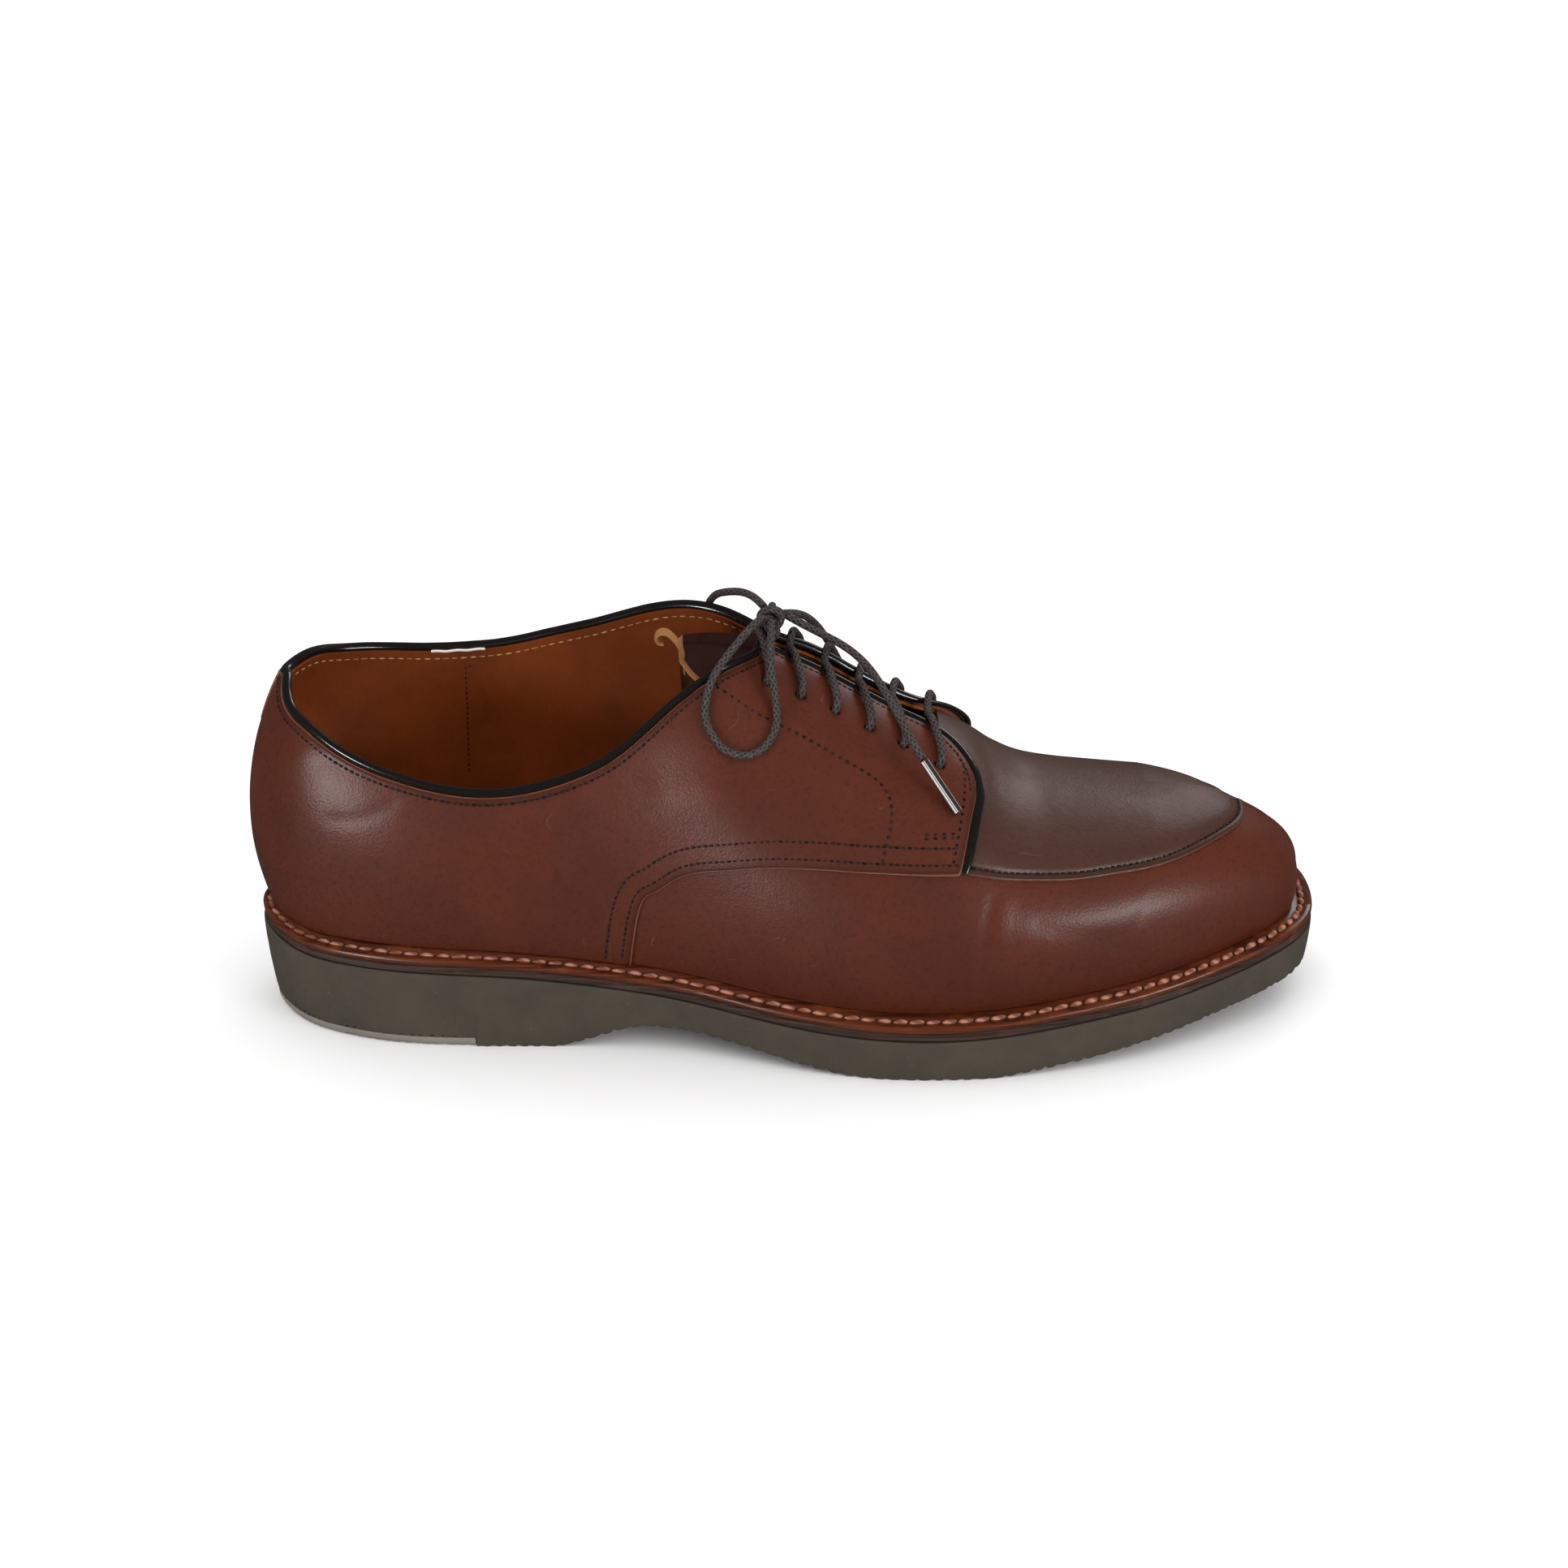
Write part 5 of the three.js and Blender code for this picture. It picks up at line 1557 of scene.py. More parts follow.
@dataclass(frozen=True)
class Braid(Finish):
    """Round waxed lace: crossing strands, painted shade in the hollows between them, pale flecks of wax."""

    fleck: str = "#6f6763"
    # Darker colour of the hollows between the strands: painted shade.
    hollow_shade: str = "#1b1614"
    strand_mm: float = 1.15
    strands: int = 5
    depth_mm: float = 0.16
    wax: Grain = Grain(0.6, 3.0)

    def clouds(self) -> tuple[Cloud, ...]:
        """Flecks of wax."""
        return (Cloud(self.fleck, self.wax, 0.56, 0.72, 0.7),)

    def reliefs(self) -> tuple[Relief, ...]:
        """The wax's own relief."""
        return (Relief(self.wax, 0.05),)

    def ground(self, tree: NodeTree, place: Node) -> dict[str, object]:
        """The crossing strands, from the lace's own length and turn.

        Args:
            tree: The material's nodes.
            place: Place on the piece.

        Returns:
            Colour and relief.
        """
        angles = []
        for name, rate in (("run", math.pi / self.strand_mm), ("turn", math.pi * self.strands)):
            kept = add_node(tree, "ShaderNodeAttribute", attribute_name=name)
            angles.append(add_node(tree, "ShaderNodeMath", {0: kept, 1: rate}, operation="MULTIPLY"))
        waves = []
        for way in ("ADD", "SUBTRACT"):
            slant = add_node(tree, "ShaderNodeMath", dict(enumerate(angles)), operation=way)
            waves.append(add_node(tree, "ShaderNodeMath", {0: slant}, operation="SINE"))
        weave = add_node(tree, "ShaderNodeMath", dict(enumerate(waves)), operation="MAXIMUM")
        share = add_node(tree, "ShaderNodeMapRange", {"Value": weave, "From Min": -0.6, "From Max": 0.6})
        # The hollows between the strands keep the darker colour: painted shade.
        tones = {0: share, 6: linear(self.hollow_shade), 7: linear(self.colour)}
        bump = {"Height": weave, "Distance": self.depth_mm * MILLI, "Strength": 1.0}
        return {
            "Base Color": add_node(tree, "ShaderNodeMix", tones, data_type="RGBA"),
            "Normal": add_node(tree, "ShaderNodeBump", bump),
        }


@dataclass(frozen=True)
class Clear(Finish):
    """Clear plastic sleeve crimped on the lace, drawn opaque: the dark cord between pale lines, painted
    highlights.
    """

    # Colour of the pale lines along the sleeve: painted highlights.
    line: str = "#b9b6b2"
    lines: float = 5.0

    def reliefs(self) -> tuple[Relief, ...]:
        """Faint waves from the crimping."""
        return (Relief(Grain(2.0, 1.0), 0.05),)

    def ground(self, tree: NodeTree, place: Node) -> dict[str, object]:
        """The pale lines, painted highlights on the sleeve.

        Args:
            tree: The material's nodes.
            place: Place on the piece.

        Returns:
            Colour.
        """
        turn = add_node(tree, "ShaderNodeAttribute", attribute_name="turn")
        angle = add_node(tree, "ShaderNodeMath", {0: turn, 1: self.lines * math.pi}, operation="MULTIPLY")
        around = add_node(tree, "ShaderNodeMath", {0: angle}, operation="SINE")
        pale = add_node(tree, "ShaderNodeMapRange", {"Value": around, "From Min": 0.72, "From Max": 0.96})
        # The pale lines are painted highlights of the clear sleeve.
        tones = {0: pale, 6: linear(self.colour), 7: linear(self.line)}
        return {"Base Color": add_node(tree, "ShaderNodeMix", tones, data_type="RGBA")}


# Waxed reddish calf: broad soft highlights, darker where the edges were burnished.
UPPER_LEATHER = Leather(
    "waxed_calf", "#4e2112", 0.46, 0.3, 0.27, 0.2, shade="#2c110a", worn="#7a4c3a", rim="#7d4f3c"
)
# The tongue's face, of the same hide but duller, its colour darkened as painted shade for the shadow under
# the facings.
TONGUE_LEATHER = Leather("dull_waxed_calf_painted_shade", "#26110b", 0.6, 0.0, 0.5, 0.15, shade="#190a06")
# The same hide on the apron, its colour greyed as a painted reflection so that the top of the vamp looks
# cooler.
APRON_LEATHER = Leather(
    "waxed_calf_painted_reflection", "#3f261d", 0.42, 0.2, 0.36, 0.35, shade="#291811", worn="#6a4a3e", rim="#5d3527"
)
# Black glossy rolled binding: thin bright lines along the topline.
BINDING_LEATHER = Leather(
    "black_binding_calf",
    "#100c0b",
    0.24,
    0.6,
    0.10,
    0.5,
    shade="#080606",
    worn="#3a2f2c",
    rim="#100c0b",
    pore_depth_mm=0.01,
    crease=Relief(Grain(5.5, 3.0), 0.05),
)
# Vegetable tanned lining: warm orange with handling stains.
LINING_LEATHER = Suede("tan_lining_leather", "#76350d", 0.6, 0.0, stain="#431c06")
# Raw flesh side of the tongue: pale and matt.
RAW_LEATHER = Suede("raw_flesh_leather", "#8f6238", 0.85, stain="#5f3a1c")
# Oiled welt strip: glossy orange brown on top and on its lip.
WELT_LEATHER = Streaked(
    "oiled_welt_leather", "#59270f", 0.34, 0.35, 0.2, 0.4, streak="#331308", pale="#743a18"
)
# Stained edge of the leather midsole: darker, with long streaks.
MIDSOLE_LEATHER = Streaked(
    "stained_midsole_leather", "#3f2d25", 0.5, 0.1, 0.3, streak="#241711", pale="#58392b"
)
# Grey brown crepe rubber: matt wedge.
SOLE_RUBBER = Rubber("crepe_rubber", "#3a342b", 0.8)
# Harder and paler rubber of the heel lift.
PATCH_RUBBER = Rubber("heel_rubber", "#6f6961", 0.8, mottle="#79746b")
# Thick linen thread of the welt: pinkish tan rope.
WELT_THREAD = Thread("waxed_linen_thread", "#744634", 0.6, light="#a97460")
# Dark thread of the uppers: reads as rows of dark dots.
UPPER_THREAD = Thread("dark_brown_thread", "#0c0706", 0.6, light="#241713", twist_mm=0.3, depth_mm=0.04)
# Pale thread of the lining.
LINING_THREAD = Thread("tan_thread", "#8a6238", 0.6, light="#b08c5c", twist_mm=0.3, depth_mm=0.04)
# Waxed grey brown braid of the lace.
LACE_BRAID = Braid("waxed_braid", "#3f3836", 0.65)
# Clear tips on the lace ends: dark cord between bright lines that are painted highlights.
CLEAR_TIP = Clear("clear_plastic", "#2b2523", 0.08, 1.0, 0.05, 0.5)
# Cut edge of the lining where it is split under the binding: bright orange and fuzzy.
ORANGE_EDGE = Suede("orange_cut_edge", "#a85c17", 0.85, stain="#6d370b")
# White cotton tape under the collar's binding.
COTTON_TAPE = Finish("cotton_tape", "#d8d4cc", 0.9)
# Pale studio paper.
PAPER = Finish("studio_paper", "#f4f4f4", 0.9)


class Workshop:
    """Makes pieces of the shoe and joins them to the frame."""

    def __init__(self) -> None:
        """Starts with no materials."""
        self.materials: dict[Finish, Material] = {}

    def material(self, finish: Finish) -> Material:
        """The material of a finish, built once."""
        if finish not in self.materials:
            self.materials[finish] = finish.material()
        return self.materials[finish]

    def piece(
        self, name: str, mesh: Mesh, finish: Finish, slot: str, *nodes: str, weld: bool = True
    ) -> Object:
        """Makes a piece from a mesh.

        Args:
            name: The piece's name.
            mesh: Its mesh.
            finish: What it is made of.
            slot: The record's material slot.
            nodes: CAD nodes that it stands for.
            weld: Whether points that coincide become one.

        Returns:
            The piece.
        """
        made = make_object(name, mesh, self.material(finish), weld)
        return self.adopt(made, slot, *nodes)

    def adopt(self, made: Object, slot: str, *nodes: str) -> Object:
        """Joins an object to the frame's body and logs it.

        Args:
            made: The object.
            slot: The record's material slot; not used.
            nodes: CAD nodes that it stands for.

        Returns:
            The same object.
        """
        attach(made, "root")
        if nodes:
            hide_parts(*nodes)
        LOG.info("%s: %d faces", made.name, len(made.data.polygons))
        return made


@dataclass(frozen=True)
class Stitch:
    """Size of one kind of stitch, in millimetres."""

    pitch: float
    length: float
    width: float
    height: float
    slant: float = 0.0


class Sewing:
    """Rows of stitches of one thread, set on their points by a geometry node tree."""

    vary: float = 0.09
    seed: int = 7

    def __init__(self, name: str, stitch: Stitch) -> None:
        """Starts with no rows.

        Args:
            name: The piece's name.
            stitch: Size of its stitches.
        """
        self.name = name
        self.stitch = stitch
        self.points: list[np.ndarray] = []
        self.runs: list[np.ndarray] = []
        self.outs: list[np.ndarray] = []

    def row(self, line: Line) -> None:
        """Adds a row of stitches.

        Args:
            line: The line that they lie on.
        """
        length = run_length(line.points)
        count = max(int(length[-1] / self.stitch.pitch), 1)
        at = (np.arange(count) + 0.5) * length[-1] / count
        reach = self.stitch.length / 2.0
        ahead = read_along(line.points, length, at + reach)
        runs = unit(ahead - read_along(line.points, length, at - reach))
        outs = unit(read_along(line.outs, length, at))
        side = np.cross(outs, runs)
        self.points.append(read_along(line.points, length, at))
        self.runs.append(unit(runs + side * math.tan(self.stitch.slant)))
        self.outs.append(outs)

    @staticmethod
    def tree() -> NodeTree:
        """The node tree that sets a thread on each point of a row.

        Returns:
            The tree, built once.
        """
        if "stitch_rows" in bpy.data.node_groups:
            return bpy.data.node_groups["stitch_rows"]
        tree = bpy.data.node_groups.new("stitch_rows", "GeometryNodeTree")
        kinds = (("Geometry", "Geometry"), ("Size", "Vector"), ("Vary", "Float"), ("Seed", "Int"))
        for name, kind in (*kinds, ("Material", "Material")):
            tree.interface.new_socket(name, in_out="INPUT", socket_type=f"NodeSocket{kind}")
        tree.interface.new_socket("Geometry", in_out="OUTPUT", socket_type="NodeSocketGeometry")
        given = tree.nodes.new("NodeGroupInput").outputs
        axes = {}
        for axis, name in (("Primary Axis", "stitch_run"), ("Secondary Axis", "stitch_out")):
            kept = add_node(tree, "GeometryNodeInputNamedAttribute", {"Name": name}, data_type="FLOAT_VECTOR")
            axes[axis] = kept.outputs["Attribute"]
        facing = add_node(tree, "FunctionNodeAxesToRotation", axes, primary_axis="X", secondary_axis="Z")
        ball = add_node(tree, "GeometryNodeMeshUVSphere", {"Segments": 8, "Rings": 6, "Radius": 0.5})
        thread = add_node(tree, "GeometryNodeTransform", {"Geometry": ball, "Scale": given["Size"]})
        least = add_node(tree, "ShaderNodeMath", {0: 1.0, 1: given["Vary"]}, operation="SUBTRACT")
        most = add_node(tree, "ShaderNodeMath", {0: 1.0, 1: given["Vary"]}, operation="ADD")
        spread = add_node(tree, "FunctionNodeRandomValue", {2: least, 3: most, "Seed": given["Seed"]})
        spots = {
            "Points": given["Geometry"],
            "Instance": thread,
            "Rotation": facing,
            "Scale": spread.outputs[1],
        }
        rows = add_node(tree, "GeometryNodeInstanceOnPoints", spots)
        solid = add_node(tree, "GeometryNodeRealizeInstances", {"Geometry": rows})
        soft = add_node(tree, "GeometryNodeSetShadeSmooth", {"Geometry": solid})
        dressed = add_node(tree, "GeometryNodeSetMaterial", {"Geometry": soft, "Material": given["Material"]})
        add_node(tree, "NodeGroupOutput", {"Geometry": dressed})
        return tree

    def make(self, workshop: Workshop, finish: Finish, slot: str) -> Object:
        """Makes the rows as one piece.

        Args:
            workshop: Where materials come from.
            finish: The thread.
            slot: The record's material slot.

        Returns:
            The piece.
        """
        data = bpy.data.meshes.new(self.name)
        data.from_pydata(to_metres(np.concatenate(self.points)).tolist(), [], [])
        for name, values in (("stitch_run", self.runs), ("stitch_out", self.outs)):
            attribute = data.attributes.new(name, "FLOAT_VECTOR", "POINT")
            attribute.data.foreach_set("vector", np.concatenate(values).astype(np.float32).ravel())
        made = linked(self.name, data)
        tree = self.tree()
        modifier = made.modifiers.new("rows", "NODES")
        modifier.node_group = tree
        size = (self.stitch.length * MILLI, self.stitch.width * MILLI, self.stitch.height * MILLI)
        chosen = {"Size": size, "Vary": self.vary, "Seed": self.seed, "Material": workshop.material(finish)}
        for item in tree.interface.items_tree:
            if item.in_out == "INPUT" and item.name in chosen:
                modifier[item.identifier] = chosen[item.name]
        solid = settled(made)
        made.modifiers.remove(modifier)
        made.data = solid
        return workshop.adopt(made, slot)


@dataclass
class Crease:
    """A soft trough or ridge placed on the upper: stops are distance from the back and height."""

    side: Side
    stops: Sequence[tuple[float, float]]
    depth: float
    width: float

    def line(self) -> np.ndarray:
        """Its points on the last."""
        return surface_line(self.side, self.stops, 0.0).points


def smooth_stops(side: Side, stops: Sequence[tuple[float, float]]) -> Grid:
    """Rounds and heights of a smooth line through stops.

    Args:
        side: Side of the shoe.
        stops: Distances from the back of the sole and heights.

    Returns:
        The line's places.
    """
    fine = spline_through(np.array([(distance / HEIGHT_SPAN, height) for distance, height in stops]), 1.0)
    return Grid(side.value * station_from_back(fine[:, 0] * HEIGHT_SPAN), fine[:, 1])


def surface_line(side: Side, stops: Sequence[tuple[float, float]], lift: float) -> Line:
    """Smooth line over the upper.

    Args:
        side: Side of the shoe.
        stops: Distances from the back of the sole and heights that it passes through.
        lift: How far it stands off the last.

    Returns:
        The line.
    """
    rounds, heights = smooth_stops(side, stops)
    return Line(LAST.offset(rounds, heights, lift), LAST.normal(rounds, heights))


def even(lift: float) -> Callable:
    """A face that stands off the last by the same distance everywhere."""
    return lambda rounds, heights: np.full_like(heights, lift)


def edge_line(grid: Grid, inset: float, inward: float, lift: Callable) -> Line:
    """Line that follows an edge at a distance from it.

    Args:
        grid: Rounds and heights of the edge.
        inset: Distance from the edge over the surface.
        inward: Sign of the way into the panel.
        lift: Function of rounds and heights for how far the line stands off the last.

    Returns:
        The line, without the places that came too near to the edge in its corners.
    """
    points = LAST.point(grid.rounds, grid.heights)
    run = unit(np.gradient(points, axis=0))
    move = unit(np.cross(LAST.normal(grid.rounds, grid.heights), run)) * inset * inward
    rounds, heights = LAST.slide(grid.rounds, grid.heights, move)
    found = LAST.point(rounds, heights)
    clear = nearest(found, densely(points, 0.4)) > inset * 0.93
    rounds, heights = rounds[clear], heights[clear]
    return Line(LAST.offset(rounds, heights, lift(rounds, heights)), LAST.normal(rounds, heights))


@dataclass
class Upper:
    """The leather upper: skirt, apron, quarters, heel tab, lining, binding and their sewing."""

    workshop: Workshop
    roll: float = 0.55
    skirt_thickness: float = 0.95
    lining_thickness: float = 0.9
    row_insets: tuple[float, float] = (2.7, 7.5)
    apron_row_inset: float = 2.1
    topline_row_inset: float = 2.0
    facing_row: Sequence[tuple[float, float]] = (
        (129.0, 0.722),
        (136.0, 0.706),
        (144.0, 0.703),
        (152.5, 0.706),
        (162.7, 0.695),
        (171.8, 0.683),
        (178.6, 0.672),
        (182.2, 0.655),
        (184.0, 0.63),
        (184.5, 0.598),
        (184.1, 0.56),
        (182.8, 0.52),
        (181.6, 0.472),
    )
    front_row: Sequence[tuple[float, float]] = (
        (202.6, 0.835),
        (204.6, 0.792),
        (205.1, 0.726),
        (204.6, 0.654),
        (203.5, 0.584),
        (202.0, 0.505),
    )
    bartack: Sequence[tuple[float, float]] = ((193.2, 0.566), (198.0, 0.578), (203.2, 0.591))
    bartack_gap: float = 0.0105
    creases: Sequence[Crease] = (
        Crease(Side.LATERAL, ((214.0, 0.44), (212.0, 0.34), (211.0, 0.2)), -0.22, 1.6),
        Crease(Side.LATERAL, ((218.5, 0.46), (217.0, 0.33), (217.0, 0.24)), 0.14, 2.2),
        Crease(Side.LATERAL, ((262.0, 0.42), (258.0, 0.34), (255.0, 0.24)), -0.10, 1.5),
        Crease(Side.LATERAL, ((228.0, 0.36), (240.0, 0.30), (252.0, 0.27)), -0.14, 2.6),
        Crease(Side.LATERAL, ((176.0, 0.735), (172.0, 0.66), (164.0, 0.60)), -0.16, 1.4),
        Crease(Side.LATERAL, ((188.0, 0.68), (190.0, 0.63), (189.0, 0.57)), -0.12, 1.2),
        Crease(Side.LATERAL, ((150.0, 0.60), (136.0, 0.54), (120.0, 0.50)), -0.30, 5.0),
        Crease(Side.LATERAL, ((96.0, 0.50), (76.0, 0.46), (58.0, 0.46)), -0.35, 5.5),
        Crease(Side.LATERAL, ((30.0, 0.62), (18.0, 0.50), (10.0, 0.42)), 0.25, 3.5),
        Crease(Side.LATERAL, ((44.0, 0.42), (34.0, 0.36), (26.0, 0.34)), -0.18, 1.8),
        Crease(Side.MEDIAL, ((214.0, 0.46), (211.0, 0.34), (210.0, 0.2)), -0.25, 1.8),
        Crease(Side.MEDIAL, ((222.0, 0.46), (219.0, 0.33), (219.0, 0.22)), -0.18, 1.8),
        Crease(Side.MEDIAL, ((132.0, 0.50), (112.0, 0.42), (92.0, 0.40)), -0.35, 5.0),
        Crease(Side.LATERAL, ((213.0, 0.98), (216.0, 0.80), (214.0, 0.62)), -0.20, 3.0),
        Crease(Side.LATERAL, ((226.0, 0.97), (230.0, 0.80), (229.0, 0.66)), -0.16, 3.5),
        Crease(Side.MEDIAL, ((213.0, 0.98), (215.0, 0.82), (213.0, 0.66)), -0.20, 3.0),
    )
    grooves: list[tuple[np.ndarray, float, float]] = field(default_factory=list)

    def relief(self, points: np.ndarray) -> np.ndarray:
        """Height of the listed creases, grooves and unevenness.

        Args:
            points: Places on the leather.

        Returns:
            Heights in millimetres.
        """
        lift = undulation(points)
        for line, depth, width in self.grooves:
            low, high = line.min(axis=0) - 3.0 * width, line.max(axis=0) + 3.0 * width
            near = ((points > low) & (points < high)).all(axis=-1)
            if near.any():
                lift[near] += depth * np.exp(-((nearest(points[near], line) / width) ** 2))
        return lift

    def build(self) -> None:
        """Builds every piece of the upper."""
        self.grooves = [(densely(crease.line(), 0.8), crease.depth, crease.width) for crease in self.creases]
        marks = (THROAT_END, 199.0, 122.0, QUARTER_FOOT)
        front, corner, waist, foot = (-float(station_from_back(at)) for at in marks)
        stops = ((corner, 0.35), (waist, 1.2), (foot - 1e-5, 0.22), (foot, 0.2), (0.0, 1.5))
        self.quarter_rounds = both_ways(columns(front, *stops))
        self.foot = quarter_foot(self.quarter_rounds)
        self.top = np.maximum(quarter_top(self.quarter_rounds), self.foot)
        self.sew_quarters()
        self.make_quarters()
        self.make_skirt()
        self.make_apron()
        self.make_heel_tab()
        self.make_lining()
        self.make_binding()

    def quarter_face(self, rounds: np.ndarray, heights: np.ndarray) -> np.ndarray:
        """How far the quarters' outer face stands off the last."""
        return QUARTER_STEP + quarter_lift(rounds, heights)

    def quarter_edges(self) -> tuple[list[Grid], Grid]:
        """Edges of the quarters.

        Returns:
            Their lower edges, lateral and medial, and their whole upper edge.
        """
        ahead = along_at(np.abs(self.quarter_rounds)) * SOLE_LENGTH > QUARTER_FOOT
        sides = (ahead & (self.quarter_rounds < 0.0), ahead & (self.quarter_rounds > 0.0))
        lower = [Grid(self.quarter_rounds[pick], self.foot[pick]) for pick in sides]
        return lower, Grid(self.quarter_rounds, self.top)

    def sew_quarters(self) -> None:
        """Sews the rows along the quarters' edges and over their facings."""
        sewing = Sewing("quarter_stitches", Stitch(1.8, 1.5, 0.74, 0.42))
        lower, upper = self.quarter_edges()
        for edge in lower:
            below = along_at(np.abs(edge.rounds)) * SOLE_LENGTH < QUARTER_CORNER
            edge = Grid(edge.rounds[below], edge.heights[below])
            for inset in self.row_insets:
                line = edge_line(edge, inset, -1.0, self.quarter_face)
                sewing.row(line)
                self.grooves.append((densely(line.points, 0.5), -0.20, 0.45))
        line = edge_line(upper, self.topline_row_inset, 1.0, self.quarter_face)
        sewing.row(line)
        facing = Sewing("facing_stitches", Stitch(2.3, 1.15, 0.78, 0.36))
        for side in BOTH_SIDES:
            facing.row(self.raised(side, self.facing_row))
            facing.row(self.raised(side, self.front_row))
            for drop in (0.0, self.bartack_gap):
                stops = [(distance, height - drop) for distance, height in self.bartack]
                facing.row(self.raised(side, stops))
        sewing.make(self.workshop, UPPER_THREAD, "upper_leather")
        facing.make(self.workshop, UPPER_THREAD, "upper_leather")

    def raised(self, side: Side, stops: Sequence[tuple[float, float]]) -> Line:
        """Line on the quarters' outer face, as high on either side in share of the edge over it.

        Args:
            side: Side of the shoe.
            stops: Distances from the back of the sole and heights on the lateral side.

        Returns:
            The line.
        """
        rounds, heights = smooth_stops(side, stops)
        heights = heights * quarter_top(rounds) / quarter_top(-np.abs(rounds))
        heights = np.minimum(heights, quarter_top(rounds) - 0.02)
        lift = self.quarter_face(rounds, heights) + 0.08
        return Line(LAST.offset(rounds, heights, lift), LAST.normal(rounds, heights))

    def make_quarters(self) -> None:
        """Quarters in one piece round the heel, with the holes cut through the facings."""
        low = (0.0, 0.15, 0.4, 0.8, 1.4, 2.0, 2.4, 2.7, 3.0, 3.4, 4.2, 5.2, 6.2, 6.9, 7.2, 7.5, 7.8, 8.3, 9.2)
        high = (0.0, 0.2, 0.6, 1.2, 2.0)
        grid = rows_between(self.quarter_rounds, self.foot, self.top, low, high, 30)
        at = LAST.point(*grid)
        lower, upper = self.quarter_edges()
        edges = [densely(LAST.point(*edge), 0.25) for edge in (*lower, upper)]
        edge = nearest(at, np.concatenate(edges))
        back_seam = densely(LAST.point(np.zeros(60), np.linspace(0.0, 1.0, 60)), 0.5)
        seam = np.exp(-((nearest(at, back_seam) / 0.5) ** 2))
        face = self.quarter_face(*grid)
        lift = face - rolled(edge, self.roll) + self.relief(at) * smooth(edge, 0.0, 3.0) - 0.35 * seam
        under = LAST.offset(*grid, face - QUARTER_STEP - QUARTER_DEPTH)
        mesh = wall(LAST.offset(*grid, lift), under, {"edge": edge})
        self.cut_holes(self.workshop.piece("quarters", mesh, UPPER_LEATHER, "upper_leather", "upper"))

    def cut_holes(self, quarters: Object) -> None:
        """Cuts the lacing holes through the facings.

        Args:
            quarters: The piece to cut.
        """
        cutters = []
        for side in BOTH_SIDES:
            for distance in lace_pairs():
                ends = [facing_point(side, distance, EYELET_SETBACK, above) for above in (-7.0, 5.0)]
                path = np.array(ends)
                outs = steady_outs(path, np.array([1.0, 0.0, 0.0]))
                cutters.append(sweep(path, outs, EYELET_DIAMETER, EYELET_DIAMETER, 14))
        tool = make_object("hole_cutter", joined(cutters), self.workshop.material(UPPER_LEATHER))
        cut = quarters.modifiers.new("holes", "BOOLEAN")
        cut.operation = "DIFFERENCE"
        cut.solver = "EXACT"
        cut.object = tool
        solid = settled(quarters)
        quarters.modifiers.remove(cut)
        quarters.data = solid
        bpy.data.objects.remove(tool)

    def make_skirt(self) -> None:
        """Skirt of the vamp below the apron, split by a raised seam at the toe."""
        back = float(station_from_back(QUARTER_FOOT - 6.0))
        near_toe = float(station_from_back(SOLE_LENGTH - 0.4))
        waist = float(station_from_back(120.0))
        rounds = round_the_toe(columns(-back, (-waist, 1.0), (-near_toe, 1.1), (-1.0, 0.22)))
        along = along_at(np.abs(LAST.wrap(rounds)))
        distance = along * SOLE_LENGTH
        share = np.clip(LAST.edge_share((distance + 6.0) / SOLE_LENGTH), 0.0, 1.0)
        tucked = LAST.height_at_level(rounds, QUARTER_EDGE_HEIGHT * share + 6.0)
        ahead = apron_foot(rounds) + 0.05
        top = mix(tucked, ahead, smooth(distance, VAMP_BACK - VAMP_RISE, VAMP_BACK + 2.0))
        grid = rows_between(rounds, np.zeros_like(rounds), top, (0.0, 1.0), (0.0, 1.0), 36)
        at = LAST.point(*grid)
        tip = nearest(at, densely(LAST.point(np.full(80, -1.0), np.linspace(0.0, 1.0, 80)), 0.3))
        seam = 0.55 * np.exp(-(((tip - 1.15) / 0.62) ** 2)) - 0.75 * np.exp(-((tip / 0.42) ** 2))
        under = LAST.offset(*grid, -self.skirt_thickness)
        marks = {"edge": np.minimum(0.4 + 2.2 * tip, 9.0)}
        mesh = wall(LAST.offset(*grid, self.relief(at) + seam), under, marks)
        self.workshop.piece("vamp_skirt", mesh, UPPER_LEATHER, "upper_leather", "upper")

    def make_apron(self) -> None:
        """Raised apron from under the facings to the toe, with a stitched groove inside its edge."""
        back = float(station_from_back(VAMP_BACK + 1.5))
        near_toe = float(station_from_back(SOLE_LENGTH - 3.0))
        rounds = round_the_toe(columns(-back, (-near_toe, 1.1), (-1.0, 1.0)))
        foot = apron_foot(rounds)
        rim = Grid(rounds, foot)
        line = edge_line(rim, self.apron_row_inset, 1.0, even(APRON_STEP))
        sewing = Sewing("apron_stitches", Stitch(1.9, 1.5, 0.6, 0.4))
        sewing.row(Line(line.points - line.outs * 0.28, line.outs))
        sewing.make(self.workshop, UPPER_THREAD, "upper_leather")
        low = (0.0, 0.12, 0.3, 0.6, 1.0, 1.4, 1.7, 1.9, 2.1, 2.3, 2.5, 2.8, 3.4, 4.4)
        grid = rows_between(rounds, foot, np.ones_like(rounds), low, (0.0, 0.5), 30)
        at = LAST.point(*grid)
        edge = nearest(at, densely(LAST.point(*rim), 0.25))
        groove = -0.5 * np.exp(-(((edge - self.apron_row_inset) / 0.5) ** 2))
        swell = 0.35 * smooth(edge, 2.6, 6.0) * (1.0 - smooth(edge, 6.0, 16.0))
        lift = APRON_STEP - rolled(edge, 0.35) + groove + swell + self.relief(at) * smooth(edge, 0.5, 5.0)
        under = LAST.offset(*grid, -self.skirt_thickness)
        mesh = wall(LAST.offset(*grid, lift), under, {"edge": edge})
        self.workshop.piece("apron", mesh, APRON_LEATHER, "upper_leather", "upper")

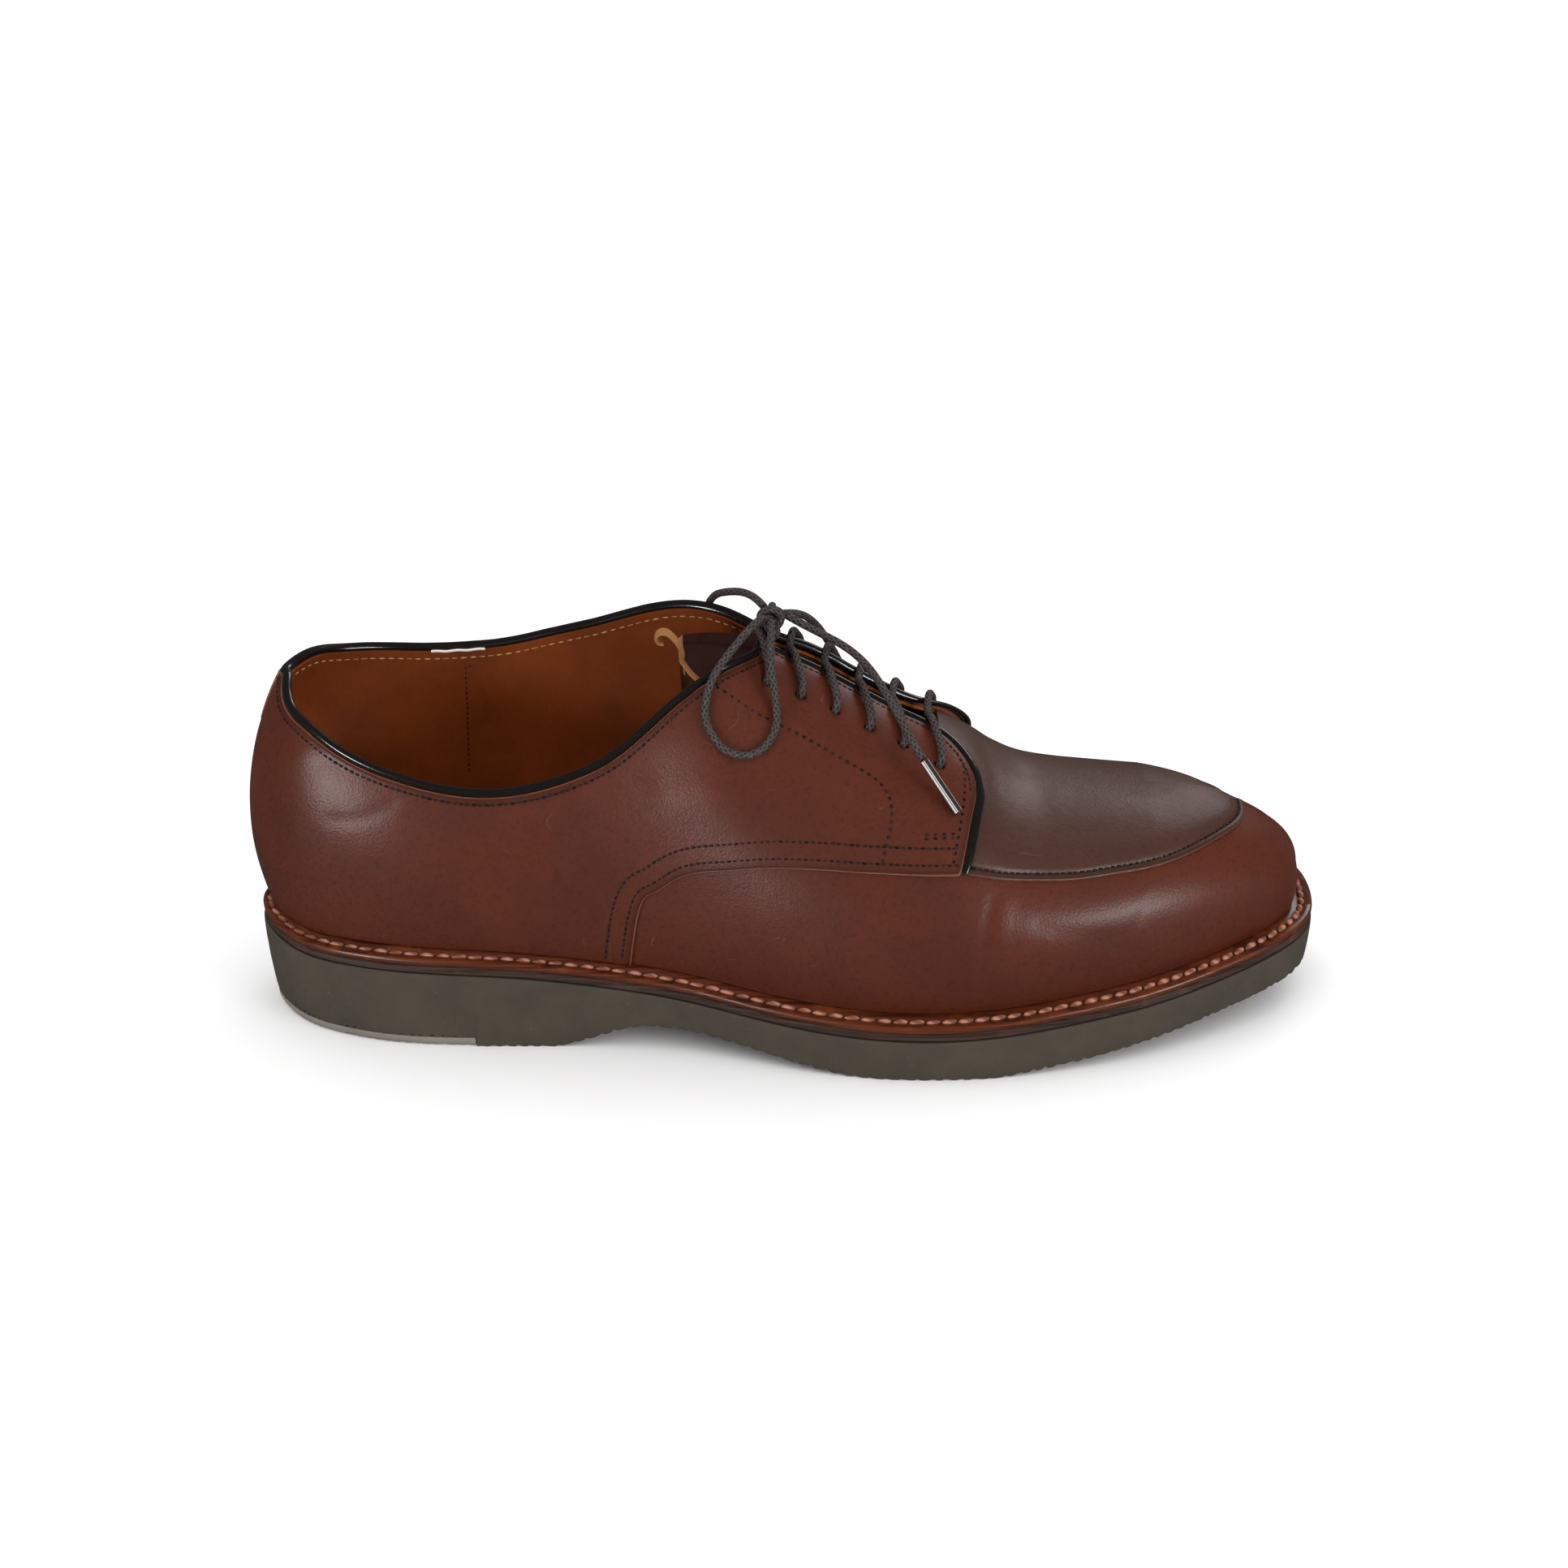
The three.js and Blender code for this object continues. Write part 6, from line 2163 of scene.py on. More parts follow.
    def make_heel_tab(self) -> None:
        """Tab over the back seam, under the collar and round onto the inner side."""
        rounds = columns(float(station_from_back(0.4)), (float(station_from_back(34.0)), 0.6))
        share = (rounds - rounds[0]) / (rounds[-1] - rounds[0])
        collar = collar_at(rounds) - EDGE_ALLOWANCE
        reach = np.clip(1.0 - share**2.4, 0.0, 1.0) ** 0.6
        top = LAST.height_at_level(rounds, collar - 0.8)
        foot = LAST.height_at_level(rounds, collar - 1.6 - HEEL_TAB_DEPTH * reach)
        low = (0.0, 0.12, 0.3, 0.6, 1.1, 1.6, 1.9, 2.2, 2.6)
        grid = rows_between(rounds, foot, top, low, (0.0, 0.4, 1.0), 14)
        at = LAST.point(*grid)
        ends = [densely(at[0], 0.2), densely(at[:, 0], 0.2)]
        edge = nearest(at, np.concatenate(ends))
        lift = QUARTER_STEP + HEEL_TAB_STEP - rolled(edge, 0.45) - 0.25 * np.exp(-(((edge - 1.9) / 0.4) ** 2))
        mesh = wall(LAST.offset(*grid, lift), LAST.offset(*grid, 0.3), {"edge": edge})
        self.workshop.piece("heel_tab", mesh, UPPER_LEATHER, "upper_leather", "upper")
        sewing = Sewing("heel_tab_stitches", Stitch(2.4, 1.8, 0.55, 0.4))
        face = even(QUARTER_STEP + HEEL_TAB_STEP)
        sewing.row(edge_line(Grid(rounds[4:-6], foot[4:-6]), 1.9, -1.0, face))
        sewing.make(self.workshop, UPPER_THREAD, "upper_leather")

    def make_lining(self) -> None:
        """Lining inside the quarters, with its raw edge just over them, its row of stitches and its seam."""
        rounds = self.quarter_rounds[::2]
        grid = rows_between(rounds, np.zeros_like(rounds), self.top[::2], (0.0, 1.0), (0.0, 0.3, 0.8), 30)
        at, out = LAST.point(*grid), LAST.normal(*grid)
        rise = np.zeros_like(grid.heights)
        rise[:, -1] = 0.9
        rise[:, -2] = 0.7
        rise[:, -3] = 0.3
        up = unit(np.gradient(at, axis=1))
        foot = quarter_foot(grid.rounds)
        raised = (quarter_lift(*grid) * smooth(grid.heights, foot, foot + 0.08))[..., None]
        at = at + up * rise[..., None]
        outer = at + out * (raised - LINING_DEPTH)
        inner = at + out * (raised - LINING_DEPTH - self.lining_thickness)
        self.workshop.piece("quarter_lining", wall(outer, inner), LINING_LEATHER, "lining_leather", "upper")

        def inside(rounds: np.ndarray, heights: np.ndarray) -> np.ndarray:
            """How far the lining's inner face stands off the last."""
            return quarter_lift(rounds, heights) - LINING_DEPTH - self.lining_thickness - 0.02

        sewing = Sewing("lining_stitches", Stitch(2.7, 2.0, 0.5, 0.35))
        upper = Grid(self.quarter_rounds, self.top)
        collar = along_at(np.abs(upper.rounds)) * SOLE_LENGTH < THROAT_TOP - 4.0
        line = edge_line(Grid(upper.rounds[collar], upper.heights[collar]), 1.6, 1.0, inside)
        sewing.row(Line(line.points, -line.outs))
        sewing.make(self.workshop, LINING_THREAD, "lining_leather")
        seam = Sewing("lining_seam", Stitch(1.7, 1.2, 0.45, 0.35))
        height = np.linspace(0.25, 0.93, 60)
        round_ = float(station_from_back(58.5)) + 0.012 * (height - 0.25)
        height = np.minimum(height, quarter_top(round_) - 0.03)
        seam.row(Line(LAST.offset(round_, height, inside(round_, height)), -LAST.normal(round_, height)))
        seam.make(self.workshop, UPPER_THREAD, "lining_leather")
        self.make_strip("cotton_tape", (49.0, 66.0), (1.0, 1.75), (0.9, 0.5), COTTON_TAPE)
        self.make_strip("facing_raw_edge", (150.0, 207.6), (0.5, 1.9), (1.5, 1.1), ORANGE_EDGE)

    def make_strip(
        self,
        name: str,
        span: tuple[float, float],
        place: tuple[float, float],
        size: tuple[float, float],
        finish: Finish,
    ) -> None:
        """Strip that shows between the inner quarter's binding and its lining.

        Args:
            name: The piece's name.
            span: Distances from the back of the sole at its ends.
            place: How far past the quarter's edge and how far under its face it lies.
            size: Its height and width.
            finish: What it is made of.
        """
        rounds = station_from_back(np.linspace(*span, int(3.0 * (span[1] - span[0]))))
        heights = quarter_top(rounds)
        at, out = LAST.point(rounds, heights), LAST.normal(rounds, heights)
        out_lift = out * quarter_lift(rounds, heights)[:, None]
        up = unit(np.cross(out, unit(np.gradient(at, axis=0))))
        higher = LAST.point(rounds, np.minimum(heights + 0.01, 1.0)) - at
        up = up * np.sign((up * higher).sum(-1, keepdims=True))
        wave = 0.12 * np.sin(np.arange(len(rounds)) / 3.1)[:, None]
        path = at + out_lift + up * (place[0] + wave) - out * place[1]
        self.workshop.piece(name, sweep(path, up, *size, 8), finish, "lining_leather")

    def make_binding(self) -> None:
        """Rolled binding along the facings and round the collar, on to the quarters' front corners."""
        count = 40
        parts = []
        for sign, pick in ((-1.0, slice(None)), (1.0, slice(None, None, -1))):
            distance = np.linspace(QUARTER_CORNER + 0.1, THROAT_END - 0.02, count)
            rounds = sign * station_from_back(distance)
            parts.append(Grid(rounds[pick], quarter_foot(rounds)[pick]))
        middle = slice(3, -3)
        rounds = np.concatenate([parts[0].rounds, self.quarter_rounds[middle], parts[1].rounds])
        heights = np.concatenate([parts[0].heights, self.top[middle], parts[1].heights])
        distance = along_at(np.abs(rounds)) * SOLE_LENGTH
        wide = 3.0 * mix(1.0, 0.5, smooth(distance, VAMP_BACK - VAMP_RISE, VAMP_BACK))
        middle_lift = QUARTER_STEP + 0.45 - wide / 2.0 + quarter_lift(rounds, heights)
        at = LAST.offset(rounds, heights, middle_lift)
        fine = np.linspace(0.0, 1.0, 900)
        length = run_length(at)
        where = fine * length[-1]
        path = read_along(at, length, where)
        out = unit(read_along(LAST.normal(rounds, heights), length, where))
        wide = np.interp(where, length, wide)
        for _ in range(6):
            path[1:-1] = (path[:-2] + 2.0 * path[1:-1] + path[2:]) / 4.0
        up = unit(np.cross(unit(np.gradient(path, axis=0)), out))
        path = path + up * (0.3 + BINDING_HEIGHT / 2.0)
        end = np.minimum(np.minimum(fine, 1.0 - fine) * 60.0, 1.0)
        taper = np.sqrt(1.0 - (1.0 - end) ** 2) * 0.9 + 0.1
        ripple = 1.0 + 0.03 * np.sin(where / 2.3) * np.sin(where / 7.1)
        inner = smooth(path[:, 0], THROAT_TOP - 6.0, THROAT_TOP + 6.0) * (path[:, 1] > 0.0)
        high = 2.45 * taper * ripple * (1.0 + 0.25 * inner)
        mesh = sweep(path, up, high, wide * 1.02 * taper, 14)
        marks = {**mesh.marks, "edge": np.full(len(mesh.points), 5.0)}
        tube = Mesh(mesh.points, mesh.faces, marks)
        self.workshop.piece("rolled_binding", tube, BINDING_LEATHER, "binding_leather", "binding")


@dataclass
class Tongue:
    """The tongue: under the facings, then free above the throat and arched, with its tip curled up."""

    workshop: Workshop
    lift: float = 2.0
    reach: float = 0.75
    droop: float = 19.0
    tip: Sequence[tuple[float, float, float]] = (
        (126.8, -5.0, 104.0),
        (126.2, -5.2, 108.5),
        (125.0, -5.4, 112.0),
        (123.2, -6.0, 114.8),
        (121.4, -6.2, 116.2),
        (119.6, -6.4, 116.2),
        (118.7, -6.4, 115.0),
        (119.2, -6.2, 113.6),
        (120.4, -6.0, 113.2),
    )

    def place(self, distance: np.ndarray, share: np.ndarray, under: float) -> np.ndarray:
        """Points of the tongue.

        Args:
            distance: Distances from the back of the sole.
            share: Places across it from -1 to 1.
            under: How far under the last's surface.

        Returns:
            Points in millimetres.
        """
        free = np.maximum(THROAT_TOP - distance, 0.0)
        held = np.maximum(distance, THROAT_TOP)
        side = np.where(share < 0.0, -1.0, 1.0)
        up = free / TONGUE_RISE
        taper = mix(1.0, 0.8, smooth(distance, THROAT_TOP, TONGUE_FOOT))
        corner = 1.0 - 0.45 * up**6
        across = LAST.ridge(held / SOLE_LENGTH) + TONGUE_SHIFT + share * TONGUE_HALF_WIDTH * taper * corner
        rounds = side * station_from_back(held)
        heights = LAST.height_at_width(rounds, across)
        dip = TONGUE_DIP * smooth(distance, VAMP_BACK - 14.0, VAMP_BACK)
        at = LAST.offset(rounds, heights, -under - dip)
        at[..., 0] -= free * self.reach
        at[..., 2] += self.lift * (1.3 * up - 0.3 * up**2) + 0.4 * np.sin(distance / 5.0 + share * 2.0) * up
        at[..., 2] -= self.droop * up * np.clip(share + 0.15, 0.0, 2.0) ** 1.3
        return at

    def build(self) -> None:
        """Builds the tongue with its raw underside and edge."""
        end = THROAT_TOP - TONGUE_RISE
        along = np.concatenate([end + np.array([0.0, 0.2, 0.5]), np.linspace(121.0, TONGUE_FOOT, 90)])
        across = np.concatenate([[-1.0, -0.985, -0.96], np.linspace(-0.92, 0.92, 40), [0.96, 0.985, 1.0]])
        distance, share = np.meshgrid(along, across, indexing="ij")
        clear = UPPER_WALL + SEAT_GAP
        outer, inner = self.place(distance, share, clear), self.place(distance, share, clear + 0.9)
        under = self.place(distance, share, clear + TONGUE_THICKNESS)
        rim = np.minimum((1.0 - np.abs(share)) * TONGUE_HALF_WIDTH, distance - end)
        face = wall(outer, inner, {"edge": np.maximum(rim, 0.02)})
        self.workshop.piece("tongue_face", face, TONGUE_LEATHER, "tongue_leather", "tongue")
        back = wall(inner, under)
        self.workshop.piece("tongue_back", back, RAW_LEATHER, "tongue_leather", "tongue")
        path = spline_through(np.array(self.tip), 0.4)
        outs = unit(np.cross(np.gradient(path, axis=0), np.array([0.0, 1.0, 0.0])))
        self.workshop.piece("tongue_tip", sweep(path, outs, 1.2, 6.0, 16), RAW_LEATHER, "tongue_leather")


def lace_pairs() -> np.ndarray:
    """Distances of the pairs of holes from the back of the sole."""
    return np.linspace(THROAT_TOP + EYELET_DIAMETER * 0.3, VAMP_BACK + 0.2, EYELET_PAIRS)


@dataclass
class Sole:
    """Rubber wedge with its heel lift, leather midsole, welt and insole."""

    workshop: Workshop
    notch_pitch: float = 4.2
    notch_depth: float = 0.55
    stitch: Stitch = Stitch(4.6, 4.5, 2.1, 1.6, 0.2)

    def __post_init__(self) -> None:
        """Spaces the stations round the sole."""
        lateral = columns(-1.0, (0.0, 1.15))
        self.rounds = np.concatenate([lateral, -lateral[-2:0:-1]])
        self.stations = columns(0.0, (1.0, 1.15))

    @staticmethod
    def sections(stations: np.ndarray, levels: Sequence[tuple[Callable, Callable]]) -> np.ndarray:
        """Closed sections across the sole.

        Args:
            stations: Stations from the heel to the toe.
            levels: Inset and height of each place up the side, as functions of the round and the place along.

        Returns:
            Points, sections by places round them.
        """
        sides = []
        for sign in (-1.0, 1.0):
            rounds = sign * stations
            places = []
            for inset, height in levels:
                at = LAST.inset(rounds, inset(rounds))
                places.append(np.concatenate([at, height(rounds, at[:, 0])[:, None]], -1))
            sides.append(np.stack(places, 1))
        return np.concatenate([sides[0], sides[1][:, ::-1]], axis=1)

    def build(self) -> None:
        """Builds every layer of the sole."""
        self.make_outsole()
        self.make_midsole()
        self.make_welt()
        self.make_insole()

    @staticmethod
    def tuck(rounds: np.ndarray) -> np.ndarray:
        """How far the outsole's bottom edge lies inside its top one."""
        distance = along_at(np.abs(rounds)) * SOLE_LENGTH
        return mix(HEEL_TUCK, SOLE_TUCK, smooth(distance, 0.0, HEEL_REST_FROM_BACK))

    def notch(self, rounds: np.ndarray) -> np.ndarray:
        """How far the knife's notches bite up into the rubber's lower edge.

        Args:
            rounds: Places round the shoe.

        Returns:
            Heights in millimetres.
        """
        arc = np.abs(rounds) * 1.5 * SOLE_LENGTH
        wave = np.sin(arc * 2.0 * np.pi / self.notch_pitch) + 0.4 * np.sin(arc * 1.7)
        return self.notch_depth * np.clip(wave, 0.0, 1.5)

    def make_outsole(self) -> None:
        """Outsole with a notched bottom edge, and the lift under its heel."""

        def level(share: float, up: float, bite: float, floor: Callable) -> tuple[Callable, Callable]:
            """Inset and height of one line round the side, at a share of the tuck and of the way up."""

            def height(rounds: np.ndarray, at: np.ndarray) -> np.ndarray:
                """Height of the line."""
                top = LAST.sole_top(at) - WELT_THICKNESS - MIDSOLE_THICKNESS - 2.0 * SEAT_GAP
                return mix(floor(at), top, up) + bite * self.notch(rounds)

            return lambda rounds: self.tuck(rounds) * share, height

        profile = (
            (1.0, 0.0, 1.0),
            (0.93, 0.02, 1.2),
            (0.84, 0.06, 0.7),
            (0.64, 0.2, 0.0),
            (0.34, 0.45, 0.0),
            (0.08, 0.75, 0.0),
            (0.0, 0.9, 0.0),
            (0.0, 0.98, 0.0),
            (0.05, 1.0, 0.0),
        )
        end = float(station_from_back(HEEL_PATCH_LENGTH))
        lift_top = HEEL_PATCH_THICKNESS + 0.12
        over_lift = [level(*row, lambda at: np.full_like(at, lift_top)) for row in profile]
        ahead = [level(*row, LAST.sole_bottom) for row in profile]
        rings = (
            self.sections(np.append(self.stations[self.stations < end], end), over_lift),
            self.sections(np.append(end, self.stations[self.stations > end]), ahead),
        )
        self.workshop.piece("rubber_wedge", loft(np.concatenate(rings)), SOLE_RUBBER, "rubber", "outsole")
        self.make_heel_lift()

    def make_heel_lift(self) -> None:
        """Lift of harder rubber under the heel, its lower edge notched by the knife."""

        def level(share: float, inset: float) -> tuple[Callable, Callable]:
            """Inset and height of one line round the side."""
            bite = 0.6 * (1.0 - share)
            return (
                lambda rounds: self.tuck(rounds) + inset,
                lambda rounds, at: np.full_like(at, HEEL_PATCH_THICKNESS * share) + bite * self.notch(rounds),
            )

        end = float(station_from_back(HEEL_PATCH_LENGTH - SEAT_GAP))
        stations = np.append(self.stations[self.stations < end], end)
        levels = (level(0.0, 1.0), level(0.3, 0.25), level(0.6, 0.0), level(1.0, 0.0))
        lift = loft(self.sections(stations, levels))
        self.workshop.piece("heel_lift", lift, PATCH_RUBBER, "heel_patch_rubber", "heel_patch")

    def make_midsole(self) -> None:
        """Leather midsole between the welt and the rubber."""

        def level(share: float, inset: float) -> tuple[Callable, Callable]:
            """Inset and height of one line round the edge."""

            def height(rounds: np.ndarray, at: np.ndarray) -> np.ndarray:
                """Height of the line."""
                return LAST.sole_top(at) - WELT_THICKNESS - 0.12 - (1.0 - share) * (MIDSOLE_THICKNESS + 0.2)

            return lambda rounds: inset + 0.12 * np.sin(rounds * 61.0) * np.sin(rounds * 23.0), height

        levels = (level(0.0, 0.6), level(0.15, 0.25), level(0.85, 0.25), level(1.0, 0.6))
        plate = loft(self.sections(self.stations, levels))
        self.workshop.piece("leather_midsole", plate, MIDSOLE_LEATHER, "midsole_leather", "midsole")

    def make_welt(self) -> None:
        """Welt round the whole shoe with a stitch groove and its rope of stitches."""
        rounds = self.rounds
        margin = LAST.margin(rounds)
        inner = margin + UPPER_WALL + 1.6
        seat = np.maximum(margin * 0.56, 2.1)
        levels = (
            (inner, -1.0, 0.0),
            (np.full_like(margin, 0.45), -1.0, 0.0),
            (np.full_like(margin, 0.05), -0.8, 0.0),
            (np.full_like(margin, 0.0), -0.45, 0.0),
            (np.full_like(margin, 0.12), -0.15, 0.0),
            (np.full_like(margin, 0.45), 0.0, 0.0),
            (seat - 1.1, 0.0, 0.12),
            (seat - 0.55, 0.0, -0.12),
            (seat, 0.0, -0.5),
            (seat + 0.55, 0.0, -0.08),
            (seat + 1.1, 0.0, 0.3),
            (margin - 0.9, 0.0, 0.62),
            (margin + 0.5, 0.0, 1.0),
            (inner, 0.0, 1.0),
        )
        ring = []
        for inset, share, crown in levels:
            at = LAST.inset(rounds, inset)
            rise = LAST.sole_top(at[:, 0]) + share * (WELT_THICKNESS - 0.02)
            rise = rise + crown * LAST.feather_lift(at[:, 0])
            ring.append(np.concatenate([at, rise[:, None]], -1))
        mesh = loft(np.stack(ring, 1), loop=True)
        self.workshop.piece("stitched_welt", mesh, WELT_LEATHER, "welt_leather", "welt")
        sewing = Sewing("welt_stitches", self.stitch)
        at = LAST.inset(rounds, seat)
        rise = LAST.sole_top(at[:, 0]) - 0.5 * LAST.feather_lift(at[:, 0]) + 0.55
        points = np.concatenate([at, rise[:, None]], -1)
        run = unit(np.gradient(points, axis=0))
        out = unit(np.cross(run, np.cross(np.array([0.0, 0.0, 1.0]), run)))
        out = np.where(out[:, 2:] < 0.0, -out, out)
        sewing.row(Line(np.append(points, points[:1], axis=0), np.append(out, out[:1], axis=0)))
        sewing.make(self.workshop, WELT_THREAD, "welt_leather")

    def make_insole(self) -> None:
        """Insole inside the welt, covered with the lining's leather."""

        def level(above: float, inset: float) -> tuple[Callable, Callable]:
            """Inset and height of one line round the edge."""
            return (
                lambda rounds: LAST.margin(rounds) + UPPER_WALL + 2.2 + inset,
                lambda rounds, at: LAST.sole_top(at) - WELT_THICKNESS + above,
            )

        levels = (level(0.0, 0.0), level(INSOLE_THICKNESS - 0.6, 0.0), level(INSOLE_THICKNESS, 0.7))
        plate = loft(self.sections(self.stations, levels))
        self.workshop.piece("sock", plate, LINING_LEATHER, "lining_leather", "insole")


# Routes of the bow's loops and ends, from the knot outward.
NEAR_LOOP = (
    (148.6, -4.9, 120.0), (145.6, -10.4, 119.0), (141.0, -17.0, 115.6), (137.0, -21.6, 111.6),
    (134.3, -24.9, 107.1), (133.0, -29.4, 100.3), (134.9, -32.2, 95.4), (138.9, -34.2, 91.3),
    (143.5, -34.5, 90.0), (148.0, -33.3, 90.7), (151.4, -30.5, 93.5), (152.9, -26.9, 96.9),
    (152.6, -23.0, 101.8), (152.0, -21.3, 106.3), (151.4, -19.6, 110.4), (151.2, -15.4, 114.2),
    (151.3, -9.6, 117.2), (151.4, -5.2, 118.9),
)
FAR_LOOP = (
    (149.2, 3.9, 120.4), (146.4, 7.8, 121.8), (142.6, 12.6, 121.8), (138.4, 17.4, 120.2),
    (135.0, 22.4, 117.6), (132.6, 27.2, 112.8), (131.6, 30.4, 106.6), (132.8, 34.2, 101.4),
    (136.2, 36.4, 97.4), (140.8, 36.8, 95.9), (145.2, 35.8, 97.4), (148.2, 33.4, 101.2),
    (149.6, 30.2, 105.8), (150.6, 26.0, 110.8), (151.4, 19.6, 115.0), (151.6, 12.0, 117.7),
    (151.4, 4.6, 119.2),
)
NEAR_END = (
    (155.4, 0.4, 119.2), (160.6, 2.0, 115.6), (166.2, 2.4, 112.4), (171.6, 1.6, 109.6),
    (176.6, -1.8, 106.8), (180.6, -7.6, 104.0), (183.9, -15.0, 100.9), (187.9, -22.2, 95.8),
    (191.6, -28.2, 90.6), (193.9, -31.0, 87.4),
)
FAR_END = (
    (154.0, 3.6, 118.4), (157.6, 9.6, 116.4), (161.4, 16.8, 112.8), (164.6, 23.0, 107.9),
    (167.2, 28.4, 102.4), (170.0, 33.0, 95.9), (172.6, 36.2, 89.6), (174.4, 38.6, 84.0),
)
NEAR_AGLET = ((194.2, -31.4, 87.0), (199.0, -34.8, 80.6), (203.7, -38.2, 74.4))
FAR_AGLET = ((174.6, 38.9, 83.2), (176.8, 41.6, 76.6), (179.0, 44.0, 70.0))

# Strands inside the knot, from its middle: the one through it, the tie and the one under it.
KNOT_STRANDS = (
    ((-2.2, -4.6, 1.0), (-1.0, -2.0, 0.4), (0.4, 0.6, 0.2), (1.4, 2.6, 0.5), (-1.6, 4.6, 1.2)),
    ((3.6, 1.2, 0.8), (1.6, -0.6, -0.8), (-1.0, -2.2, -1.9), (0.6, -4.4, -2.6), (1.2, -6.6, -3.6)),
    ((-3.0, 5.6, -2.9), (-1.2, 2.4, -2.4), (0.6, -0.4, -2.5), (1.8, -3.2, -2.9), (1.0, -6.0, -3.6)),
)


class FreeCord(NamedTuple):
    """A free length of the lace: its piece's name, CAD node, route and where its far end goes."""

    name: str
    node: str
    route: Sequence[tuple[float, float, float]]
    far_end: str
    companions: tuple[str, ...]


@dataclass
class Lacing:
    """Straight lacing through six pairs of holes, tied in a bow whose far end hangs on the inner side."""

    workshop: Workshop
    sides: int = 12
    step: float = 0.7
    knot_centre: tuple[float, float, float] = (151.2, -0.6, 118.6)
    knot_thickness: float = 2.1

    def strand(
        self, name: str, route: Sequence, *nodes: str, thick: float = LACE_DIAMETER
    ) -> tuple[Object, np.ndarray]:
        """A length of lace along a route.

        Args:
            name: The piece's name.
            route: Points that it passes through.
            nodes: CAD nodes that it stands for.
            thick: Its diameter.

        Returns:
            The piece and the points of its centre line.
        """
        path = spline_through(np.array(route), self.step)
        outs = steady_outs(path, np.array([0.13, 0.21, 1.0]))
        mesh = sweep(path, outs, thick, thick, self.sides)
        return self.workshop.piece(name, mesh, LACE_BRAID, "lace_cord", *nodes), path

    def build(self) -> None:
        """Builds the bow's cords, the knot and the bars."""
        self.make_knot()
        self.make_aglet("near", NEAR_AGLET)
        self.make_aglet("far", FAR_AGLET)
        cords = (
            FreeCord("bow_loop_near", "lace_loop_near", NEAR_LOOP, "object", ("bow_knot",)),
            FreeCord("bow_loop_far", "lace_loop_far", FAR_LOOP, "object", ()),
            FreeCord("bow_end_near", "lace_end_near", NEAR_END, "fitting", ("tip_near", "tip_near_core")),
            FreeCord("bow_end_far", "lace_end_far", FAR_END, "fitting", ("tip_far", "tip_far_core")),
        )
        for cord in cords:
            made, path = self.strand(cord.name, cord.route, cord.node)
        for index, distance in enumerate(lace_pairs()):
            self.make_bar(index, distance)

    def make_bar(self, index: int, distance: float) -> None:
        """One bar of the lacing: out of a hole, over both bound edges and into the hole across.

        Args:
            index: Its place from the top.
            distance: Distance of its holes from the back of the sole.
        """
        lie = LACE_DIAMETER / 2.0 + 0.05
        steps = (
            (EYELET_SETBACK + 0.4, -3.0, 0.0),
            (EYELET_SETBACK + 0.1, -0.6, 0.0),
            (EYELET_SETBACK - 0.5, lie + 0.1, 0.0),
            (EYELET_SETBACK - LACE_DIAMETER * 1.3, lie + 0.5, 0.15),
            (EYELET_SETBACK / 2.0, lie + 0.4, 0.7),
            (EYELET_SETBACK / 4.0, lie + 0.45, 1.5),
            (-EDGE_ALLOWANCE / 2.0, lie + 0.45, 2.6),
        )
        halves = [
            [facing_point(side, distance - back, setback, above) for setback, above, back in steps]
            for side in BOTH_SIDES
        ]
        middle = (halves[0][-1] + halves[1][-1]) / 2.0 - np.array([0.8, 0.0, 1.6])
        route = [*halves[0], middle, *halves[1][::-1]]
        self.strand(f"lace_bar_{index + 1}", route, f"lace_crossing_{index + 1}")

    def make_knot(self) -> None:
        """Knot of the bow: a band round the loops, with the first tie under it."""
        middle = np.array(self.knot_centre)
        angle = np.linspace(-0.6 * np.pi, 2.0 * np.pi, 60)
        share = (angle - angle[0]) / (angle[-1] - angle[0])
        later = angle + 0.5
        band = np.stack([2.9 * np.cos(angle), -2.2 + 4.2 * share, 2.5 * np.sin(angle)], -1)
        second = np.stack([3.1 * np.cos(later), 2.4 - 2.6 * share, 2.1 * np.sin(later)], -1)
        meshes = []
        for route in (band, second, *KNOT_STRANDS):
            path = spline_through(middle + np.array(route), 0.4)
            outs = steady_outs(path, np.array([0.2, 0.3, 1.0]))
            meshes.append(sweep(path, outs, self.knot_thickness, self.knot_thickness, self.sides))
        self.workshop.piece("bow_knot", joined(meshes), LACE_BRAID, "lace_cord", "lace_knot", weld=False)

    def make_aglet(self, name: str, route: Sequence) -> None:
        """Clear tip over the lace's end.

        Args:
            name: Which end of the lace it is on, near or far.
            route: Points of its centre line.
        """
        path = spline_through(np.array(route), 1.0)
        outs = steady_outs(path, np.array([0.13, 0.21, 1.0]))
        sleeve = sweep(path, outs, AGLET_DIAMETER * 0.86, AGLET_DIAMETER * 0.98, 16)
        self.workshop.piece(f"tip_{name}", sleeve, CLEAR_TIP, "clear_tip", f"aglet_{name}")
        self.strand(f"tip_{name}_core", path[:-1], thick=1.7)


class Lamp(NamedTuple):
    """A soft light: its bearing from the front towards the right, its elevation, distance, size and power."""

    name: str
    bearing: float
    elevation: float
    distance: float
    wide: float
    high: float
    watts: float


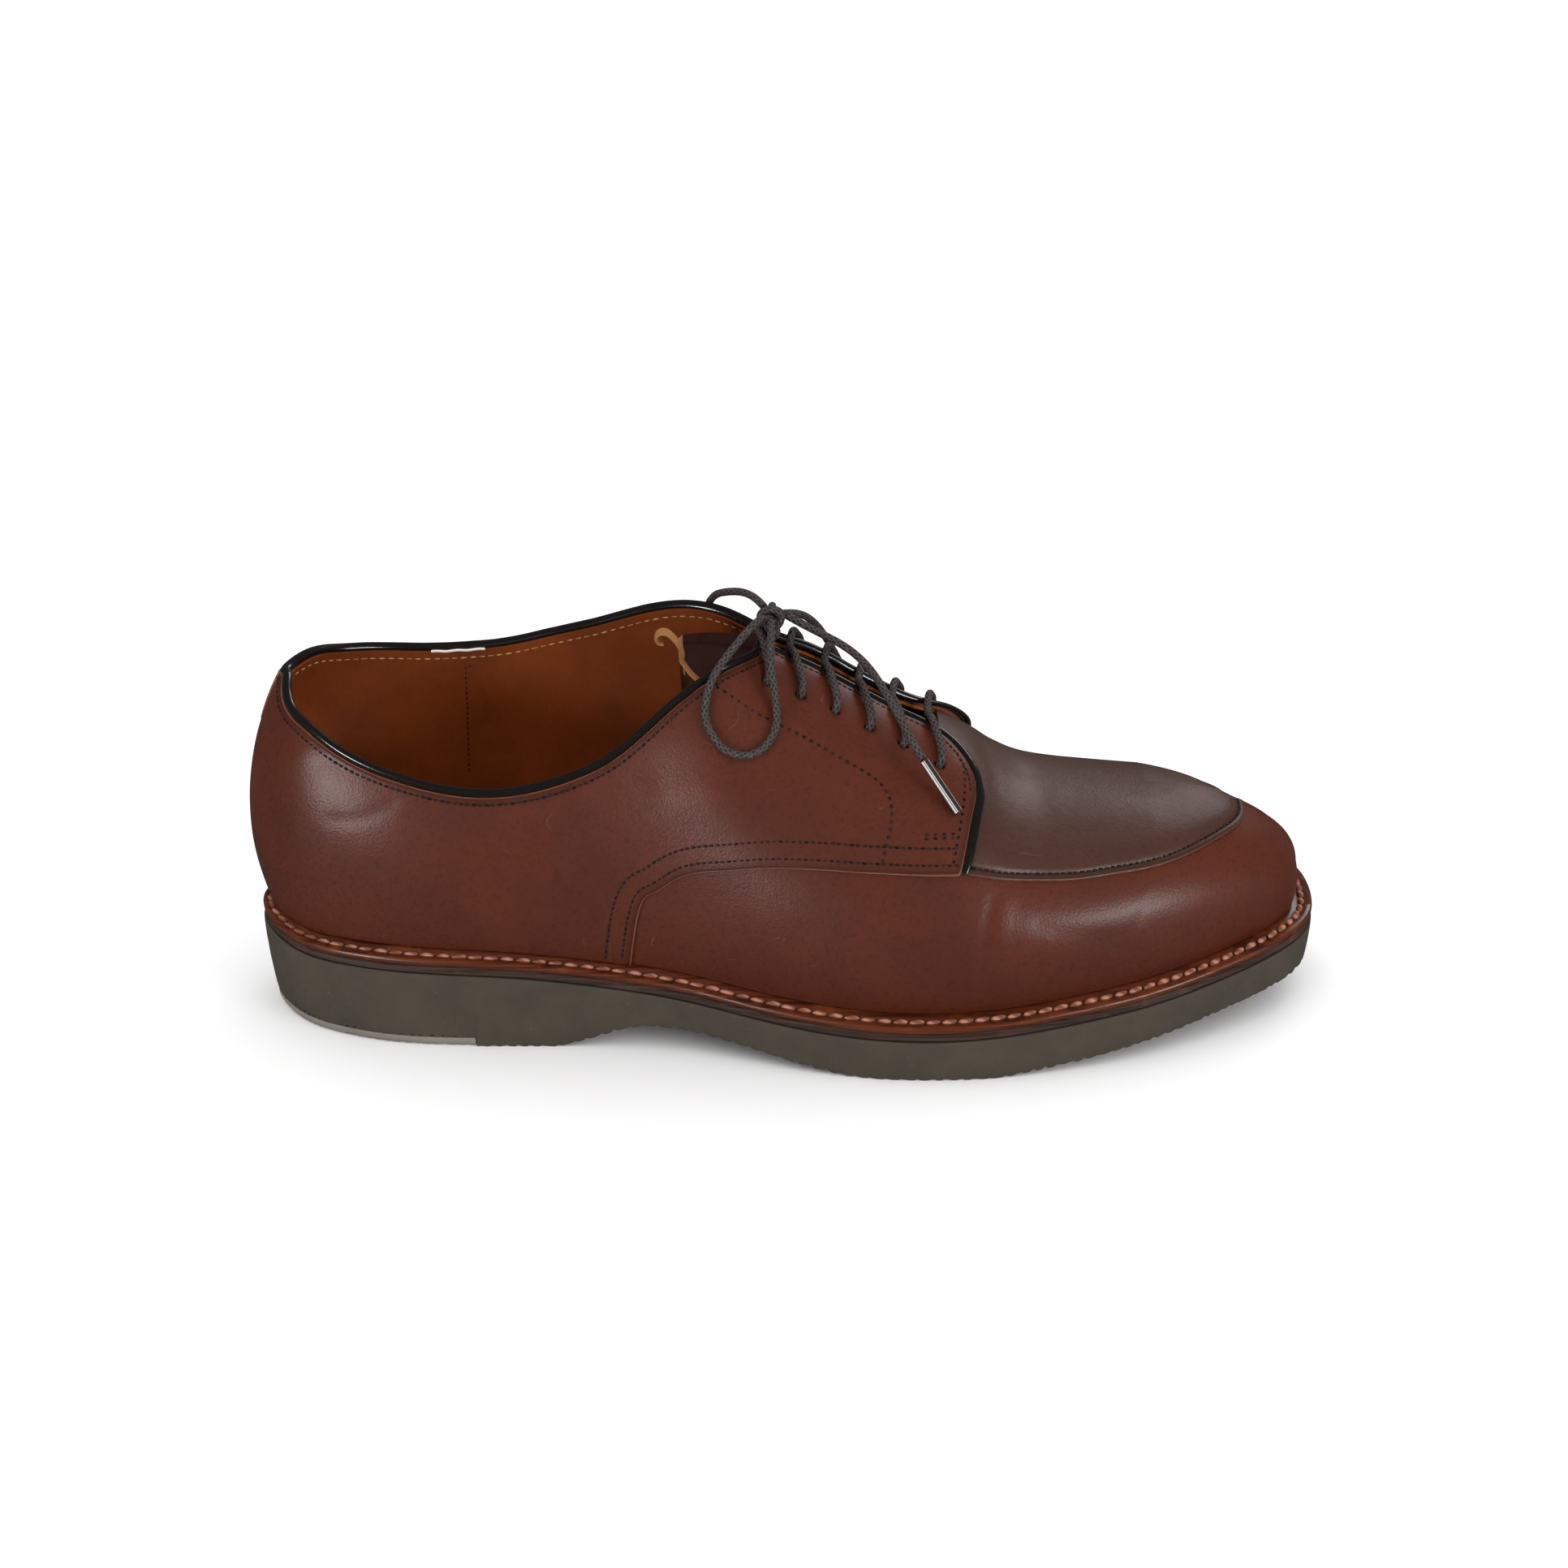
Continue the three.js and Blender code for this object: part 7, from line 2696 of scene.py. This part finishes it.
@dataclass
class Studio:
    """Pale paper floor, broad soft lights and the camera at the photograph's place."""

    floor_size: float = 9.0
    sky_strength: float = 0.08
    ceiling: Lamp = Lamp("ceiling", 0.0, 90.0, 2.6, 12.0, 12.0, 600.0)
    lens_mm: float = 63.35
    eye: tuple[float, float, float] = (0.11698, -0.74493, 0.38220)
    pitch: float = 67.05
    aim: tuple[float, float, float] = (0.12, 0.0, 0.05)
    lamps: tuple[Lamp, ...] = (
        Lamp("front_right", 50.0, 12.0, 1.6, 0.7, 0.3, 11.0),
        Lamp("front_left", -42.0, 2.0, 1.6, 0.45, 0.5, 13.0),
        Lamp("behind", 150.0, 30.0, 2.0, 0.7, 0.5, 3.5),
    )

    def build(self) -> None:
        """Sets up floor, lights and world."""
        half = self.floor_size / 2.0
        data = bpy.data.meshes.new("floor")
        corners = [(-half, -half, 0), (half, -half, 0), (half, half, 0), (-half, half, 0)]
        data.from_pydata(corners, [], [(0, 1, 2, 3)])
        data.materials.append(PAPER.material())
        floor = linked("floor", data)
        world = bpy.data.worlds.new("studio")
        bpy.context.scene.world = world
        world.use_nodes = True
        sky = world.node_tree.nodes["Background"].inputs
        sky["Color"].default_value = linear("#f6f6f6")
        sky["Strength"].default_value = self.sky_strength
        ceiling = self.light(self.ceiling)
        # Neither shows in the gloss, so that they lay no haze over the waxed leather.
        for broad in (ceiling, floor):
            broad.visible_glossy = False
        bpy.context.scene.view_settings.view_transform = "Standard"
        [self.light(lamp) for lamp in self.lamps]

    def light(self, lamp: Lamp) -> Object:
        """A soft light that faces the shoe.

        Args:
            lamp: Its name, place, size and power.

        Returns:
            The light.
        """
        data = bpy.data.lights.new(lamp.name, "AREA")
        data.shape = "RECTANGLE"
        data.size = lamp.wide
        data.size_y = lamp.high
        data.energy = lamp.watts
        bearing, elevation = math.radians(lamp.bearing), math.radians(lamp.elevation)
        level = math.cos(elevation)
        way = Vector((math.sin(bearing) * level, -math.cos(bearing) * level, math.sin(elevation)))
        made = linked(lamp.name, data)
        made.location = Vector(self.aim) + way * lamp.distance
        made.rotation_euler = (-way).to_track_quat("-Z", "Y").to_euler()
        return made

    def camera(self) -> None:
        """Sets the camera at the photograph's place."""
        data = bpy.data.cameras.new("camera")
        data.lens = self.lens_mm
        data.sensor_width = 36.0
        data.clip_start = 0.01
        made = linked("camera", data)
        made.location = self.eye
        made.rotation_euler = (math.radians(self.pitch), 0.0, 0.0)
        bpy.context.scene.camera = made


def main() -> None:
    """Builds the scene."""
    logging.basicConfig(level=logging.INFO, format="%(name)s: %(message)s")
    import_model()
    workshop = Workshop()
    studio = Studio()
    studio.camera()
    Lacing(workshop).build()
    Sole(workshop).build()
    Upper(workshop).build()
    Tongue(workshop).build()
    studio.build()


if __name__ == "__main__":
    main()
